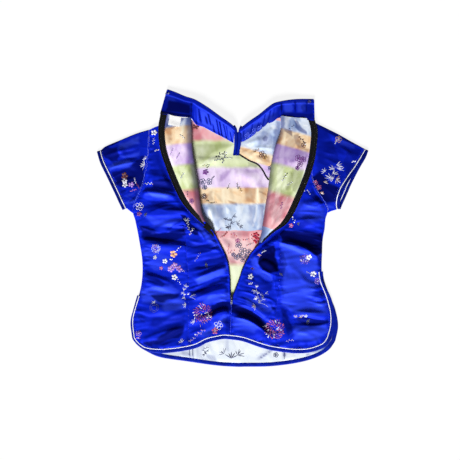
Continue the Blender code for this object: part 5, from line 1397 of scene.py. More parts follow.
def lay_uv(mesh: bpy.types.Mesh, per_point: np.ndarray, name: str = "Cloth") -> None:
    """Give a mesh a layer of coordinates, two values for each point."""
    layer = mesh.uv_layers.new(name=name)
    corners = np.zeros(len(mesh.loops), np.int32)
    mesh.loops.foreach_get("vertex_index", corners)
    layer.data.foreach_set("uv", np.asarray(per_point, np.float32)[corners].ravel())


def cloth(
    name: str,
    grid: np.ndarray,
    uv: np.ndarray,
    thickness: float,
    finish: bpy.types.Material,
    around: bool = False,
    shade: np.ndarray | None = None,
) -> bpy.types.Object:
    """A closed cloth wall about a grid of points.

    Args:
        name: the object's name.
        grid: points in millimetres, rows by columns.
        uv: two pattern coordinates for each point.
        thickness: the wall's thickness, in millimetres, shared by both sides of the grid.
        finish: its material.
        around: whether the last column joins the first.
        shade: painted shade and painted highlight at each point, both 0 to 1.

    Returns:
        The object.
    """
    rows, columns = grid.shape[:2]
    spans = columns if around else columns - 1
    row = np.arange(rows - 1)[:, None] * columns
    column = np.arange(spans)[None]
    beside_it = (column + 1) % columns
    below = row + columns
    faces = np.stack([row + column, below + column, below + beside_it, row + beside_it], axis=-1)
    made = show(name, in_metres(grid.reshape(-1, 3)), faces.reshape(-1, 4).tolist(), [finish])
    lay_uv(made.data, uv.reshape(-1, 2))
    # The Shade layer carries painted shade and painted highlight to the material
    if shade is not None:
        lay_uv(made.data, shade.reshape(-1, 2), "Shade")
    wall = made.modifiers.new("Wall", "SOLIDIFY")
    wall.thickness = thickness * MM
    wall.offset = 0.0
    apply_modifiers(made)
    point_outwards(made)
    made.data.shade_smooth()
    made.data.set_sharp_from_angle(angle=math.radians(CLOTH_SHARP))
    return made


def point_outwards(made: bpy.types.Object) -> None:
    """Turn the faces of a closed mesh outwards."""
    shape = bmesh.new()
    shape.from_mesh(made.data)
    bmesh.ops.recalc_face_normals(shape, faces=shape.faces)
    shape.to_mesh(made.data)
    shape.free()


def roll(
    name: str,
    line: np.ndarray,
    width: float | np.ndarray,
    thickness: float,
    finish: bpy.types.Material,
    sides: int = 12,
    closed: bool = False,
    lumps: float = 0.0,
    seed: int = 1,
) -> bpy.types.Object:
    """A cord or a folded strip along a line of points, rounded across.

    Args:
        name: the object's name.
        line: the middle of the strip, points in millimetres.
        width: its width in plan, or the width at each point.
        thickness: its thickness.
        finish: its material.
        sides: corners of its section.
        closed: whether the line's end joins its start.
        lumps: how far the strip's tension draws its surface in and out.
        seed: which of many such rows of lumps.

    Returns:
        The object.
    """
    if closed:
        run = unit(np.roll(line, -1, axis=0) - np.roll(line, 1, axis=0))
    else:
        run = unit(np.gradient(line, axis=0))
    aside = unit(np.stack([-run[:, 1], run[:, 0], np.zeros(len(run))], axis=1))
    up = unit(np.cross(run, aside))
    turns = np.linspace(0, 2 * math.pi, sides, endpoint=False)
    squared = np.sign(np.cos(turns)) * np.abs(np.cos(turns)) ** ROLL_POWER
    across = squared[None] * np.reshape(width, (-1, 1)) / 2
    rise = np.sign(np.sin(turns)) * np.abs(np.sin(turns)) ** ROLL_POWER * thickness / 2
    reach = reach_along(line)
    uneven = wander((reach[:, None] + across) / LUMP_RUN, seed) * lumps
    lift = rise[None] + uneven * np.maximum(np.sin(turns), 0)[None]
    grid = line[:, None] + aside[:, None] * across[..., None] + up[:, None] * lift[..., None]
    grid[..., 2] = np.maximum(grid[..., 2], ROLL_FLOOR)
    rows = len(line)
    last = rows if closed else rows - 1
    faces = [
        (
            k * sides + j,
            k * sides + (j + 1) % sides,
            (k + 1) % rows * sides + (j + 1) % sides,
            (k + 1) % rows * sides + j,
        )
        for k in range(last)
        for j in range(sides)
    ]
    if not closed:
        faces += [tuple(range(sides)), tuple(range((rows - 1) * sides, rows * sides))]
    made = show(name, in_metres(grid.reshape(-1, 3)), faces, [finish])
    uv = np.stack(np.broadcast_arrays(reach[:, None] * MM, across * MM), axis=-1)
    lay_uv(made.data, uv.reshape(-1, 2))
    point_outwards(made)
    made.data.shade_smooth()
    made.data.set_sharp_from_angle(angle=math.radians(STRIP_SHARP))
    return made


def arc_uv(grid: np.ndarray) -> np.ndarray:
    """Pattern coordinates in metres of cloth: across from the first column and down from the first row."""
    across = np.concatenate(
        [np.zeros((len(grid), 1)), np.cumsum(np.linalg.norm(np.diff(grid, axis=1), axis=-1), axis=1)], axis=1
    )
    down = np.concatenate(
        [np.zeros((1, grid.shape[1])), np.cumsum(np.linalg.norm(np.diff(grid, axis=0), axis=-1), axis=0)]
    )
    return np.stack([across, down.mean(axis=1, keepdims=True) + 0 * down], axis=-1) * MM


def dress(
    made: bpy.types.Object,
    replaces: Sequence[str] = (),
    body: str = GARMENT,
) -> bpy.types.Object:
    """Set a piece on its body, hide the nodes that it stands for, and report it."""
    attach(made, body)
    if replaces:
        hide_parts(*replaces)
    LOG.info("%s: %d faces", made.name, len(made.data.polygons))
    return made


class Nodes:
    """Adds and joins the nodes of one tree."""

    def __init__(self, tree: bpy.types.NodeTree) -> None:
        """Work on this tree."""
        self.tree = tree

    def add(self, kind: str, values: dict | None = None, **settings: object) -> bpy.types.Node:
        """Add a node.

        Args:
            kind: its type name, without the ShaderNode at the front.
            values: default values of its inputs, by name or number.
            settings: its other settings.

        Returns:
            The node.
        """
        node = self.tree.nodes.new("ShaderNode" + kind)
        for name, value in settings.items():
            setattr(node, name, value)
        for name, value in (values or {}).items():
            node.inputs[name].default_value = value
        return node

    def join(self, source: bpy.types.NodeSocket, target: bpy.types.NodeSocket) -> None:
        """Link two sockets."""
        self.tree.links.new(source, target)

    def maths(self, operation: str, first: object, second: object = 0.0) -> bpy.types.NodeSocket:
        """The output of a Math node on two numbers or sockets."""
        node = self.tree.nodes.new("ShaderNodeMath")
        node.operation = operation
        for socket, value in zip(node.inputs, (first, second)):
            if isinstance(value, bpy.types.NodeSocket):
                self.join(value, socket)
            else:
                socket.default_value = value
        return node.outputs[0]

    def mix(self, share: object, first: object, second: object) -> bpy.types.NodeSocket:
        """The colour between two colours or colour sockets."""
        node = self.tree.nodes.new("ShaderNodeMix")
        node.data_type = "RGBA"
        for name, value in (("Factor_Float", share), ("A_Color", first), ("B_Color", second)):
            socket = next(s for s in node.inputs if s.identifier == name)
            if isinstance(value, bpy.types.NodeSocket):
                self.join(value, socket)
            else:
                socket.default_value = value
        return next(s for s in node.outputs if s.identifier == "Result_Color")


def linear(red: float, green: float, blue: float) -> tuple[float, float, float, float]:
    """A screen colour of 0 to 255 as the light values that a shader takes."""
    shares = (red / 255, green / 255, blue / 255)
    levels = [c / 12.92 if c <= 0.04045 else ((c + 0.055) / 1.055) ** 2.4 for c in shares]
    return (*levels, 1.0)


def new_group(
    name: str, inputs: dict[str, float], outputs: Sequence[str]
) -> tuple[bpy.types.NodeTree, Nodes]:
    """A shader node group with a Vector input, number inputs with defaults and number outputs."""
    tree = bpy.data.node_groups.new(name, "ShaderNodeTree")
    tree.interface.new_socket("Vector", in_out="INPUT", socket_type="NodeSocketVector")
    for label, value in inputs.items():
        tree.interface.new_socket(label, in_out="INPUT", socket_type="NodeSocketFloat").default_value = value
    for label in outputs:
        tree.interface.new_socket(label, in_out="OUTPUT", socket_type="NodeSocketFloat")
    return tree, Nodes(tree)


# Metres in which the threads' wave repeats at a scale of 1
WAVE_PERIOD = 0.31416


class Effects:
    """The shader node groups that the finishes share."""

    def __init__(self) -> None:
        """Build every group once."""
        self.threads = self.make_threads()
        self.unevenness = self.make_unevenness()
        self.streaks = self.make_streaks()

    def make_threads(self) -> bpy.types.NodeTree:
        """Woven threads: long floats one way, crossed by finer ones."""
        tree, nodes = new_group("woven_threads", {"Warp Pitch": 0.0005, "Weft Pitch": 0.0008}, ["Height"])
        start = tree.nodes.new("NodeGroupInput")
        end = tree.nodes.new("NodeGroupOutput")
        heights = []
        for label, direction in (("Warp Pitch", "X"), ("Weft Pitch", "Y")):
            wave = nodes.add("TexWave", {"Distortion": 0.6, "Detail": 1.0}, bands_direction=direction)
            nodes.join(start.outputs["Vector"], wave.inputs["Vector"])
            nodes.join(nodes.maths("DIVIDE", WAVE_PERIOD, start.outputs[label]), wave.inputs["Scale"])
            heights.append(wave.outputs["Fac"])
        low_weft = nodes.maths("MULTIPLY", heights[1], 0.5)
        nodes.join(nodes.maths("ADD", heights[0], low_weft), end.inputs["Height"])
        return tree

    def make_unevenness(self) -> bpy.types.NodeTree:
        """Soft cloudy variation, from 0 to 1."""
        tree, nodes = new_group("cloth_unevenness", {"Size": 0.05}, ["Value"])
        start = tree.nodes.new("NodeGroupInput")
        end = tree.nodes.new("NodeGroupOutput")
        cloud = nodes.add("TexNoise", {"Detail": 3.0, "Roughness": 0.55})
        nodes.join(start.outputs["Vector"], cloud.inputs["Vector"])
        nodes.join(nodes.maths("DIVIDE", 1.0, start.outputs["Size"]), cloud.inputs["Scale"])
        ramp = nodes.add("MapRange", {"From Min": 0.3, "From Max": 0.7})
        nodes.join(cloud.outputs["Fac"], ramp.inputs["Value"])
        nodes.join(ramp.outputs["Result"], end.inputs["Value"])
        return tree

    def make_streaks(self) -> bpy.types.NodeTree:
        """Soft streaks from 0 to 1, drawn out along the second coordinate."""
        tree, nodes = new_group("soft_streaks", {"Width": 0.006, "Length": 0.6}, ["Value"])
        start = tree.nodes.new("NodeGroupInput")
        end = tree.nodes.new("NodeGroupOutput")
        parts = nodes.add("SeparateXYZ")
        nodes.join(start.outputs["Vector"], parts.inputs[0])
        joined = nodes.add("CombineXYZ")
        nodes.join(nodes.maths("DIVIDE", parts.outputs["X"], start.outputs["Width"]), joined.inputs["X"])
        nodes.join(nodes.maths("DIVIDE", parts.outputs["Y"], start.outputs["Length"]), joined.inputs["Y"])
        cloud = nodes.add("TexNoise", {"Scale": 1.0, "Detail": 2.0, "Roughness": 0.6})
        nodes.join(joined.outputs[0], cloud.inputs["Vector"])
        ramp = nodes.add("MapRange", {"From Min": 0.36, "From Max": 0.74})
        nodes.join(cloud.outputs["Fac"], ramp.inputs["Value"])
        nodes.join(ramp.outputs["Result"], end.inputs["Value"])
        return tree


def placed(
    nodes: Nodes, tree: bpy.types.NodeTree, vector: bpy.types.NodeSocket, **values: float
) -> bpy.types.Node:
    """A group node on a vector, with its own values.

    Args:
        nodes: the material's nodes.
        tree: the group.
        vector: what it reads.
        values: its number inputs, with _ for each space in their names.

    Returns:
        The group node.
    """
    node = nodes.add("Group", node_tree=tree)
    nodes.join(vector, node.inputs["Vector"])
    for name, value in values.items():
        node.inputs[name.replace("_", " ")].default_value = value
    return node


def new_material(name: str) -> tuple[bpy.types.Material, Nodes, bpy.types.Node]:
    """A material with its nodes and its Principled shader."""
    made = bpy.data.materials.new(name)
    made.use_nodes = True
    return made, Nodes(made.node_tree), made.node_tree.nodes["Principled BSDF"]


def bumped(
    nodes: Nodes, shader: bpy.types.Node, height: bpy.types.NodeSocket, depth: float, strength: float
) -> None:
    """Raise a shader's surface by a height of 0 to 1 times the depth, in metres."""
    bump = nodes.add("Bump", {"Distance": depth, "Strength": strength})
    nodes.join(height, bump.inputs["Height"])
    nodes.join(bump.outputs["Normal"], shader.inputs["Normal"])


def painted_light_of(nodes: Nodes) -> tuple[bpy.types.NodeSocket, bpy.types.NodeSocket]:
    """The painted shade and painted highlight of the cloth, from its own Shade layer of coordinates."""
    parts = nodes.add("SeparateXYZ")
    nodes.join(nodes.add("UVMap", uv_map="Shade").outputs["UV"], parts.inputs[0])
    return parts.outputs["X"], parts.outputs["Y"]


@dataclass(frozen=True)
class SatinFinish:
    """Dyed satin: long shining floats, a little uneven in tone, with painted shade and painted sheen laid on
    from its Shade layer.
    """

    name: str
    deep: tuple[float, float, float, float]
    bright: tuple[float, float, float, float]
    gloss_tint: tuple[float, float, float, float]
    # Colours of the painted shade and the painted sheen
    painted_shade_colour: tuple[float, float, float, float] = linear(4, 8, 74)
    painted_sheen: tuple[float, float, float, float] = linear(56, 84, 252)
    metallic: float = 0.12
    roughness: float = 0.5
    gloss: float = 0.28
    pitch: float = 0.0007
    weave_depth: float = 0.00004

    def make(self, effects: Effects) -> bpy.types.Material:
        """Build the material.

        Args:
            effects: the shared groups.

        Returns:
            The material.
        """
        made, nodes, shader = new_material(self.name)
        pattern = nodes.add("UVMap", uv_map="Cloth").outputs["UV"]
        cloud = placed(nodes, effects.unevenness, pattern, Size=0.03)
        yarn = nodes.mix(cloud.outputs["Value"], self.deep, self.bright)
        # Painted sheen, then painted shade, over the yarn's own colour
        share, painted_highlight = painted_light_of(nodes)
        painted_sheen = nodes.mix(painted_highlight, yarn, self.painted_sheen)
        nodes.join(nodes.mix(share, painted_sheen, self.painted_shade_colour), shader.inputs["Base Color"])
        shader.inputs["Metallic"].default_value = self.metallic
        shader.inputs["Roughness"].default_value = self.roughness
        shader.inputs["Specular Tint"].default_value = self.gloss_tint
        # The painted shade also takes away gloss
        nodes.join(
            nodes.maths("MULTIPLY", nodes.maths("SUBTRACT", 1.0, share), self.gloss),
            shader.inputs["Specular IOR Level"],
        )
        weave = placed(nodes, effects.threads, pattern, Warp_Pitch=self.pitch, Weft_Pitch=self.pitch * 1.6)
        bumped(nodes, shader, weave.outputs["Height"], self.weave_depth, 0.6)
        return made


STRIPE_COLOURS = (
    linear(230, 150, 158),
    linear(196, 208, 146),
    linear(208, 180, 228),
    linear(236, 194, 146),
    linear(168, 190, 226),
)
# Paler colours of the bands, which the streaks and the painted highlights mix in
STRIPE_PALES = (
    linear(244, 214, 214),
    linear(240, 246, 216),
    linear(246, 232, 252),
    linear(252, 242, 214),
    linear(238, 245, 253),
)


@dataclass(frozen=True)
class LiningFinish:
    """Pale brocade woven in bands of five colours, with painted shade and painted highlights from its Shade
    layer. V counts bands, so it follows the cloth.
    """

    name: str
    metallic: float = 0.02
    roughness: float = 0.56
    blur: float = 0.07
    # Painted shade: dark blue at full strength, a cooler tint at half, and how far the yarn deepens in it
    painted_shade: tuple[float, float, float, float] = (0.1, 0.1, 0.3, 1.0)
    painted_shade_tint: tuple[float, float, float, float] = (0.70, 0.68, 0.76, 1.0)
    painted_shade_deepening: float = 0.6
    wobble_width: float = 0.03
    wobble_length: float = 3.0
    wobble: float = 0.05
    streak_width: float = 0.034
    streak_length: float = 0.8

    def bands(self, nodes: Nodes, place: bpy.types.NodeSocket, colours: Sequence) -> bpy.types.NodeSocket:
        """The band's colour at a place of 0 to 1 through the five.

        Args:
            nodes: the material's nodes.
            place: where in the repeat.
            colours: the five colours.

        Returns:
            The colour socket.
        """
        ramp = nodes.add("ValToRGB")
        stops = ramp.color_ramp.elements
        count = len(colours)
        stops[0].position = self.blur / count
        stops[0].color = colours[0]
        stops[1].position = (1 - self.blur) / count
        stops[1].color = colours[0]
        for k, colour in enumerate(colours[1:], start=1):
            for share in (self.blur, 1 - self.blur):
                stop = stops.new((k + share) / count)
                stop.color = colour
        nodes.join(place, ramp.inputs["Fac"])
        return ramp.outputs["Color"]

    def make(self, effects: Effects) -> bpy.types.Material:
        """Build the material.

        Args:
            effects: the shared groups.

        Returns:
            The material.
        """
        made, nodes, shader = new_material(self.name)
        pattern = nodes.add("UVMap", uv_map="Cloth").outputs["UV"]
        parts = nodes.add("SeparateXYZ")
        nodes.join(pattern, parts.inputs[0])
        uneven = placed(nodes, effects.streaks, pattern, Width=self.wobble_width, Length=self.wobble_length)
        shift = nodes.maths("MULTIPLY", uneven.outputs["Value"], self.wobble)
        moved = nodes.maths("ADD", parts.outputs["Y"], shift)
        place = nodes.maths("FRACT", nodes.maths("DIVIDE", moved, float(len(STRIPE_COLOURS))))
        full = self.bands(nodes, place, STRIPE_COLOURS)
        pale = self.bands(nodes, place, STRIPE_PALES)
        # Pale streaks: uneven tone, and partly a painted sheen
        streak = placed(nodes, effects.streaks, pattern, Width=self.streak_width, Length=self.streak_length)
        share, painted_highlight = painted_light_of(nodes)
        # The streaks and the painted highlights mix the bands towards their pale colours
        yarn = nodes.mix(nodes.maths("MAXIMUM", streak.outputs["Value"], painted_highlight), full, pale)
        # Painted shade: up to half strength the yarn deepens and cools, above it turns towards dark blue
        deepest = nodes.add("VectorMath", operation="MULTIPLY")
        nodes.join(yarn, deepest.inputs[0])
        nodes.join(yarn, deepest.inputs[1])
        doubled = nodes.maths("MULTIPLY", share, 2.0)
        first_half = nodes.maths("MINIMUM", doubled, 1.0)
        second_half = nodes.maths("MAXIMUM", nodes.maths("SUBTRACT", doubled, 1.0), 0.0)
        deepened_in_painted_shade = nodes.mix(self.painted_shade_deepening, yarn, deepest.outputs["Vector"])
        yarn = nodes.mix(first_half, yarn, deepened_in_painted_shade)
        painted_shade_tint = nodes.mix(first_half, (1.0, 1.0, 1.0, 1.0), self.painted_shade_tint)
        painted_shade = nodes.mix(second_half, painted_shade_tint, self.painted_shade)
        product = nodes.add("VectorMath", operation="MULTIPLY")
        nodes.join(yarn, product.inputs[0])
        nodes.join(painted_shade, product.inputs[1])
        nodes.join(product.outputs["Vector"], shader.inputs["Base Color"])
        shader.inputs["Metallic"].default_value = self.metallic
        shader.inputs["Roughness"].default_value = self.roughness
        weave = placed(nodes, effects.threads, pattern, Warp_Pitch=0.0008, Weft_Pitch=0.02)
        bumped(nodes, shader, weave.outputs["Height"], 0.00005, 0.5)
        return made


@dataclass(frozen=True)
class WovenFinish:
    """A plain matt or silky yarn, woven or laid side by side."""

    name: str
    colour: tuple[float, float, float, float]
    shade: tuple[float, float, float, float]
    roughness: float = 0.6
    metallic: float = 0.0
    gloss: float = 0.5
    pitch: float = 0.0009
    depth: float = 0.00012

    def make(self, effects: Effects) -> bpy.types.Material:
        """Build the material.

        Args:
            effects: the shared groups.

        Returns:
            The material.
        """
        made, nodes, shader = new_material(self.name)
        pattern = nodes.add("UVMap", uv_map="Cloth").outputs["UV"]
        cloud = placed(nodes, effects.unevenness, pattern, Size=0.006)
        nodes.join(nodes.mix(cloud.outputs["Value"], self.colour, self.shade), shader.inputs["Base Color"])
        shader.inputs["Metallic"].default_value = self.metallic
        shader.inputs["Roughness"].default_value = self.roughness
        shader.inputs["Specular IOR Level"].default_value = self.gloss
        weave = placed(nodes, effects.threads, pattern, Warp_Pitch=self.pitch, Weft_Pitch=self.pitch)
        bumped(nodes, shader, weave.outputs["Height"], self.depth, 0.8)
        return made


@dataclass(frozen=True)
class MetalFinish:
    """Dark lacquered metal, rubbed to bare metal in places."""

    name: str
    lacquer: tuple[float, float, float, float]
    bare: tuple[float, float, float, float]
    roughness: float = 0.32

    def make(self, effects: Effects) -> bpy.types.Material:
        """Build the material.

        Args:
            effects: the shared groups.

        Returns:
            The material.
        """
        made, nodes, shader = new_material(self.name)
        place = nodes.add("TexCoord").outputs["Object"]
        rubbed = placed(nodes, effects.unevenness, place, Size=0.0016)
        worn = nodes.maths("POWER", rubbed.outputs["Value"], 3.0)
        nodes.join(nodes.mix(worn, self.lacquer, self.bare), shader.inputs["Base Color"])
        shader.inputs["Metallic"].default_value = 0.9
        rough = nodes.maths("ADD", nodes.maths("MULTIPLY", rubbed.outputs["Value"], 0.15), self.roughness)
        nodes.join(rough, shader.inputs["Roughness"])
        bumped(nodes, shader, rubbed.outputs["Value"], 0.00003, 0.4)
        return made


class Thread(Enum):
    """Colours of the brocade's figuring yarns, as screen colours: the yarn and its shade."""

    WHITE = ((244, 244, 250), (214, 216, 236))
    SILVER = ((206, 208, 222), (150, 156, 190))
    GOLD = ((214, 176, 116), (150, 110, 70))
    ROSE = ((204, 108, 158), (150, 62, 120))
    LILAC = ((200, 156, 232), (140, 96, 196))
    PLUM = ((132, 66, 150), (84, 36, 112))
    PEACH = ((246, 196, 150), (214, 140, 100))
    RUST = ((112, 60, 52), (74, 36, 34))
    INK = ((52, 48, 78), (28, 24, 44))
    SLATE = ((104, 112, 150), (70, 76, 112))
    OLIVE = ((108, 118, 84), (66, 74, 48))
    RED = ((206, 52, 70), (150, 30, 50))
    SKY = ((88, 112, 246), (62, 84, 228))
    BLUE = ((26, 44, 190), (14, 28, 140))
    PITCH = ((44, 44, 50), (26, 26, 30))


@dataclass
class Wardrobe:
    """Every finish of the garment."""

    effects: Effects = field(default_factory=Effects)

    def __post_init__(self) -> None:
        """Build the materials."""
        effects = self.effects
        blue = linear(118, 142, 255)
        self.satin = SatinFinish(
            "royal_blue_satin", linear(4, 28, 190), linear(12, 40, 214), blue
        ).make(effects)
        self.binding = SatinFinish(
            "dark_blue_binding", linear(4, 14, 104), linear(8, 26, 140), blue, pitch=0.0011
        ).make(effects)
        self.band = SatinFinish("band_satin", linear(5, 18, 124), linear(14, 38, 176), blue).make(effects)
        # The underlap's bound edge, drawn near-black so that it also stands for the painted shadow that the
        # edge casts on the lining
        self.dark = WovenFinish(
            "bound_edge_and_painted_shadow", linear(34, 26, 40), linear(18, 14, 26), roughness=0.6, gloss=0.2
        ).make(effects)
        self.lining = LiningFinish("striped_lining").make(effects)
        self.piping = WovenFinish(
            "white_piping", linear(250, 250, 254), linear(226, 230, 246), roughness=0.4, pitch=0.0012
        ).make(effects)
        self.tape = WovenFinish(
            "black_zip_tape", linear(16, 16, 17), linear(8, 8, 10), roughness=0.8, pitch=0.0014, gloss=0.12
        ).make(effects)
        self.coil = WovenFinish(
            "zip_coil", linear(34, 36, 44), linear(20, 20, 26), roughness=0.4
        ).make(effects)
        self.label = WovenFinish(
            "plain_label", linear(255, 254, 253), linear(248, 246, 247), roughness=0.5, depth=0.00004
        ).make(effects)
        self.metal = MetalFinish("lacquered_metal", linear(70, 72, 84), linear(190, 194, 206)).make(effects)
        self.yarns = {
            thread: WovenFinish(
                thread.name.lower() + "_yarn",
                linear(*thread.value[0]),
                linear(*thread.value[1]),
                roughness=0.42,
                pitch=0.0006,
                depth=0.0001,
            ).make(effects)
            for thread in Thread
        }


def closed_side(plan: np.ndarray, side: str) -> np.ndarray:
    """1 at the levels of the closed side seam, 0 above the underarm and below the vent's top."""
    vent = VENT_TOP_LEFT if side == "left" else VENT_TOP_RIGHT
    level = plan[..., 1]
    return smoothstep(level, vent - 4, vent + 10) * (1 - smoothstep(level, UNDERARM_Y - 6, UNDERARM_Y + 8))


def bands_at(bounds: Sequence[tuple[float, float]], levels: np.ndarray) -> np.ndarray:
    """Where levels lie in the lining's bands.

    Args:
        bounds: pairs of a level and the count of bands there.
        levels: the levels to look up.

    Returns:
        The count of bands at each level.
    """
    known = np.array(sorted(bounds), float)
    slope_low = (known[1, 1] - known[0, 1]) / (known[1, 0] - known[0, 0])
    slope_high = (known[-1, 1] - known[-2, 1]) / (known[-1, 0] - known[-2, 0])
    inside = np.interp(levels, known[:, 0], known[:, 1])
    below = known[0, 1] + (levels - known[0, 0]) * slope_low
    above = known[-1, 1] + (levels - known[-1, 0]) * slope_high
    return np.where(levels < known[0, 0], below, np.where(levels > known[-1, 0], above, inside))


@dataclass
class BackPanel:
    """One back: a cloth from the side over the roll to the folded zip edge, and what lies on its flap."""

    side: str
    stations: Sequence[Station]
    hem: Sequence
    shoulder: Sequence
    folds: Sequence[Fold]
    seam: Sequence
    bands: Sequence[tuple[float, float]]
    painted_light_areas: Sequence[PaintedLight]
    flap_painted_light_areas: Sequence[PaintedLight]
    seed: int
    rows: int = 300
    spans: tuple[int, int, int, int] = (100, 10, 22, 6)
    fine: int = 180
    arc: int = 22
    flap: int = 40
    seam_depth: float = 0.9
    seam_width: float = 1.3
    band_tilt: float = 0.2
    free_tape: float = 0.0
    free_tape_lap: float = 2.6
    free_tape_lift: float = 8.6
    free_tape_levels: tuple[float, float] = (-22.0, 2.0)
    gain: float = 1.4
    # Painted shade along the lining's roll: where it fades out, and how dark it starts
    roll_shade: tuple[float, float] = (3.5, 18.0)
    roll_dim: float = 0.78
    open_width: float = 10.0
    bead: float = 1.1
    bead_width: float = 1.5
    bead_place: float = 2.0
    rim: float = 0.7
    broad_ripples: tuple[float, float, float] = (75, 17, -6)
    fine_ripples: tuple[float, float, float] = (34, 8, 8)
    seam_puckers: tuple[float, float, float] = (12, 5.5, 1.2)
    side_puckers: tuple[float, float, float] = (18, 6, 1.5)
    foot_puckers: tuple[float, float, float] = (16, 5.5, 1.3)
    hem_puckers: tuple[float, float, float] = (13, 7, 1.1)
    fine_share: float = 0.65
    long_step: float = 24.0
    short_step: float = 20.0
    drawn_fade: float = 3.5
    groove_fade: tuple[float, float] = (6.0, 20.0)
    rim_place: float = 1.8
    rim_width: float = 1.1
    pattern_length: float = 510.0
    free_tape_inner: float = 1.7
    free_tape_outer: float = 3.4
    free_tape_level: float = 2.85
    free_tape_thickness: float = 0.5
    free_tape_columns: int = 9
    lining_begins: float = 11.0
    lining_roll_fade: tuple[float, float] = (4.0, 16.0)
    lining_tape_fade: tuple[float, float] = (1.5, 9.0)
    lining_waves: tuple[float, float] = (60, 11)
    lining_fine_waves: tuple[float, float] = (24, 6)
    tape_begins: float = 6.0
    bead_fade: tuple[float, float] = (2.0, 12.0)
    normal_step: float = 0.6
    coil_begins: float = 7.0
    coil_inset: float = 1.6
    coil_lift: float = 0.5
    free_coil_begins: float = 4.0
    free_coil_inset: float = 0.9
    free_coil_level: float = 3.4
    stitch_pitch: float = 3.4
    stitch_inset: float = 2.6
    seam_light: float = 1.2
    tape_stitch_pitch: float = 3.2
    tape_stitch_rows: tuple[float, float] = (0.14, 0.62)

    def __post_init__(self) -> None:
        """Work out the panel's rows of points."""
        table = np.array(self.stations, float)
        places = np.linspace(0, len(self.stations) - 1, self.rows)
        values = between_knots(table, places)
        self.side_line, self.roll_line, self.edge_line = values[:, 0:2], values[:, 2:4], values[:, 4:6]
        self.turn = np.radians(np.clip(values[:, 6], 0, 180))
        self.radius = values[:, 7]
        self.out = unit(self.roll_line - self.side_line)
        tuck = self.radius * np.sin(np.minimum(self.turn, math.pi / 2))
        foot = self.roll_line - self.out * tuck[:, None]
        self.down = places / places[-1]
        across = np.linspace(0, 1, self.fine)
        top = along([*self.shoulder[:-1], tuple(foot[0])], across)
        bottom = along(self.hem, across)
        self.plan = patch(self.side_line, foot, top, bottom, self.down, across)
        self.height = self.heights()
        self.points = [self.row(i) for i in range(self.rows)]
        self.measure()

    def heights(self) -> np.ndarray:
        """Heights of the panel's plan points: its puff, folds, ripples, seams and puckered edges."""
        plan = self.plan
        from_side = np.linalg.norm(plan - self.side_line[:, None], axis=-1)
        from_foot = np.linalg.norm(plan - plan[:, -1:], axis=-1)
        outside = -((plan - self.edge_line[:, None]) * self.out[:, None]).sum(axis=-1)
        has_flap = smoothstep(np.degrees(self.turn), *FOLDED_TURNS)[:, None]
        clear = smoothstep(outside, *FLAP_FADE) * has_flap + (1 - has_flap)
        mask = smoothstep(from_side, *SIDE_FADE) * smoothstep(from_foot, *FOOT_FADE) * clear
        swell = BODY_PUFF + self.gain * relief(plan, self.folds)
        fine = ripples(plan, *self.fine_ripples, self.seed + 1)
        swell += ripples(plan, *self.broad_ripples, self.seed) + self.fine_share * fine
        edge = smoothstep(np.minimum(from_side, from_foot), 0.0, self.drawn_fade) * clear
        drawn = puckers(plan, self.seam, *self.seam_puckers, self.seed + 2)
        drawn += puckers(plan, evenly(self.side_line, self.long_step), *self.side_puckers, self.seed + 3)
        drawn += puckers(plan, evenly(plan[:, -1], self.long_step), *self.foot_puckers, self.seed + 4)
        drawn += puckers(plan, evenly(plan[-1], self.short_step), *self.hem_puckers, self.seed + 5)
        near_seam = nearest_on(np.asarray(self.seam, float), plan.reshape(-1, 2))[0].reshape(plan.shape[:-1])
        groove = self.seam_depth * np.exp(-((near_seam / self.seam_width) ** 2))
        groove = groove * smoothstep(from_foot, *self.groove_fade)
        rim = self.rim * np.exp(-(((from_side - self.rim_place) / self.rim_width) ** 2))
        drop = SIDE_SEAM_DROP * closed_side(plan, self.side) * (1 - smoothstep(from_side, *SIDE_SEAM_FADE))
        swelled = np.maximum(mask * np.maximum(swell, 0) + edge * drawn - groove * edge, 0)
        return BACK_LEVEL + swelled * (1 - drop / BACK_LEVEL) + rim - drop

    def row(self, i: int) -> np.ndarray:
        """Fine points of row i: the panel, the roll and the flap."""
        points = with_height(self.plan[i], self.height[i])
        foot = points[-1]
        turn, radius = self.turn[i], self.radius[i]
        if turn < math.radians(LEAST_TURN):
            return points
        out = np.array([*self.out[i], 0.0])
        up = np.array([0.0, 0.0, 1.0])
        angles = np.linspace(0, turn, self.arc)[1:, None]
        arc = foot + radius * (np.sin(angles) * out + (1 - np.cos(angles)) * up)
        start = arc[-1]
        heading = math.cos(turn) * out + math.sin(turn) * up
        rest = np.array([*self.edge_line[i], FLAP_EDGE_LEVEL])
        reach = np.linalg.norm(self.edge_line[i] - start[:2])
        free = start + heading * max(reach, 1.0)
        settled = smoothstep(math.degrees(turn), *RESTING_TURNS)
        end = free * (1 - settled) + rest * settled
        length = np.linalg.norm(end - start)
        leave = heading * length
        arrive = (end - start) * np.array([1.0, 1.0, REST_SLOPE])
        u = np.linspace(0, 1, self.flap)[1:, None]
        flap = (
            (2 * u**3 - 3 * u**2 + 1) * start
            + (u**3 - 2 * u**2 + u) * leave
            + (3 * u**2 - 2 * u**3) * end
            + (u**3 - u**2) * arrive
        )
        return np.vstack([points, arc, flap])

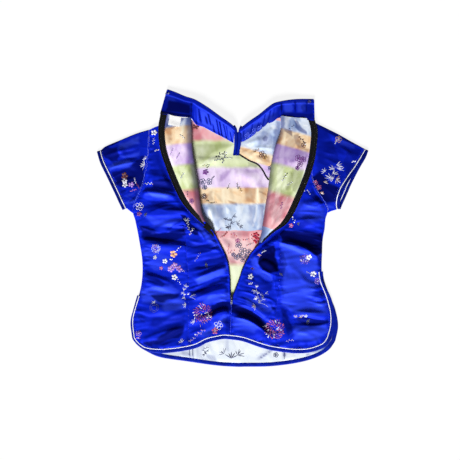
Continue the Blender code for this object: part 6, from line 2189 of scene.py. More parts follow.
    def measure(self) -> None:
        """Distances along each row, and the columns of the wall."""
        self.reach = [reach_along(row) for row in self.points]
        self.total = np.array([reach[-1] for reach in self.reach])
        self.foot_reach = np.array([reach[self.fine - 1] for reach in self.reach])
        self.arc_reach = np.where(self.turn < math.radians(LEAST_TURN), 0.0, self.radius * self.turn)
        self.after = self.total - self.foot_reach
        self.flap_width = self.after - self.arc_reach
        self.tape = np.clip(self.flap_width - TAPE_MARGIN, TAPE_TIP, TAPE_WIDTH)
        self.tape_start = self.total - self.tape
        start = np.zeros(self.rows)
        folded = [start, self.foot_reach, self.foot_reach + self.arc_reach, self.tape_start, self.total]
        open_flat = [start, *(self.total - reach for reach in FREE_EDGE_COLUMNS), self.total]
        share = smoothstep(self.after, *FOLDED_WIDTHS)
        knots = [a * share + b * (1 - share) for a, b in zip(folded, open_flat)]
        columns = spans_between(knots, self.spans)
        self.grid = np.array([self.at(i, columns[i]) for i in range(self.rows)])
        free = 1 - smoothstep(self.after, *self.bead_fade)
        from_edge = self.total[:, None] - columns
        bead = self.bead * np.exp(-(((from_edge - self.bead_place) / self.bead_width) ** 2))
        self.grid[..., 2] += bead * free[:, None]
        lengths = self.down[:, None] * self.pattern_length
        self.uv = np.stack([columns, 0 * columns + lengths], axis=-1) * MM

    def at(self, i: int, distances: np.ndarray) -> np.ndarray:
        """Points of row i at these distances from the side."""
        reach, points = self.reach[i], self.points[i]
        return np.stack([np.interp(distances, reach, points[:, k]) for k in range(3)], axis=-1)

    def strip(self, rows: np.ndarray, distances: np.ndarray, rise: np.ndarray | float) -> np.ndarray:
        """Points of what lies on the flap.

        Args:
            rows: which rows.
            distances: the distances from the side, one line for each row.
            rise: how far the points are moved out from the cloth.

        Returns:
            The points, rows by columns.
        """
        points = np.array([self.at(i, distances[k]) for k, i in enumerate(rows)])
        before = np.array([self.at(i, distances[k] - self.normal_step) for k, i in enumerate(rows)])
        after = np.array([self.at(i, distances[k] + self.normal_step) for k, i in enumerate(rows)])
        normal = unit(np.cross(after - before, np.gradient(points, axis=0)))
        if normal[0, -1, 2] < 0:
            normal = -normal
        return points + normal * np.broadcast_to(rise, distances.shape)[..., None]

    def build_cloth(self, finish: bpy.types.Material) -> bpy.types.Object:
        """The back's own cloth, with painted shade and highlights on the panel and none on the flap."""
        shade = painted_light_at(self.grid[..., :2], self.painted_light_areas, self.seed)
        past_panel = np.arange(self.grid.shape[1])[None] > self.spans[0]
        on_flap = past_panel & (self.after[:, None] > self.open_width)
        shade[on_flap] = 0
        made = cloth(self.side + "_back_satin", self.grid, self.uv, CLOTH, finish, shade=shade)
        return dress(made, ["back_" + self.side])

    def build_lining(self, finish: bpy.types.Material) -> bpy.types.Object:
        """The striped lining on the roll and the flap, creased along its length, with painted shade and
        highlights and painted shade along the roll.
        """
        rows = np.flatnonzero(self.flap_width > self.lining_begins)
        knots = [
            self.foot_reach + self.arc_reach / 4,
            self.foot_reach + self.arc_reach,
            self.tape_start - 2 * SEAM_GAP,
        ]
        distances = spans_between(knots, (12, 46))[rows]
        flat = self.strip(rows, distances, ON_FLAP)
        near_tape = self.tape_start[rows, None] - distances
        past_roll = distances - self.foot_reach[rows, None]
        fade = smoothstep(near_tape, *self.lining_tape_fade) * smoothstep(past_roll, *self.lining_roll_fade)
        heading = 95 if self.side == "left" else 80
        waves = 1.5 * ripples(flat[..., :2], *self.lining_waves, heading, self.seed + 8)
        waves += 0.7 * ripples(flat[..., :2], *self.lining_fine_waves, heading - 25, self.seed + 9)
        self.lining_grid = self.strip(rows, distances, ON_FLAP + np.maximum(waves + 0.5, 0) * fade)
        tilt = self.band_tilt * past_roll
        count = bands_at(self.bands, flat[..., 1] + tilt)
        uv = np.stack([distances * MM, count], axis=-1)
        shade = painted_light_at(flat[..., :2], self.flap_painted_light_areas, self.seed)
        # Painted shade where the lining turns over the roll, fading away from the roll's crown
        past_crown = past_roll - 0.5 * self.arc_reach[rows, None]
        roll_painted_shade = self.roll_dim * (1 - smoothstep(past_crown, *self.roll_shade))
        shade[..., 0] = np.maximum(shade[..., 0], roll_painted_shade)
        made = cloth(self.side + "_flap_lining", self.lining_grid, uv, LINING, finish, shade=shade)
        return dress(made, ["back_lining_" + self.side])

    def build_tape(self, finish: bpy.types.Material) -> bpy.types.Object:
        """The zip tape on the flap, and below it what shows of the tape along the free edge."""
        rows = np.flatnonzero(self.flap_width > self.tape_begins)
        distances = spans_between([self.tape_start, self.total - SEAM_GAP], (10,))[rows]
        grid = self.strip(rows, distances, ON_FLAP)
        made = cloth(self.side + "_zip_tape", grid, arc_uv(grid), LINING, finish)
        self.tape_grid = grid
        return dress(made, ["zip_tape_" + self.side])

    def build_free_tape(self, finish: bpy.types.Material, low_y: float) -> bpy.types.Object:
        """The tape's narrow edge that shows beside the free zip edge, down to the slider."""
        rows = np.flatnonzero((self.flap_width < 7) & (self.edge_line[:, 1] > low_y))
        edge = evenly(self.edge_line[rows], 2.0)
        sign = 1.0 if self.side == "left" else -1.0
        turned = smoothstep(edge[:, 1], *self.free_tape_levels) if self.free_tape else np.zeros(len(edge))
        inner = self.free_tape_inner + self.free_tape * turned
        outer = self.free_tape_outer + self.free_tape_lap * turned
        rise = self.free_tape_level + self.free_tape_lift * turned
        grid = np.stack(
            [
                with_height(offset_line(edge, sign * (share * (inner + outer) - outer)), rise)
                for share in np.linspace(0, 1, self.free_tape_columns)
            ],
            axis=1,
        )
        made = cloth(self.side + "_zip_tape_edge", grid, arc_uv(grid), self.free_tape_thickness, finish)
        return dress(made)

    def coil_line(self, low_y: float) -> np.ndarray:
        """The middle of the zip's coil: on the tape of the flap, then beside the free edge."""
        rows = np.flatnonzero(self.flap_width > self.coil_begins)
        distances = (self.total - self.coil_inset)[rows, None]
        rise = ON_FLAP + LINING / 2 + self.coil_lift
        on_flap = self.strip(rows, np.repeat(distances, 2, axis=1), rise)[:, 0]
        free = np.flatnonzero((self.flap_width < self.free_coil_begins) & (self.edge_line[:, 1] > low_y))
        inset = self.free_coil_inset if self.side == "left" else -self.free_coil_inset
        beside_edge = with_height(offset_line(self.edge_line[free], inset), self.free_coil_level)
        return np.concatenate([on_flap, beside_edge])

    def sew(self, figures: "Figuring") -> None:
        """Draw the princess seam's lit edge and the stitches along the hem."""
        seam = evenly(np.asarray(self.seam, float), 3.0)
        figures.seam_line(offset_line(seam, self.seam_light), 0.6, Thread.BLUE)
        hem = evenly(self.plan[-1], 2.0)
        figures.stitches(offset_line(hem, -self.stitch_inset), self.stitch_pitch, Thread.BLUE)
        vent = evenly(self.side_line[self.side_line[:, 1] < VENT_TOP_RIGHT], 2.0)
        inset = self.stitch_inset if self.side == "left" else -self.stitch_inset
        figures.stitches(offset_line(vent, inset), self.stitch_pitch, Thread.BLUE)

    def sew_tape(self, wardrobe: "Wardrobe", tape: bpy.types.Object) -> bpy.types.Object:
        """The two rows of stitches that hold the zip tape."""
        rows = Figuring(self.side + "_tape_stitches", tape, wardrobe)
        for share in self.tape_stitch_rows:
            column = int(share * (self.tape_grid.shape[1] - 1))
            line = evenly(self.tape_grid[4:-4, column, :2], 2.0)
            rows.stitches(line, self.tape_stitch_pitch, Thread.PITCH)
        return rows.build([], 0, "tape")


def centre_seam(left: "BackPanel", right: "BackPanel", wardrobe: "Wardrobe") -> list[bpy.types.Object]:
    """The closed centre seam below the zip: its pressed allowances, rounded up between both backs."""
    levels = np.arange(SLIDER_Y - 2, left.edge_line[-1, 1], -2.0)
    places = [np.interp(levels, back.edge_line[::-1, 1], back.edge_line[::-1, 0]) for back in (left, right)]
    line = np.stack([(places[0] + places[1]) / 2, levels], axis=1)
    made = roll("centre_seam", with_height(line, BACK_LEVEL), 2.6, 1.6, wardrobe.satin, 8, lumps=0.2, seed=13)
    seam = Figuring("centre_seam_stitches", made, wardrobe)
    seam.seam_line(evenly(line[2:-2], 3.0), 0.7, Thread.SKY)
    return [dress(made), seam.build([], 0, "satin")]


def band_width(x: np.ndarray, narrow: float) -> np.ndarray:
    """Width of a hem's band: narrow at the left vent, full along the hem and at the right vent."""
    return narrow + (HEM_BINDING_WIDTH - narrow) * smoothstep(x, -222.0, -165.0)


@dataclass
class BackHem:
    """The white piping and the dark blue binding round the hem and vents of both backs."""

    left: BackPanel
    right: BackPanel
    cord: float = 2.0
    step: float = 2.4
    narrow: float = 3.8
    vent_run: float = 75.0
    right_draw: float = 8.0
    left_draw: float = 3.0
    vent_slimming: float = 0.5
    vent_lift: float = 1.6
    piping_lift: float = 0.6
    piping_width: float = 2.1
    band_thickness: float = 1.8

    def line(self) -> np.ndarray:
        """A line down the left vent, along the hem and up the right vent."""
        left_vent = self.left.grid[self.left.side_line[:, 1] < VENT_TOP_LEFT][:, 0]
        right_vent = self.right.grid[self.right.side_line[:, 1] < VENT_TOP_RIGHT][:, 0]
        bottom = np.concatenate([self.left.grid[-1], self.right.grid[-1, ::-1]])
        whole = evenly(np.concatenate([left_vent, bottom[1:-1], right_vent[::-1]]), self.step)
        whole[:, 2] = BACK_LEVEL
        return whole

    def beside(self, distance: float | np.ndarray) -> np.ndarray:
        """The hem's line moved outwards by a distance."""
        line = self.line()
        return with_height(offset_line(line[:, :2], -distance), line[:, 2])

    def build(self, wardrobe: Wardrobe) -> None:
        """Build the piping and the binding.

        Args:
            wardrobe: the finishes.
        """
        reach = reach_along(self.line())
        at_right = 1 - smoothstep(reach[-1] - reach, 0.0, self.vent_run)
        at_left = 1 - smoothstep(reach, 0.0, self.vent_run)
        drawn_in = self.right_draw * at_right + self.left_draw * at_left
        slim = 1 - self.vent_slimming * np.maximum(at_right, at_left)
        line = self.beside(SEAM_GAP + HEM_PIPING_WIDTH / 2 - drawn_in)
        line[:, 2] += self.piping_lift + self.vent_lift * np.maximum(at_right, at_left)
        line = evenly(line, self.step)
        size = (self.piping_width, self.cord)
        piping = roll("hem_piping_cord", line, *size, wardrobe.piping, lumps=0.12, seed=3)
        dress(piping, ["back_hem_piping"])
        width = (band_width(self.line()[:, 0], self.narrow) + HEM_PIPING_WIDTH) * slim
        line = self.beside(SEAM_GAP + width / 2 - drawn_in)
        line[:, 2] += self.vent_lift * np.maximum(at_right, at_left)
        size = (width, self.band_thickness)
        binding = roll("back_hem_band", line, *size, wardrobe.band, 16, lumps=0.25, seed=4)
        dress(binding, ["back_hem_binding"])


@dataclass
class FrontPanel:
    """The front under everything: its flat satin, striped lining, hem band, underlap and tab."""

    rows: int = 170
    spans: int = 170
    shell_rows: int = 60
    hem_fade: tuple[float, float] = (12.0, 22.0)
    vent_run: float = 75.0
    band_lap: float = 1.2
    lining_ripple: float = 0.7
    side_inset: float = 6.5
    inset_run: float = 34.0
    deepest: float = -0.4
    waves: tuple[float, float, float] = (60, 12, 86)
    fine_waves: tuple[float, float, float] = (26, 6, 100)
    lap_waves: tuple[float, float, float] = (26, 9, 30)
    tab_waves: tuple[float, float, float] = (12, 5, 60)
    band_step: float = 2.4
    band_narrow: float = 7.0
    band_taper: float = 0.6
    band_rounding: float = 0.6
    band_lift: float = 0.32
    lap_edge_fade: float = 0.15
    lap_edge_size: tuple[float, float] = (3.6, 1.4)
    pleat: float = 0.3
    # Painted shade down the tab's middle, and its width
    pleat_painted_shade: float = 0.7
    pleat_width: float = 0.2
    seed: int = 61

    def plan_points(self, rows: int, spans: int) -> np.ndarray:
        """Plan points of the front inside its hem band."""
        shares = np.linspace(0, 1, rows)
        steps = np.linspace(0, 1, spans + 1)
        return patch(
            along(FRONT_LEFT, shares),
            along(FRONT_RIGHT, shares),
            along(FRONT_TOP, steps),
            along(FRONT_BOTTOM, steps),
            shares,
            steps,
        )

    def shown(self, plan: np.ndarray) -> np.ndarray:
        """1 where the front shows between the backs or below their hem, falling to 0 at their edges."""
        opening = np.ones(plan.shape[:-1])
        for stations, sign in ((LEFT_STATIONS, 1), (RIGHT_STATIONS, -1)):
            rows = np.array([(s.roll_y, s.roll_x) for s in stations][::-1], float)
            edge = np.interp(plan[..., 1], rows[:, 0], rows[:, 1])
            opening = opening * smoothstep(sign * (plan[..., 0] - edge), 3.0, 20.0)
        lap = np.array(UNDERLAP_LOW, float)
        lap_edge = np.interp(plan[..., 0], lap[:, 0], lap[:, 1])
        opening = opening * smoothstep(lap_edge - plan[..., 1], 4.0, 14.0)
        hem = np.array(sorted([*LEFT_HEM, *RIGHT_HEM]), float)
        below = np.interp(plan[..., 0], hem[:, 0], hem[:, 1]) - plan[..., 1]
        lowest = plan[-1, :, 1]
        at_hem = smoothstep(below, *self.hem_fade) * smoothstep(plan[..., 1], lowest, lowest + 4)
        return opening * smoothstep(plan[..., 1], -150, -130) + at_hem

    def drawn_in(self, plan: np.ndarray) -> np.ndarray:
        """The plan of the lining, which stops short of the closed side seams."""
        drawn = plan.copy()
        for side, column, sign in (("left", 0, 1.0), ("right", -1, -1.0)):
            from_side = np.linalg.norm(plan - plan[:, column : column + 1 or None], axis=-1)
            share = closed_side(plan, side) * (1 - smoothstep(from_side, 0.0, self.inset_run))
            drawn[..., 0] += sign * self.side_inset * share
        return drawn

    def build(self, wardrobe: Wardrobe) -> np.ndarray:
        """Build every piece of the front.

        Args:
            wardrobe: the finishes.

        Returns:
            The front's neck and shoulder edge, in plan.
        """
        coarse = self.plan_points(self.shell_rows, self.shell_rows)
        shell_grid = with_height(coarse, SHELL_LEVEL)
        shell = cloth("front_satin", shell_grid, arc_uv(shell_grid), CLOTH, wardrobe.satin)
        dress(shell, ["front_shell"])
        plan = self.drawn_in(self.plan_points(self.rows, self.spans))
        rise = np.maximum(relief(plan, [*LINING_FOLDS, *LINING_CREASES]), self.deepest)
        waves = ripples(plan, *self.waves, self.seed) + 0.5 * ripples(plan, *self.fine_waves, self.seed + 1)
        rise += self.lining_ripple * (waves + 0.3)
        height = LINING_LEVEL + np.maximum(rise, 0) * self.shown(plan)
        grid = with_height(plan, height)
        uv = np.stack([plan[..., 0] * MM, bands_at(FRONT_BANDS, plan[..., 1])], axis=-1)
        # Painted shade and highlights on the lining, and dark seam lines across its hem
        shade = painted_light_at(plan, FRONT_LINING_PAINTED_LIGHT_AND_SEAMS, 7)
        lining = cloth("front_striped_lining", grid, uv, LINING, wardrobe.lining, shade=shade)
        dress(lining, ["front_lining"])
        plan = self.plan_points(self.rows, self.spans)
        left_vent = plan[plan[:, 0, 1] < VENT_TOP_LEFT][:, 0]
        right_vent = plan[plan[:, -1, 1] < VENT_TOP_RIGHT][:, -1]
        line = evenly(np.concatenate([left_vent, plan[-1, 1:-1], right_vent[::-1]]), self.band_step)
        reach = reach_along(line)
        ends = 1 - smoothstep(np.minimum(reach, reach[-1] - reach), 0.0, self.vent_run)
        width = band_width(line[:, 0], self.band_narrow) * (1 - self.band_taper * ends) + 2 * self.band_lap
        middle = offset_line(line, self.band_lap - SEAM_GAP - width / 2)
        band = roll(
            "front_hem_band",
            with_height(middle, FRONT_BINDING_CLOTH / 2 + self.band_lift),
            width,
            FRONT_BINDING_CLOTH + self.band_rounding,
            wardrobe.band,
            16,
            lumps=0.3,
            seed=6,
        )
        dress(band, ["front_hem_binding"])
        figuring = Figuring("front_lining_figures", lining, wardrobe)
        for seam in FRONT_LINING_SEAMS:
            figuring.seam_line(evenly(np.array(seam, float), 3.0), 1.4, Thread.SLATE)
        figures = figuring.build(FRONT_LINING_MOTIFS, 300, "lining")
        self.build_underlap(wardrobe)
        return self.plan_points(24, 24)[0]

    def build_underlap(self, wardrobe: Wardrobe) -> None:
        """The smaller front under the closure, its bound edge, and the tab in the collar's notch."""
        run = np.linspace(0, 1, 90)
        top, low = along(UNDERLAP_TOP, run), along(UNDERLAP_LOW, run)
        across = np.linspace(0, 1, 60)[None, :, None]
        plan = low[:, None] * (1 - across) + top[:, None] * across
        level = LINING_LEVEL + LINING + SEAM_GAP
        fade = smoothstep(np.minimum(across[..., 0], 1 - across[..., 0]), 0.0, self.lap_edge_fade)
        fade = fade * smoothstep(np.minimum(run, 1 - run), 0.0, self.lap_edge_fade)[:, None]
        waves = 0.7 * ripples(plan, *self.lap_waves, self.seed + 10)
        crumple = relief(plan, UNDERLAP_CREASES) + waves + 0.5
        grid = with_height(plan, level + np.maximum(crumple, 0) * fade)
        slanted = plan[..., 1] + 0.3 * (plan[..., 0] - 60)
        uv = np.stack([plan[..., 0] * MM, bands_at(UNDERLAP_BANDS, slanted)], axis=-1)
        # Painted shade and highlights on the underlap
        shade = painted_light_at(plan, UNDERLAP_PAINTED_LIGHT, 8)
        lap = cloth("front_underlap_lining", grid, uv, LINING, wardrobe.lining, shade=shade)
        dress(lap, ["front_underlap"])
        # The bound edge along the underlap's low side, near-black: a binding and a painted shadow in one
        middle = evenly(offset_line(low, -SEAM_GAP - UNDERLAP_EDGE_WIDTH / 2), 1.5)
        line = with_height(middle, level)
        edge = roll("underlap_bound_edge", line, *self.lap_edge_size, wardrobe.dark, lumps=0.3, seed=9)
        dress(edge, ["underlap_edge"])
        figures = Figuring("underlap_figures", lap, wardrobe).build(UNDERLAP_MOTIFS, 400, "lining")
        left_side, right_side = along(TAB_LEFT, run), along(TAB_RIGHT, run)
        across = np.linspace(0, 1, 29)[None, :, None]
        plan = left_side[:, None] * (1 - across) + right_side[:, None] * across
        share = across[..., 0]
        pleat = self.pleat * np.sin(math.pi * share)
        # Painted shade in the valley between the tab's ridges and at its lower end
        pleat_painted_shade = self.pleat_painted_shade * np.exp(-(((share - 0.5) / self.pleat_width) ** 2))
        painted_shade = np.maximum(pleat_painted_shade, smoothstep(run, 0.88, 1.0)[:, None])
        shade = np.stack([painted_shade, 0 * painted_shade], axis=-1)
        tab_level = LINING_LEVEL + (LINING + BINDING_CLOTH) / 2 + SEAM_GAP
        height = np.linspace(TAB_TOP_LEVEL, tab_level, len(run))[:, None] + pleat
        grid = with_height(plan, height + 0.2 * ripples(plan, *self.tab_waves, self.seed + 12))
        tab = cloth("notch_tab", grid, arc_uv(grid), BINDING_CLOTH, wardrobe.satin, shade=shade)
        dress(tab, ["closure_tab"])


@dataclass
class ShortSleeve:
    """A short sleeve: a flattened tube from the armhole to the cuff, its piping and its band."""

    side: str
    armhole: np.ndarray
    top: Sequence
    cuff_upper: Sequence
    cuff_lower: Sequence
    folds: Sequence[Fold]
    motifs: Sequence[Motif]
    painted_light_areas: Sequence[PaintedLight]
    mouth: float
    seed: int
    spans: int = 52
    puff: float = 1.6
    edge: float = 0.16
    tuck: float = 1.4
    armhole_gap: float = 0.5
    lower_gap: float = 0.6
    puff_rise: tuple[float, float] = (14.0, 36.0)
    mouth_rise: tuple[float, float] = (6.0, 50.0)
    waves: tuple[float, float] = (60, 14)
    fine_waves: tuple[float, float] = (26, 7)
    seam_puckers: tuple[float, float, float] = (16, 6, 0.9)
    rim: float = 0.6
    rim_place: float = 1.8
    rim_width: float = 1.1
    piping_size: tuple[float, float] = (2.0, 1.9)
    piping_lift: float = 0.5
    band_spans: int = 16
    band_crown: float = 0.7
    stitch_pitch: float = 3.4
    stitch_inset: float = 2.4

    def __post_init__(self) -> None:
        """Lay out both layers' edges."""
        self.aside = -1 if self.side == "left" else 1
        reach = reach_along(self.armhole)
        self.across = reach / reach[-1]
        self.armhole = self.armhole + np.array([self.armhole_gap * self.aside, 0.0])
        self.upper = along(self.cuff_upper, self.across)
        self.lower = along(self.cuff_lower, self.across)

    def layer(
        self, cuff: np.ndarray, start: float | None, end: float, down: np.ndarray, gap: float
    ) -> np.ndarray:
        """Plan points of one layer.

        Args:
            cuff: the cuff's edge in that layer.
            start: distance from the cuff's edge where the layer starts, or None for the armhole.
            end: distance from the cuff's edge where it ends.
            down: shares between the two.
            gap: how much further out the layer starts at the armhole.

        Returns:
            The points, from the start to the end by across.
        """
        armhole = self.armhole + np.array([gap * self.aside, 0.0])
        near = armhole if start is None else offset_line(cuff, -start * self.aside)
        far = offset_line(cuff, -end * self.aside)
        top = np.array([near[0] * (1 - t) + far[0] * t for t in down])
        low = np.array([near[-1] * (1 - t) + far[-1] * t for t in down])
        if start is None:
            top = along([near[0], *self.top[1:-1], far[0]], down)
        return patch(near, far, top, low, self.across, down).transpose(1, 0, 2)

    def ring(self, start: float | None, end: float, spans: int) -> np.ndarray:
        """Points round the tube between two distances from the cuff's edge."""
        down = np.linspace(0, 1, spans + 1)
        upper = self.layer(self.upper, start, end, down, 0.0)
        lower = self.layer(self.lower, start, end, down, self.lower_gap)
        from_armhole = np.abs(upper[..., 0] - self.armhole[None, :, 0])
        edge = smoothstep(np.minimum(self.across, 1 - self.across), 0.0, self.edge)[None]
        swell = self.puff + relief(upper, self.folds)
        swell += 0.5 * ripples(upper, *self.waves, -30 * self.aside, self.seed)
        swell += 0.3 * ripples(upper, *self.fine_waves, -12 * self.aside, self.seed + 1)
        height = BACK_LEVEL + edge * smoothstep(from_armhole, *self.puff_rise) * np.maximum(swell, 0)
        drawn = puckers(upper, evenly(self.armhole, 20), *self.seam_puckers, self.seed + 2)
        height += np.maximum(drawn, 0) * edge * smoothstep(from_armhole, 0.5, 4)
        height += self.rim * np.exp(-(((from_armhole - self.rim_place) / self.rim_width) ** 2)) * edge
        bulge = np.sin(math.pi * self.across**2)[None]
        height += self.mouth * smoothstep(from_armhole, *self.mouth_rise) * bulge
        return self.round_tube(upper, lower, height, np.full(height.shape, SHELL_LEVEL))

    def round_tube(
        self, upper: np.ndarray, lower: np.ndarray, upper_height: np.ndarray, lower_height: np.ndarray
    ) -> np.ndarray:
        """Points round a flattened tube: the upper layer, then the lower one back."""
        top_edge = (upper[:, :1] + lower[:, :1]) / 2
        low_edge = (upper[:, -1:] + lower[:, -1:]) / 2
        run = unit(upper[:, -1:] - upper[:, :1]) * self.tuck
        middle = (upper_height[:, :1] + lower_height[:, :1]) / 2
        low_middle = (upper_height[:, -1:] + lower_height[:, -1:]) / 2
        upper, lower = upper.copy(), lower.copy()
        for layer in (upper, lower):
            layer[:, 0] += run[:, 0]
            layer[:, -1] -= run[:, 0]
        return np.concatenate(
            [
                with_height(top_edge, middle),
                with_height(upper, upper_height),
                with_height(low_edge, low_middle),
                with_height(lower[:, ::-1], lower_height[:, ::-1]),
            ],
            axis=1,
        )

    def build(self, wardrobe: Wardrobe) -> None:
        """Build the sleeve, its piping and its band.

        Args:
            wardrobe: the finishes.
        """
        piping_far = CUFF_BINDING_WIDTH + LAYER_GAP
        sleeve_far = piping_far + CUFF_PIPING_WIDTH + LAYER_GAP
        grid = self.ring(None, sleeve_far, self.spans)
        # Painted shade and highlights, on the upper layer only
        shade = painted_light_at(grid[..., :2], self.painted_light_areas, self.seed)
        shade[:, grid.shape[1] // 2 + 1 :] = 0
        name = self.side + "_sleeve_satin"
        sleeve = cloth(name, grid, arc_uv(grid), CLOTH, wardrobe.satin, around=True, shade=shade)
        dress(sleeve, ["sleeve_" + self.side])
        middle = self.ring(piping_far + CUFF_PIPING_WIDTH / 2, 0.0, 1)[0]
        middle[:, 2] = np.maximum(middle[:, 2], 1.0)
        middle[: len(middle) // 2, 2] += self.piping_lift
        name = self.side + "_cuff_piping"
        piping = roll(name, middle, *self.piping_size, wardrobe.piping, 10, closed=True, lumps=0.1)
        dress(piping, ["cuff_piping_" + self.side])
        seam_far = sleeve_far - 0.1
        ring = self.ring(seam_far, 0.0, self.band_spans)
        inwards = np.linspace(seam_far, 0, self.band_spans + 1)[:, None]
        under = smoothstep(inwards, CUFF_BINDING_WIDTH - 0.4, CUFF_BINDING_WIDTH + 0.6)
        crown = np.abs(np.sin(2 * math.pi * inwards / CUFF_BINDING_WIDTH)) * (1 - under) - under
        upper_half = np.arange(ring.shape[1]) < ring.shape[1] // 2
        ring[..., 2] += self.band_crown * crown * upper_half[None]
        band = cloth(self.side + "_cuff_band", ring, arc_uv(ring), CLOTH, wardrobe.binding, around=True)
        dress(band, ["cuff_binding_" + self.side])
        figuring = Figuring(self.side + "_sleeve_figures", sleeve, wardrobe)
        seam = evenly(self.armhole + np.array([self.rim_place * self.aside, 0.0]), 3.0)
        figuring.seam_line(seam, 1.2, Thread.SKY)
        hem = offset_line(self.upper, -(sleeve_far + self.stitch_inset) * self.aside)
        figuring.stitches(evenly(hem, 2.0), self.stitch_pitch, Thread.BLUE)
        figures = figuring.build(self.motifs, 500, "satin")


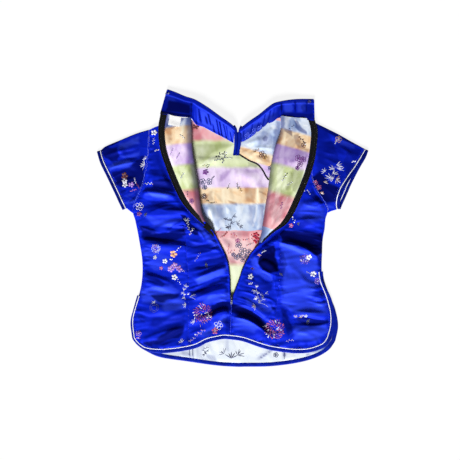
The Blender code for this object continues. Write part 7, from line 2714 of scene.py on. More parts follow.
@dataclass
class CollarHalf:
    """One half of the stand collar, its inner face up: smooth towards the zip, gathered towards the notch."""

    side: str
    stations: Sequence[CollarStation]
    neck: np.ndarray
    painted_light_areas: Sequence[PaintedLight]
    tail: Sequence[tuple[float, float, float]]
    motifs: Sequence[Motif]
    seed: int
    spans: int = 240
    rise_spans: int = 26
    front_begins: tuple[float, float] = (4.0, 4.6)
    gathers_begin: tuple[float, float] = (3.2, 4.6)
    gathers_end: tuple[float, float] = (7.4, 8.0)
    gather_spacing: float = 10.5
    gather_height: float = 2.5
    slant: float = 1.3
    seam_allowance: float = 0.11
    # Painted shade on the smooth part, in the grooves between gathers and along the foot, a darker band along
    # the top edge, and painted highlights on the gathers' pads
    smooth_ends: tuple[float, float] = (2.7, 3.1)
    smooth_shade: float = 0.6
    band: float = 0.8
    band_shade: float = 0.5
    welt: float = 0.9
    unevenness: float = 0.9
    uneven_run: float = 3.2
    groove_width: float = 0.23
    groove_painted_shade: float = 0.95
    foot_painted_shade: float = 0.6
    foot_place: float = 0.09
    foot_width: float = 0.05
    pad_painted_highlight: float = 0.75
    cord_inset: float = 0.7
    cord_thickness: float = 2.4
    tail_thickness: float = 2.6

    def grooves(self, at: np.ndarray, up: np.ndarray) -> np.ndarray:
        """Narrow uneven grooves between the gathers.

        Args:
            at: places along the collar, counted in gathers.
            up: shares of the collar's height.

        Returns:
            How deep the grooves are, 0 to 1.
        """
        rng = np.random.default_rng(self.seed)
        shift = rng.uniform(-0.32, 0.32, 256)
        depth = rng.uniform(0.25, 1.0, 256)
        begin = rng.uniform(-0.3, 0.25, 256)
        end = rng.uniform(0.5, 1.2, 256)
        lean = rng.uniform(-0.25, 0.25, 256)
        total = np.zeros(np.broadcast(at, up[None]).shape)
        for k in range(int(at.min()), int(at.max()) + 2):
            distance = np.abs(at - k - shift[k] - lean[k] * up[None])
            reach = smoothstep(up, begin[k], begin[k] + 0.2) * (1 - smoothstep(up, end[k] - 0.2, end[k]))
            total = np.maximum(total, depth[k] * np.exp(-((distance / self.groove_width) ** 2)) * reach[None])
        return total

    def build(self, wardrobe: Wardrobe) -> None:
        """Build the collar half and its corded edge.

        Args:
            wardrobe: the finishes.
        """
        places = np.linspace(0, len(self.stations) - 1, self.spans + 1)
        values = between_knots(np.array(self.stations, float), places)
        up = np.linspace(0, 1, self.rise_spans + 1)
        seam, top = values[:, 0:2], values[:, 2:4]
        at_front = smoothstep(places, *self.front_begins)[:, None]
        sewn = seam + (seam - top) * self.seam_allowance
        seam = sewn * (1 - at_front) + beside(seam, self.neck, COLLAR_SEAM_GAP) * at_front
        plan = seam[:, None] * (1 - up[None, :, None]) + top[:, None] * up[None, :, None]
        ended = smoothstep(places, *self.gathers_end)
        gathered = (smoothstep(places, *self.gathers_begin) * (1 - ended))[:, None]
        at = reach_along(top)[:, None] / self.gather_spacing + self.slant * up[None]
        broad = wander(at / self.uneven_run, self.seed + 2)
        body = np.sin(math.pi * np.clip(up, 0.03, 0.97))[None] ** 0.5
        below_band = 1 - smoothstep(up, self.band - 0.06, self.band)[None]
        groove = self.grooves(at, up) * gathered * below_band
        height = values[:, 4:5] + values[:, 5:6] * up[None] + self.gather_height * gathered * body
        height = height + body * self.unevenness * broad - self.gather_height * groove
        welt = self.welt * smoothstep(up, self.band - 0.03, self.band + 0.06)[None]
        height = np.maximum(height + welt, COLLAR_CLOTH / 2)
        self.grid = with_height(plan, height)
        # Painted shade: the smooth part, the grooves and a line along the foot; painted highlights on the
        # pads and along the welt; the band above the welt drawn darker
        smooth_part_shade = (1 - smoothstep(places, *self.smooth_ends))[:, None] * self.smooth_shade
        foot_shade_line = self.foot_painted_shade * np.exp(-(((up - self.foot_place) / self.foot_width) ** 2))[None]
        shade = painted_light_at(plan, self.painted_light_areas, self.seed)
        smooth_part_shade = smooth_part_shade * (1 - 0.5 * up[None] ** 6)
        painted_shade = np.clip(groove * self.groove_painted_shade + foot_shade_line + smooth_part_shade, 0, 1)
        welt_highlight = np.exp(-(((up - self.band) / 0.025) ** 2))[None]
        in_band = smoothstep(up, self.band + 0.02, self.band + 0.06)[None]
        painted_shade = np.maximum(painted_shade, in_band * self.band_shade) * (1 - 0.8 * welt_highlight)
        between = np.clip(1 - 3 * groove, 0, 1)
        pad_highlights = np.maximum(gathered * between * body * self.pad_painted_highlight * below_band, 0.5 * welt_highlight)
        shade[..., 0] = np.maximum(shade[..., 0], painted_shade)
        shade[..., 1] = np.maximum(shade[..., 1], pad_highlights)
        name = self.side + "_collar_satin"
        made = cloth(name, self.grid, arc_uv(self.grid), COLLAR_CLOTH, wardrobe.satin, shade=shade)
        dress(made, ["collar_" + self.side])
        sign = 1 if self.side == "left" else -1
        top_edge = evenly(self.grid[:, -1], 1.0)
        middle = offset_line(top_edge[:, :2], sign * (COLLAR_EDGE_WIDTH / 2 - self.cord_inset))
        outline = evenly(with_height(middle, top_edge[:, 2]), 1.0)
        padded = np.pad(outline, ((4, 4), (0, 0)), mode="edge")
        edge_line = np.stack([np.convolve(padded[:, k], np.ones(9) / 9, "valid") for k in range(3)], axis=1)
        edge = roll(
            self.side + "_collar_cord",
            edge_line,
            COLLAR_EDGE_WIDTH,
            self.cord_thickness,
            wardrobe.binding,
            lumps=0.15,
            seed=self.seed,
        )
        run = np.linspace(0, 1, 40)
        taper = CORD_TAIL_WIDTH * (1 - 0.3 * run)
        tail = along(self.tail, run)
        name = self.side + "_notch_cord"
        cord = roll(name, tail, taper, self.tail_thickness, wardrobe.band, lumps=0.2, seed=7)
        dress(cord)
        dress(edge, ["collar_edge_" + self.side])
        sewn = [edge, cord]
        if self.motifs:
            figuring = Figuring(self.side + "_collar_figures", made, wardrobe)
            sewn.append(figuring.build(self.motifs, 400, "satin"))


class ZipCoil:
    """The coil along one side of the open zip: arched turns, side by side across the tape's edge."""

    pitch = 1.7
    arch = 1.05
    flatness = 0.75
    overlap = 0.15
    strand = 0.34
    steps = 5
    sides = 5

    def build(self, name: str, line: np.ndarray, wardrobe: "Wardrobe") -> bpy.types.Object:
        """Build the coil.

        Args:
            name: the object's name.
            line: the middle of its foot, points in millimetres.
            wardrobe: the finishes.

        Returns:
            The object.
        """
        middles = evenly(line, self.pitch)
        run = unit(np.gradient(middles, axis=0))
        aside = unit(np.stack([-run[:, 1], run[:, 0], np.zeros(len(run))], axis=1))
        up = unit(np.cross(run, aside))
        points, faces = [], []
        count = self.steps * self.sides
        for k, middle in enumerate(middles):
            for angle in np.linspace(-self.overlap, math.pi + self.overlap, self.steps):
                outwards = math.cos(angle) * aside[k] + math.sin(angle) * up[k]
                centre = middle + self.arch * outwards * np.array([1.0, 1.0, self.flatness])
                for turn in np.linspace(0, 2 * math.pi, self.sides, endpoint=False):
                    around = math.cos(turn) * outwards + math.sin(turn) * run[k]
                    points.append(centre + self.strand * around)
            for step in range(self.steps - 1):
                for side in range(self.sides):
                    a = k * count + step * self.sides + side
                    b = k * count + step * self.sides + (side + 1) % self.sides
                    faces.append((a, b, b + self.sides, a + self.sides))
            first = range(k * count, k * count + self.sides)
            faces += [tuple(first), tuple(reversed(range((k + 1) * count - self.sides, (k + 1) * count)))]
        points = np.array(points)
        made = show(name, in_metres(points), faces, [wardrobe.coil])
        lay_uv(made.data, points[:, :2] * MM)
        point_outwards(made)
        made.data.shade_smooth()
        return dress(made)


def plan_axes(heading: float) -> tuple[np.ndarray, np.ndarray]:
    """Unit plan vectors along a heading, in degrees from X, and to its left."""
    turn = math.radians(heading)
    run = np.array([math.cos(turn), math.sin(turn)])
    return run, np.array([-run[1], run[0]])


def circle(count: int) -> np.ndarray:
    """Plan points evenly round a circle of radius 1."""
    turns = np.linspace(0, 2 * math.pi, count, endpoint=False)
    return np.stack([np.cos(turns), np.sin(turns)], axis=1)


class Drawing(NamedTuple):
    """One motif as it is drawn: its middle, radius, turn in degrees, yarns and its own unevenness."""

    place: np.ndarray
    size: float
    turn: float
    yarns: list[Thread]
    rng: np.random.Generator


class Figuring:
    """The raised figures woven into one panel, laid on its upper surface."""

    rise = 0.32
    sink = 0.35
    bold = 1.0
    steepest = 6.0
    inner_share = 0.55
    edge_rise = 0.08
    crown_share = 1.15
    stroke_sink = 0.02
    seam_piece = 5
    stitch_half = 0.34
    stitch_width = 0.6

    def __init__(self, name: str, panel: bpy.types.Object, wardrobe: Wardrobe) -> None:
        """Start the figures of a panel.

        Args:
            name: the figures' object name.
            panel: the cloth that they lie on.
            wardrobe: the finishes.
        """
        self.name = name
        self.wardrobe = wardrobe
        corners = [v.co for v in panel.data.vertices]
        self.tree = BVHTree.FromPolygons(corners, [tuple(p.vertices) for p in panel.data.polygons])
        self.points: list[tuple[float, float, float]] = []
        self.faces: list[tuple[int, ...]] = []
        self.yarn_of: list[int] = []
        self.yarns: list[Thread] = []
        self.left_out = 0

    def levels(self, plan: np.ndarray) -> np.ndarray | None:
        """Heights of the cloth's top at plan points, or None where the cloth is too steep or ends."""
        found = []
        for x, y in plan:
            place = in_metres((x, y, 100.0))
            hit = self.tree.ray_cast(Vector(place), Vector((0, 0, -1)))[0]
            if hit is None:
                self.left_out += 1
                return None
            found.append(hit.z / MM)
        levels = np.array(found)
        if np.ptp(levels) > self.steepest:
            self.left_out += 1
            return None
        return levels

    def add(self, points: np.ndarray, faces: Sequence[Sequence[int]], yarn: Thread) -> None:
        """Add a closed shape to the figures."""
        if yarn not in self.yarns:
            self.yarns.append(yarn)
        start = len(self.points)
        self.points.extend(map(tuple, points))
        self.faces.extend(tuple(start + k for k in face) for face in faces)
        self.yarn_of.extend([self.yarns.index(yarn)] * len(faces))

    def pad(self, outline: np.ndarray, yarn: Thread) -> None:
        """A low dome of yarn inside a plan outline.

        Args:
            outline: plan points, in millimetres.
            yarn: its colour.
        """
        count = len(outline)
        middle = outline.mean(axis=0)
        inner = middle + (outline - middle) * self.inner_share
        plan = np.concatenate([outline, inner, middle[None]])
        levels = self.levels(plan)
        if levels is None:
            return
        skirt = with_height(outline, levels[:count] - self.sink)
        edge = with_height(outline, levels[:count] + self.edge_rise)
        crown = with_height(inner, levels[count:-1] + self.rise)
        top = with_height(middle[None], levels[-1:] + self.rise * self.crown_share)
        faces = [tuple(range(count))[::-1]]
        for k in range(count):
            n = (k + 1) % count
            faces.append((k, n, count + n, count + k))
            faces.append((count + k, count + n, 2 * count + n, 2 * count + k))
            faces.append((2 * count + k, 2 * count + n, 3 * count))
        self.add(np.concatenate([skirt, edge, crown, top]), faces, yarn)

    def stroke(self, line: np.ndarray, width: float, yarn: Thread, closed: bool = False) -> None:
        """A raised line of yarn along plan points.

        Args:
            line: plan points, in millimetres.
            width: its width.
            yarn: its colour.
            closed: whether its end joins its start.
        """
        width = width * self.bold
        if closed:
            run = unit(np.roll(line, -1, axis=0) - np.roll(line, 1, axis=0))
        else:
            run = unit(np.gradient(line, axis=0))
        aside = np.stack([-run[:, 1], run[:, 0]], axis=1) * width / 2
        levels = self.levels(line)
        left, right = self.levels(line + aside), self.levels(line - aside)
        if levels is None or left is None or right is None:
            return
        rows = len(line)
        sections = np.stack(
            [
                with_height(line + aside, left - self.stroke_sink),
                with_height(line, levels + self.rise),
                with_height(line - aside, right - self.stroke_sink),
                with_height(line, levels - self.sink),
            ],
            axis=1,
        )
        faces = []
        for k in range(rows if closed else rows - 1):
            n = (k + 1) % rows
            faces += [(4 * k + j, 4 * n + j, 4 * n + (j + 1) % 4, 4 * k + (j + 1) % 4) for j in range(4)]
        if not closed:
            faces += [(0, 1, 2, 3), (4 * rows - 1, 4 * rows - 2, 4 * rows - 3, 4 * rows - 4)]
        self.add(sections.reshape(-1, 3), faces, yarn)

    def seam_line(self, line: np.ndarray, width: float, yarn: Thread) -> None:
        """A long thin line of yarn, in short joined pieces so that a fold doesn't end all of it."""
        for start in range(0, len(line) - 1, self.seam_piece):
            piece = line[start : start + self.seam_piece + 1]
            if len(piece) > 1:
                self.stroke(piece, width, yarn)

    def stitches(self, line: np.ndarray, pitch: float, yarn: Thread) -> None:
        """Separate stitches along a line."""
        middles = evenly(line, pitch)
        run = unit(np.gradient(middles, axis=0))
        for middle, heading in zip(middles[1:-1], run[1:-1]):
            half = heading * pitch * self.stitch_half
            self.stroke(np.array([middle - half, middle, middle + half]), self.stitch_width, yarn)

    def leaf(self, foot: np.ndarray, heading: float, length: float, width: float, yarn: Thread) -> None:
        """A pointed leaf from its foot along a heading, in degrees."""
        along_leaf, aside = plan_axes(heading)
        shares = np.array([0.0, 0.28, 0.6, 0.85, 1.0, 0.85, 0.6, 0.28])
        widths = np.array([0.1, 0.42, 0.5, 0.3, 0.0, -0.3, -0.5, -0.42])
        self.pad(foot + shares[:, None] * length * along_leaf + widths[:, None] * width * aside, yarn)

    def petal(self, foot: np.ndarray, heading: float, length: float, width: float, yarn: Thread) -> None:
        """A rounded petal from its foot along a heading, in degrees."""
        along_petal, aside = plan_axes(heading)
        turns = np.linspace(0, 2 * math.pi, 8, endpoint=False)
        shares = 0.5 - 0.5 * np.cos(turns)
        widths = 0.5 * np.sin(turns) * (0.75 + 0.35 * shares)
        self.pad(foot + shares[:, None] * length * along_petal + widths[:, None] * width * aside, yarn)

    def dot(self, place: np.ndarray, radius: float, yarn: Thread) -> None:
        """A round knot of yarn."""
        self.pad(place + radius * circle(6), yarn)

    def draw(self, motif: Motif, seed: int) -> None:
        """Draw one motif, a little uneven.

        Args:
            motif: what and where.
            seed: its own unevenness.
        """
        rng = np.random.default_rng(seed)
        yarns = [Thread[name] for name in motif.yarns.split()]
        place = np.array([motif.x, motif.y], float)
        kinds = {
            "BLOSSOM": self.blossom,
            "LOOPS": self.loops,
            "MUM": self.chrysanthemum,
            "BAMBOO": self.bamboo,
            "FAN": self.fan,
            "SPRIG": self.sprig,
            "BUDS": self.buds,
            "ORCHID": self.orchid,
            "DASHES": self.dashes,
            "RING": self.ring,
        }
        kinds[motif.kind](Drawing(place, motif.size, motif.turn, yarns, rng))

    def blossom(self, drawing: Drawing) -> None:
        """Five rounded petals with paler throats round a knot."""
        place, size, turn, yarns, rng = drawing
        for k in range(5):
            heading = turn + 72 * k + rng.uniform(-9, 9)
            far = plan_axes(heading)[0]
            length = size * rng.uniform(0.78, 1.02)
            self.petal(place + far * size * 0.14, heading, length, size * 0.78, yarns[0])
            self.petal(place + far * size * 0.22, heading, length * 0.45, size * 0.3, yarns[1])
        self.dot(place, size * 0.2, yarns[2])

    def loops(self, drawing: Drawing) -> None:
        """Five petals drawn only in outline, with a few stamens."""
        place, size, turn, yarns, rng = drawing
        for k in range(5):
            far = plan_axes(turn + 72 * k + rng.uniform(-10, 10))[0]
            ring = circle(9) * size * rng.uniform(0.3, 0.38)
            self.stroke(place + far * size * 0.6 + ring, 1.2, yarns[0], closed=True)
            if k % 2:
                self.dot(place + far * size * 0.55, 0.7, yarns[1])
        self.dot(place, size * 0.16, yarns[2])

    def chrysanthemum(self, drawing: Drawing) -> None:
        """A ball of small bent petals, crossed by a few slanting strokes of a third yarn."""
        place, size, turn, yarns, rng = drawing
        count = int(24 + 2.6 * size)
        for k in range(count):
            heading = turn + 137.5 * k
            reach = size * 0.84 * math.sqrt((k + 0.4) / count) * rng.uniform(0.9, 1.08)
            far = plan_axes(heading)[0]
            chance = rng.uniform()
            yarn = yarns[0] if chance < 0.5 else yarns[1] if chance < 0.86 else Thread.WHITE
            bend = heading + rng.uniform(10, 60)
            length, width = size * rng.uniform(0.17, 0.27), max(size * 0.1, 1.6)
            self.petal(place + far * reach, bend, length, width, yarn)
        strokes = int(size / 3)
        for k in range(strokes):
            lean, aside = plan_axes(turn + 195 + rng.uniform(-8, 8))
            spot = place + aside * size * (1.5 * (k + 0.5) / strokes - 0.75)
            spot = spot + lean * size * rng.uniform(0.1, 0.5)
            shares = np.linspace(-1, 1, 5)[:, None]
            bowed = aside * size * 0.04 * (1 - shares**2)
            self.stroke(spot + lean * size * 0.26 * shares + bowed, 1.1, yarns[2])

    def fan(self, drawing: Drawing) -> None:
        """Five or six slender pointed leaves from one joint."""
        place, size, turn, yarns, rng = drawing
        count = int(rng.integers(5, 7))
        for k in range(count):
            heading = turn + (k - (count - 1) / 2) * 29 + rng.uniform(-9, 9)
            yarn = yarns[k % 2]
            self.leaf(place, heading, size * rng.uniform(0.65, 1.15), max(size * 0.12, 1.2), yarn)
        self.dot(place, 0.8, yarns[2])

    def bamboo(self, drawing: Drawing) -> None:
        """A jointed stem with fans of leaves."""
        place, size, turn, yarns, rng = drawing
        run, aside = plan_axes(turn + 70)
        shares = np.linspace(-0.8, 0.75, 8)[:, None]
        bow = aside * size * 0.14
        stem = place + run * size * shares + bow * (1 - shares**2)
        self.stroke(stem, 1.0, yarns[0])
        for k, joint in enumerate((1, 3, 5, 7)):
            lean = turn + (25 if k % 2 else 155) + rng.uniform(-14, 14)
            for j in range(3):
                leaf_heading = lean + (j - 1) * 30 + rng.uniform(-6, 6)
                length = size * rng.uniform(0.42, 0.72)
                self.leaf(stem[joint], leaf_heading, length, max(size * 0.075, 1.2), yarns[(j + k) % 2])
        self.dot(stem[0], 1.0, yarns[2])

    def sprig(self, drawing: Drawing) -> None:
        """A bent stem with small leaves on both sides and a bud at its end."""
        place, size, turn, yarns, rng = drawing
        run, aside = plan_axes(turn)
        shares = np.linspace(-0.9, 0.9, 6)[:, None]
        stem = place + run * size * shares + aside * size * 0.22 * (1 - shares**2)
        self.stroke(stem, 0.9, yarns[1])
        for k in range(1, 6):
            side = 1 if k % 2 else -1
            leaf_heading = turn + side * rng.uniform(38, 66)
            length = size * rng.uniform(0.34, 0.5)
            self.leaf(stem[k - 1], leaf_heading, length, max(size * 0.16, 1.4), yarns[0])
        self.dot(stem[-1], max(size * 0.13, 1.0), yarns[2])

    def buds(self, drawing: Drawing) -> None:
        """A few buds strewn along a line."""
        place, size, turn, yarns, rng = drawing
        run, aside = plan_axes(turn)
        for k, share in enumerate((-0.9, -0.3, 0.25, 0.9)):
            spot = place + run * size * share + aside * size * rng.uniform(-0.4, 0.4)
            self.dot(spot, rng.uniform(1.1, 1.8), yarns[k % 3])

    def orchid(self, drawing: Drawing) -> None:
        """Long bowed blades from one root, with a narrow-petalled flower."""
        place, size, turn, yarns, rng = drawing
        for k in range(4):
            run, aside = plan_axes(turn - 20 + 24 * k + rng.uniform(-5, 5))
            shares = np.linspace(0.0, 1.0, 9)[:, None]
            bow = size * rng.uniform(0.18, 0.5) * shares**2
            self.stroke(place + run * size * shares * rng.uniform(0.7, 1.05) - aside * bow, 0.9, yarns[k % 2])
        flower = place + plan_axes(turn + 95)[0] * size * 0.4
        for k in range(3):
            self.leaf(flower, turn + 60 + 40 * k, size * 0.3, 1.6, yarns[2])

    def dashes(self, drawing: Drawing) -> None:
        """Short slanting strokes side by side along a line."""
        place, size, turn, yarns, rng = drawing
        run = plan_axes(turn)[0]
        for k in range(6):
            spot = place + run * size * (k / 2.5 - 1)
            lean = plan_axes(turn + 50 + rng.uniform(-14, 14))[0]
            half = lean * size * rng.uniform(0.16, 0.28)
            shares = np.linspace(-1, 1, 4)[:, None]
            self.stroke(spot + half * shares, 1.0, yarns[k % 3])

    def ring(self, drawing: Drawing) -> None:
        """A round bloom in outline, with a smaller one inside."""
        place, size, turn, yarns, rng = drawing
        turns = np.linspace(0, 2 * math.pi, 18, endpoint=False)
        for share, yarn in ((1.0, yarns[0]), (0.62, yarns[1])):
            uneven = size * share * (1 + 0.06 * np.sin(3 * turns + turn + rng.uniform(0, 3)))
            circle = np.stack([np.cos(turns), np.sin(turns)], axis=1) * uneven[:, None]
            self.stroke(place + circle, 0.8, yarn, closed=True)

    def build(self, motifs: Sequence[Motif], seed: int, slot: str) -> bpy.types.Object:
        """Draw motifs and make one object of them.

        Args:
            motifs: the motifs.
            seed: unevenness of the first of them.
            slot: the cloth that the figures lie on; on the lining they are drawn bolder.

        Returns:
            The object.
        """
        self.bold = LINING_PRINT_WIDTH if slot == "lining" else 1.0
        for k, motif in enumerate(motifs):
            self.draw(motif, seed + k)
        points = np.array(self.points)
        finishes = [self.wardrobe.yarns[yarn] for yarn in self.yarns]
        made = show(self.name, in_metres(points), self.faces, finishes)
        made.data.polygons.foreach_set("material_index", np.array(self.yarn_of, np.int32))
        lay_uv(made.data, points[:, :2] * MM)
        point_outwards(made)
        made.data.shade_smooth()
        LOG.info("%s: %d shapes left out", self.name, self.left_out)
        return dress(made)


def clear_selection() -> None:
    """Deselect every object, so that the next step works only on its own."""
    bpy.ops.object.select_all(action="DESELECT")


def hard_block(name: str, size: Sequence[float], centre: Sequence[float], bevel: float) -> bpy.types.Object:
    """A rounded block.

    Args:
        name: the object's name.
        size: its width, length and height, in millimetres.
        centre: its middle, in millimetres as the garment lies.
        bevel: the rounding of its edges.

    Returns:
        The object, with its changes applied.
    """
    clear_selection()
    bpy.ops.mesh.primitive_cube_add(size=1.0, location=in_metres(centre))
    made = bpy.context.active_object
    made.name = name
    bpy.ops.transform.resize(value=[side * MM for side in size])
    bpy.ops.object.transform_apply(location=True, rotation=True, scale=True)
    bpy.ops.object.mode_set(mode="EDIT")
    bpy.ops.mesh.select_all(action="SELECT")
    bpy.ops.mesh.bevel(offset=bevel * MM, segments=3, affect="EDGES")
    bpy.ops.object.mode_set(mode="OBJECT")
    return made


def pinch(made: bpy.types.Object, below: float, share: float) -> None:
    """Narrow the end of a block that lies below a level of Y, in metres, to a share of its width."""
    clear_selection()
    bpy.context.view_layer.objects.active = made
    made.select_set(True)
    bpy.ops.object.mode_set(mode="EDIT")
    bpy.ops.mesh.select_mode(type="VERT")
    bpy.ops.mesh.select_all(action="DESELECT")
    bpy.ops.object.mode_set(mode="OBJECT")
    for vertex in made.data.vertices:
        vertex.select = vertex.co.y < below
    bpy.ops.object.mode_set(mode="EDIT")
    middle = in_metres((SLIDER_X, SLIDER_Y, 0))
    bpy.ops.transform.resize(value=(share, 1, 1), center_override=middle)
    bpy.ops.object.mode_set(mode="OBJECT")


def wire(name: str, points: np.ndarray, thickness: float, closed: bool = False) -> bpy.types.Object:
    """A round wire through points.

    Args:
        name: the object's name.
        points: its middle line, in millimetres as the garment lies.
        thickness: the wire's diameter.
        closed: whether it's a ring.

    Returns:
        The mesh object.
    """
    curve = bpy.data.curves.new(name, "CURVE")
    curve.dimensions = "3D"
    curve.bevel_depth = thickness * MM / 2
    curve.bevel_resolution = 2
    curve.use_fill_caps = True
    spline = curve.splines.new("POLY")
    spline.points.add(len(points) - 1)
    for point, place in zip(spline.points, in_metres(points)):
        point.co = (*place, 1.0)
    spline.use_cyclic_u = closed
    made = bpy.data.objects.new(name, curve)
    bpy.context.scene.collection.objects.link(made)
    clear_selection()
    bpy.context.view_layer.objects.active = made
    made.select_set(True)
    bpy.ops.object.convert(target="MESH")
    made = bpy.context.active_object
    point_outwards(made)
    return made


def joined(parts: Sequence[bpy.types.Object], finish: bpy.types.Material) -> bpy.types.Object:
    """Join objects into the first of them, with one finish and smooth faces."""
    clear_selection()
    for part in parts:
        part.select_set(True)
    bpy.context.view_layer.objects.active = parts[0]
    bpy.ops.object.join()
    made = bpy.context.active_object
    made.data.materials.clear()
    made.data.materials.append(finish)
    bpy.ops.object.shade_smooth_by_angle(angle=math.radians(METAL_SHARP))
    made.select_set(False)
    return made


@dataclass
class ZipSlider:
    """The slider on the closed end of the zip, and the pull that swings on its bridge."""

    plate: float = 0.9
    bevel: float = 0.3
    tail: float = 0.62
    bridge_wire: float = 1.1
    wedge: tuple[float, float, float] = (2.4, 4.5, 1.6)
    wedge_place: float = 3.2
    flange: tuple[float, float, float] = (0.8, 8.0, 1.5)
    flange_place: tuple[float, float] = (2.9, 1.5)
    small_bevel: float = 0.2
    pull_wire: float = 1.2
    pull_thickness: float = 1.1
    pull_rounding: float = 0.35
    pull_drop: tuple[tuple[float, float, float], ...] = (
        (5.0, 2.5, 0.0),
        (6.6, 2.5, 0.0),
        (9.0, 2.4, 0.5),
        (11.5, 2.2, 1.2),
        (14.0, 2.0, 1.8),
        (15.4, 1.2, 2.0),
    )

    def build(self, finish: bpy.types.Material) -> None:
        """Build the slider.

        Args:
            finish: its metal.
        """
        parts = []
        tail_level = (SLIDER_Y - 1.5 - CENTRE_Y) * MM
        upper, lower = SLIDER_BASE + SLIDER_HEIGHT - self.plate / 2, SLIDER_BASE + self.plate / 2
        for name, level in (("upper", upper), ("lower", lower)):
            plate = hard_block(
                "slider_plate_" + name,
                (SLIDER_WIDTH, SLIDER_LENGTH, self.plate),
                (SLIDER_X, SLIDER_Y, level),
                self.bevel,
            )
            pinch(plate, tail_level, self.tail)
            parts.append(plate)
        middle = SLIDER_BASE + SLIDER_HEIGHT / 2
        place = (SLIDER_X, SLIDER_Y + self.wedge_place, middle)
        parts.append(hard_block("slider_wedge", self.wedge, place, self.small_bevel))
        for aside in (-1, 1):
            place = (SLIDER_X + aside * self.flange_place[0], SLIDER_Y + self.flange_place[1], middle)
            parts.append(hard_block("slider_flange", self.flange, place, self.small_bevel))
        top = SLIDER_BASE + SLIDER_HEIGHT
        half = 3.3
        arch = [(-half, top - 0.6), (-half, top + 1.3), (-half + 0.7, top + 2.5), (-1.2, top + 2.9)]
        line = np.array([(SLIDER_X, SLIDER_Y + y, z) for y, z in arch + [(-y, z) for y, z in arch[::-1]]])
        parts.append(wire("slider_bridge", line, self.bridge_wire))
        slider = joined(parts, finish)
        slider.name = "slider_body"
        dress(slider, ["zip_slider"])

    def build_pull(self, finish: bpy.types.Material) -> None:
        """Build the pull: a wire eye round the bridge and a plate that droops to the cloth.

        Args:
            finish: its metal.
        """
        half = 2.0
        side = [(half - 0.7, 0.0), (half, -0.7), (half, -5.6)]
        eye = [(-x, y) for x, y in side[::-1]] + side
        line = np.array([(SLIDER_X + x, SLIDER_Y + y, PIVOT_HEIGHT) for x, y in eye])
        loop = wire("pull_eye", line, self.pull_wire, closed=True)
        clear_selection()
        bpy.ops.mesh.primitive_grid_add(
            x_subdivisions=4,
            y_subdivisions=len(self.pull_drop) - 1,
            size=1.0,
            location=in_metres((SLIDER_X, SLIDER_Y, PIVOT_HEIGHT)),
        )
        plate = bpy.context.active_object
        plate.name = "pull_plate"
        bpy.ops.object.transform_apply(location=True, rotation=True, scale=True)
        rows = sorted({round(v.co.y, 7) for v in plate.data.vertices}, reverse=True)
        members = [[v.index for v in plate.data.vertices if abs(v.co.y - row) < 1e-6] for row in rows]
        middle = in_metres((SLIDER_X, SLIDER_Y, PIVOT_HEIGHT))
        for group, row, (reach, half_width, drop) in zip(members, rows, self.pull_drop):
            bpy.ops.object.mode_set(mode="EDIT")
            bpy.ops.mesh.select_mode(type="VERT")
            bpy.ops.mesh.select_all(action="DESELECT")
            bpy.ops.object.mode_set(mode="OBJECT")
            for index in group:
                plate.data.vertices[index].select = True
            bpy.ops.object.mode_set(mode="EDIT")
            bpy.ops.transform.resize(value=(2 * half_width * MM, 1, 1), center_override=middle)
            bpy.ops.transform.translate(value=(0, middle[1] - reach * MM - row, -drop * MM))
            bpy.ops.object.mode_set(mode="OBJECT")
        wall = plate.modifiers.new("Wall", "SOLIDIFY")
        wall.thickness = self.pull_thickness * MM
        wall.offset = 0.0
        rounding = plate.modifiers.new("Rounding", "BEVEL")
        rounding.width = self.pull_rounding * MM
        rounding.segments = 3
        rounding.limit_method = "ANGLE"
        apply_modifiers(plate)
        point_outwards(plate)
        pull = joined([plate, loop], finish)
        pull.name = "pull_tab"
        dress(pull, ["zip_pull"], body=PULL_BODY)


@dataclass
class NeckLabel:
    """The plain label sewn to the folded-back lining under the collar, its far end lifted a little."""

    back: BackPanel
    spans: int = 24
    least_rows: int = 6
    end_lift: float = 0.8
    wave_height: float = 0.5
    waves: tuple[float, float, float] = (40, 9, 95)
    thickness: float = 0.7
    seed: int = 33

    def build(self, finish: bpy.types.Material) -> None:
        """Build the label.

        Args:
            finish: its cloth.
        """
        count = max(int(round(self.back.rows * LABEL_SHARE)), self.least_rows)
        rows = np.arange(count)
        knots = [self.back.total - LABEL_FAR, self.back.total - LABEL_NEAR]
        distances = spans_between(knots, (self.spans,))[rows]
        rise = ON_FLAP + LINING + LAYER_GAP
        flat = self.back.strip(rows, distances, rise)
        lift = self.end_lift * smoothstep(np.linspace(0, 1, count), 0.4, 1.0)[:, None]
        lift = lift * np.ones(flat.shape[:2])
        lift += self.wave_height * (ripples(flat[..., :2], *self.waves, self.seed) + 1)
        grid = self.back.strip(rows, distances, rise + lift)
        label = cloth("plain_neck_label", grid, arc_uv(grid), self.thickness, finish)
        dress(label, ["neck_label"])


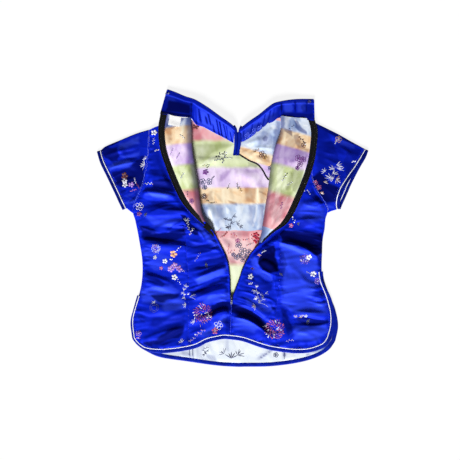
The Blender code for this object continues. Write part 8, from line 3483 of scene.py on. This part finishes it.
@dataclass
class HookAndEye:
    """The wire hook and eye at the zip ends of the collar."""

    left: CollarHalf
    right: CollarHalf
    shank: float = 4.0
    bend_place: float = 3.0
    bend: float = 1.1
    tip: float = 0.2
    eye_size: tuple[float, float] = (3.2, 2.4)

    def level(self, grid: np.ndarray, x: float, y: float) -> float:
        """The height just above the collar's highest point near a place."""
        points = grid.reshape(-1, 3)
        near = np.hypot(points[:, 0] - x, points[:, 1] - y) < FASTENER_REACH
        return points[near, 2].max() + COLLAR_CLOTH / 2 + SEAM_GAP

    def build(self, finish: bpy.types.Material) -> None:
        """Build both.

        Args:
            finish: their metal.
        """
        level = self.level(self.left.grid, HOOK_X, HOOK_Y) + WIRE / 2
        turns = [math.radians(turn) for turn in range(0, 181, 20)]
        bow = [(self.bend_place + self.bend * math.sin(t), -self.bend * math.cos(t)) for t in turns]
        outline = [(-self.shank, -self.bend), *bow, (self.tip, self.bend)]
        points = np.array([(HOOK_X + x, HOOK_Y + y, level) for x, y in outline])
        hook = wire("hook_wire", points, WIRE)
        rings = [self.ring(HOOK_X - 4.2, HOOK_Y + shift, level, 1.0) for shift in (-1.3, 0.9)]
        hook = joined([hook, *rings], finish)
        hook.name = "hook_wire"
        dress(hook, ["collar_hook"])
        level = self.level(self.right.grid, EYE_X, EYE_Y) + WIRE / 2
        oval = with_height(np.array([EYE_X, EYE_Y]) + np.array(self.eye_size) * circle(24), level)
        eye = wire("eye_wire", oval, WIRE, closed=True)
        rings = [self.ring(EYE_X + 4.0, EYE_Y + shift, level, 0.9) for shift in (-1.2, 1.2)]
        eye = joined([eye, *rings], finish)
        eye.name = "eye_wire"
        dress(eye, ["collar_eye"])

    def ring(self, x: float, y: float, level: float, radius: float) -> bpy.types.Object:
        """A small sewing loop at a place."""
        line = with_height(np.array([x, y]) + radius * circle(12), level)
        return wire("sewing_loop", line, 0.6, closed=True)


@dataclass
class Studio:
    """A plain white floor, soft light low from the hem's side, and a camera straight above."""

    height: float = 2.5
    across: float = 1.058
    middle: tuple[float, float] = (-0.0062, -0.0059)
    lift: float = 0.006
    sensor: float = 36.0
    floor_size: float = 8.0
    floor_gap: float = 0.0004
    floor_tone: float = 0.13
    floor_glow: float = 0.87
    floor_roughness: float = 0.9
    floor_gloss: float = 0.1
    dome: float = 0.12
    key_strength: float = 6.3
    key_softness: float = 20.0
    key_elevation: float = 29.0
    key_heading: float = -102.0

    def build(self) -> None:
        """Build the floor, the lights and the camera."""
        self.build_floor()
        self.build_lights()
        self.build_camera()

    def build_floor(self) -> None:
        """A plain pale floor just under the garment."""
        clear_selection()
        bpy.ops.mesh.primitive_plane_add(size=self.floor_size, location=(0, 0, -self.floor_gap))
        floor = bpy.context.active_object
        floor.name = "studio_floor"
        made, _, shader = new_material("studio_floor")
        shader.inputs["Base Color"].default_value = (self.floor_tone,) * 3 + (1.0,)
        shader.inputs["Roughness"].default_value = self.floor_roughness
        shader.inputs["Specular IOR Level"].default_value = self.floor_gloss
        shader.inputs["Emission Color"].default_value = (1.0, 1.0, 1.0, 1.0)
        shader.inputs["Emission Strength"].default_value = self.floor_glow
        floor.data.materials.append(made)

    def sun(self, name: str, strength: float, softness: float, elevation: float, heading: float) -> None:
        """Add a broad distant light that shines on the garment.

        Args:
            name: the light's name.
            strength: in watts for each square metre.
            softness: its angular size, in degrees.
            elevation: its angle above the floor, in degrees.
            heading: which way it lies from the garment, in degrees from X.
        """
        rise, turn = math.radians(elevation), math.radians(heading)
        place = Vector((math.cos(turn) * math.cos(rise), math.sin(turn) * math.cos(rise), math.sin(rise)))
        data = bpy.data.lights.new(name, "SUN")
        data.energy = strength
        data.angle = math.radians(softness)
        light = bpy.data.objects.new(name, data)
        light.location = place * 2
        light.rotation_euler = (-place).to_track_quat("-Z", "Y").to_euler()
        bpy.context.scene.collection.objects.link(light)

    def build_lights(self) -> None:
        """The key light and the dome."""
        self.sun("key_light", self.key_strength, self.key_softness, self.key_elevation, self.key_heading)
        world = bpy.data.worlds.new("soft_dome")
        world.use_nodes = True
        background = world.node_tree.nodes["Background"]
        background.inputs["Color"].default_value = (1.0, 1.0, 1.0, 1.0)
        background.inputs["Strength"].default_value = self.dome
        bpy.context.scene.world = world

    def build_camera(self) -> None:
        """A camera straight above."""
        data = bpy.data.cameras.new("camera")
        data.type = "PERSP"
        data.sensor_width = self.sensor
        data.lens = data.sensor_width * self.height / self.across
        data.dof.use_dof = False
        camera = bpy.data.objects.new("camera", data)
        camera.location = (*self.middle, self.height + self.lift)
        bpy.context.scene.collection.objects.link(camera)
        scene = bpy.context.scene
        scene.camera = camera
        scene.view_settings.view_transform = "Standard"


def build_backs(wardrobe: Wardrobe) -> tuple[BackPanel, BackPanel]:
    """Build both backs with what lies on their flaps.

    Args:
        wardrobe: the finishes.

    Returns:
        The left back and the right back.
    """
    left = BackPanel(
        "left",
        LEFT_STATIONS,
        LEFT_HEM,
        LEFT_SHOULDER,
        [*LEFT_FOLDS, *LEFT_CREASES],
        LEFT_SEAM,
        LEFT_FLAP_BANDS,
        LEFT_BACK_PAINTED_LIGHT,
        LEFT_FLAP_PAINTED_LIGHT,
        11,
        band_tilt=0.08,
        roll_shade=(6.0, 26.0),
        roll_dim=0.88,
        free_tape=5.6,
    )
    right = BackPanel(
        "right",
        RIGHT_STATIONS,
        RIGHT_HEM,
        RIGHT_SHOULDER,
        [*RIGHT_FOLDS, *RIGHT_CREASES],
        RIGHT_SEAM,
        RIGHT_FLAP_BANDS,
        RIGHT_BACK_PAINTED_LIGHT,
        RIGHT_FLAP_PAINTED_LIGHT,
        21,
        band_tilt=0.25,
    )
    for back in (left, right):
        made = back.build_cloth(wardrobe.satin)
        lining = back.build_lining(wardrobe.lining)
        tape = back.build_tape(wardrobe.tape)
        edge = back.build_free_tape(wardrobe.tape, SLIDER_Y)
        motifs, flap_motifs = (
            (LEFT_BACK_MOTIFS, LEFT_FLAP_MOTIFS) if back is left else (RIGHT_BACK_MOTIFS, RIGHT_FLAP_MOTIFS)
        )
        figuring = Figuring(back.side + "_back_figures", made, wardrobe)
        back.sew(figuring)
        figures = figuring.build(motifs, 100, "satin")
        stitches = back.sew_tape(wardrobe, tape)
        coil_line = back.coil_line(SLIDER_Y + SLIDER_LENGTH / 2)
        coil = ZipCoil().build(back.side + "_zip_coil", coil_line, wardrobe)
        pale = Figuring(back.side + "_flap_figures", lining, wardrobe).build(flap_motifs, 200, "lining")
        sewn = [tape, edge, figures, stitches, coil]
        if back is left:
            sewn += centre_seam(left, right, wardrobe)
    return left, right


def main() -> None:
    """Build the whole object and its studio."""
    logging.basicConfig(level=logging.INFO)
    wardrobe = Wardrobe()
    left, right = build_backs(wardrobe)
    BackHem(left, right).build(wardrobe)
    front = FrontPanel()
    neck = front.build(wardrobe)
    sleeves = [
        ShortSleeve(
            "left",
            left.side_line[left.side_line[:, 1] > UNDERARM_Y],
            LEFT_SLEEVE_TOP,
            LEFT_CUFF,
            LEFT_CUFF,
            [*LEFT_SLEEVE_FOLDS, *LEFT_SLEEVE_CREASES],
            LEFT_SLEEVE_MOTIFS,
            LEFT_SLEEVE_PAINTED_LIGHT,
            0.0,
            31,
        ),
        ShortSleeve(
            "right",
            right.side_line[right.side_line[:, 1] > UNDERARM_Y],
            RIGHT_SLEEVE_TOP,
            RIGHT_CUFF_UPPER,
            RIGHT_CUFF_LOWER,
            [*RIGHT_SLEEVE_FOLDS, *RIGHT_SLEEVE_CREASES],
            RIGHT_SLEEVE_MOTIFS,
            RIGHT_SLEEVE_PAINTED_LIGHT,
            6.0,
            41,
        ),
    ]
    for sleeve in sleeves:
        sleeve.build(wardrobe)
    collars = [
        CollarHalf("left", COLLAR_LEFT, neck, LEFT_COLLAR_PAINTED_LIGHT, LEFT_CORD_TAIL, [], 51),
        CollarHalf(
            "right",
            COLLAR_RIGHT,
            neck,
            RIGHT_COLLAR_PAINTED_LIGHT,
            RIGHT_CORD_TAIL,
            RIGHT_COLLAR_MOTIFS,
            57,
            smooth_shade=0.12,
        ),
    ]
    for half in collars:
        half.build(wardrobe)
    NeckLabel(left).build(wardrobe.label)
    HookAndEye(*collars).build(wardrobe.metal)
    slider = ZipSlider()
    slider.build(wardrobe.metal)
    slider.build_pull(wardrobe.metal)
    Studio().build()


if __name__ == "__main__":
    main()
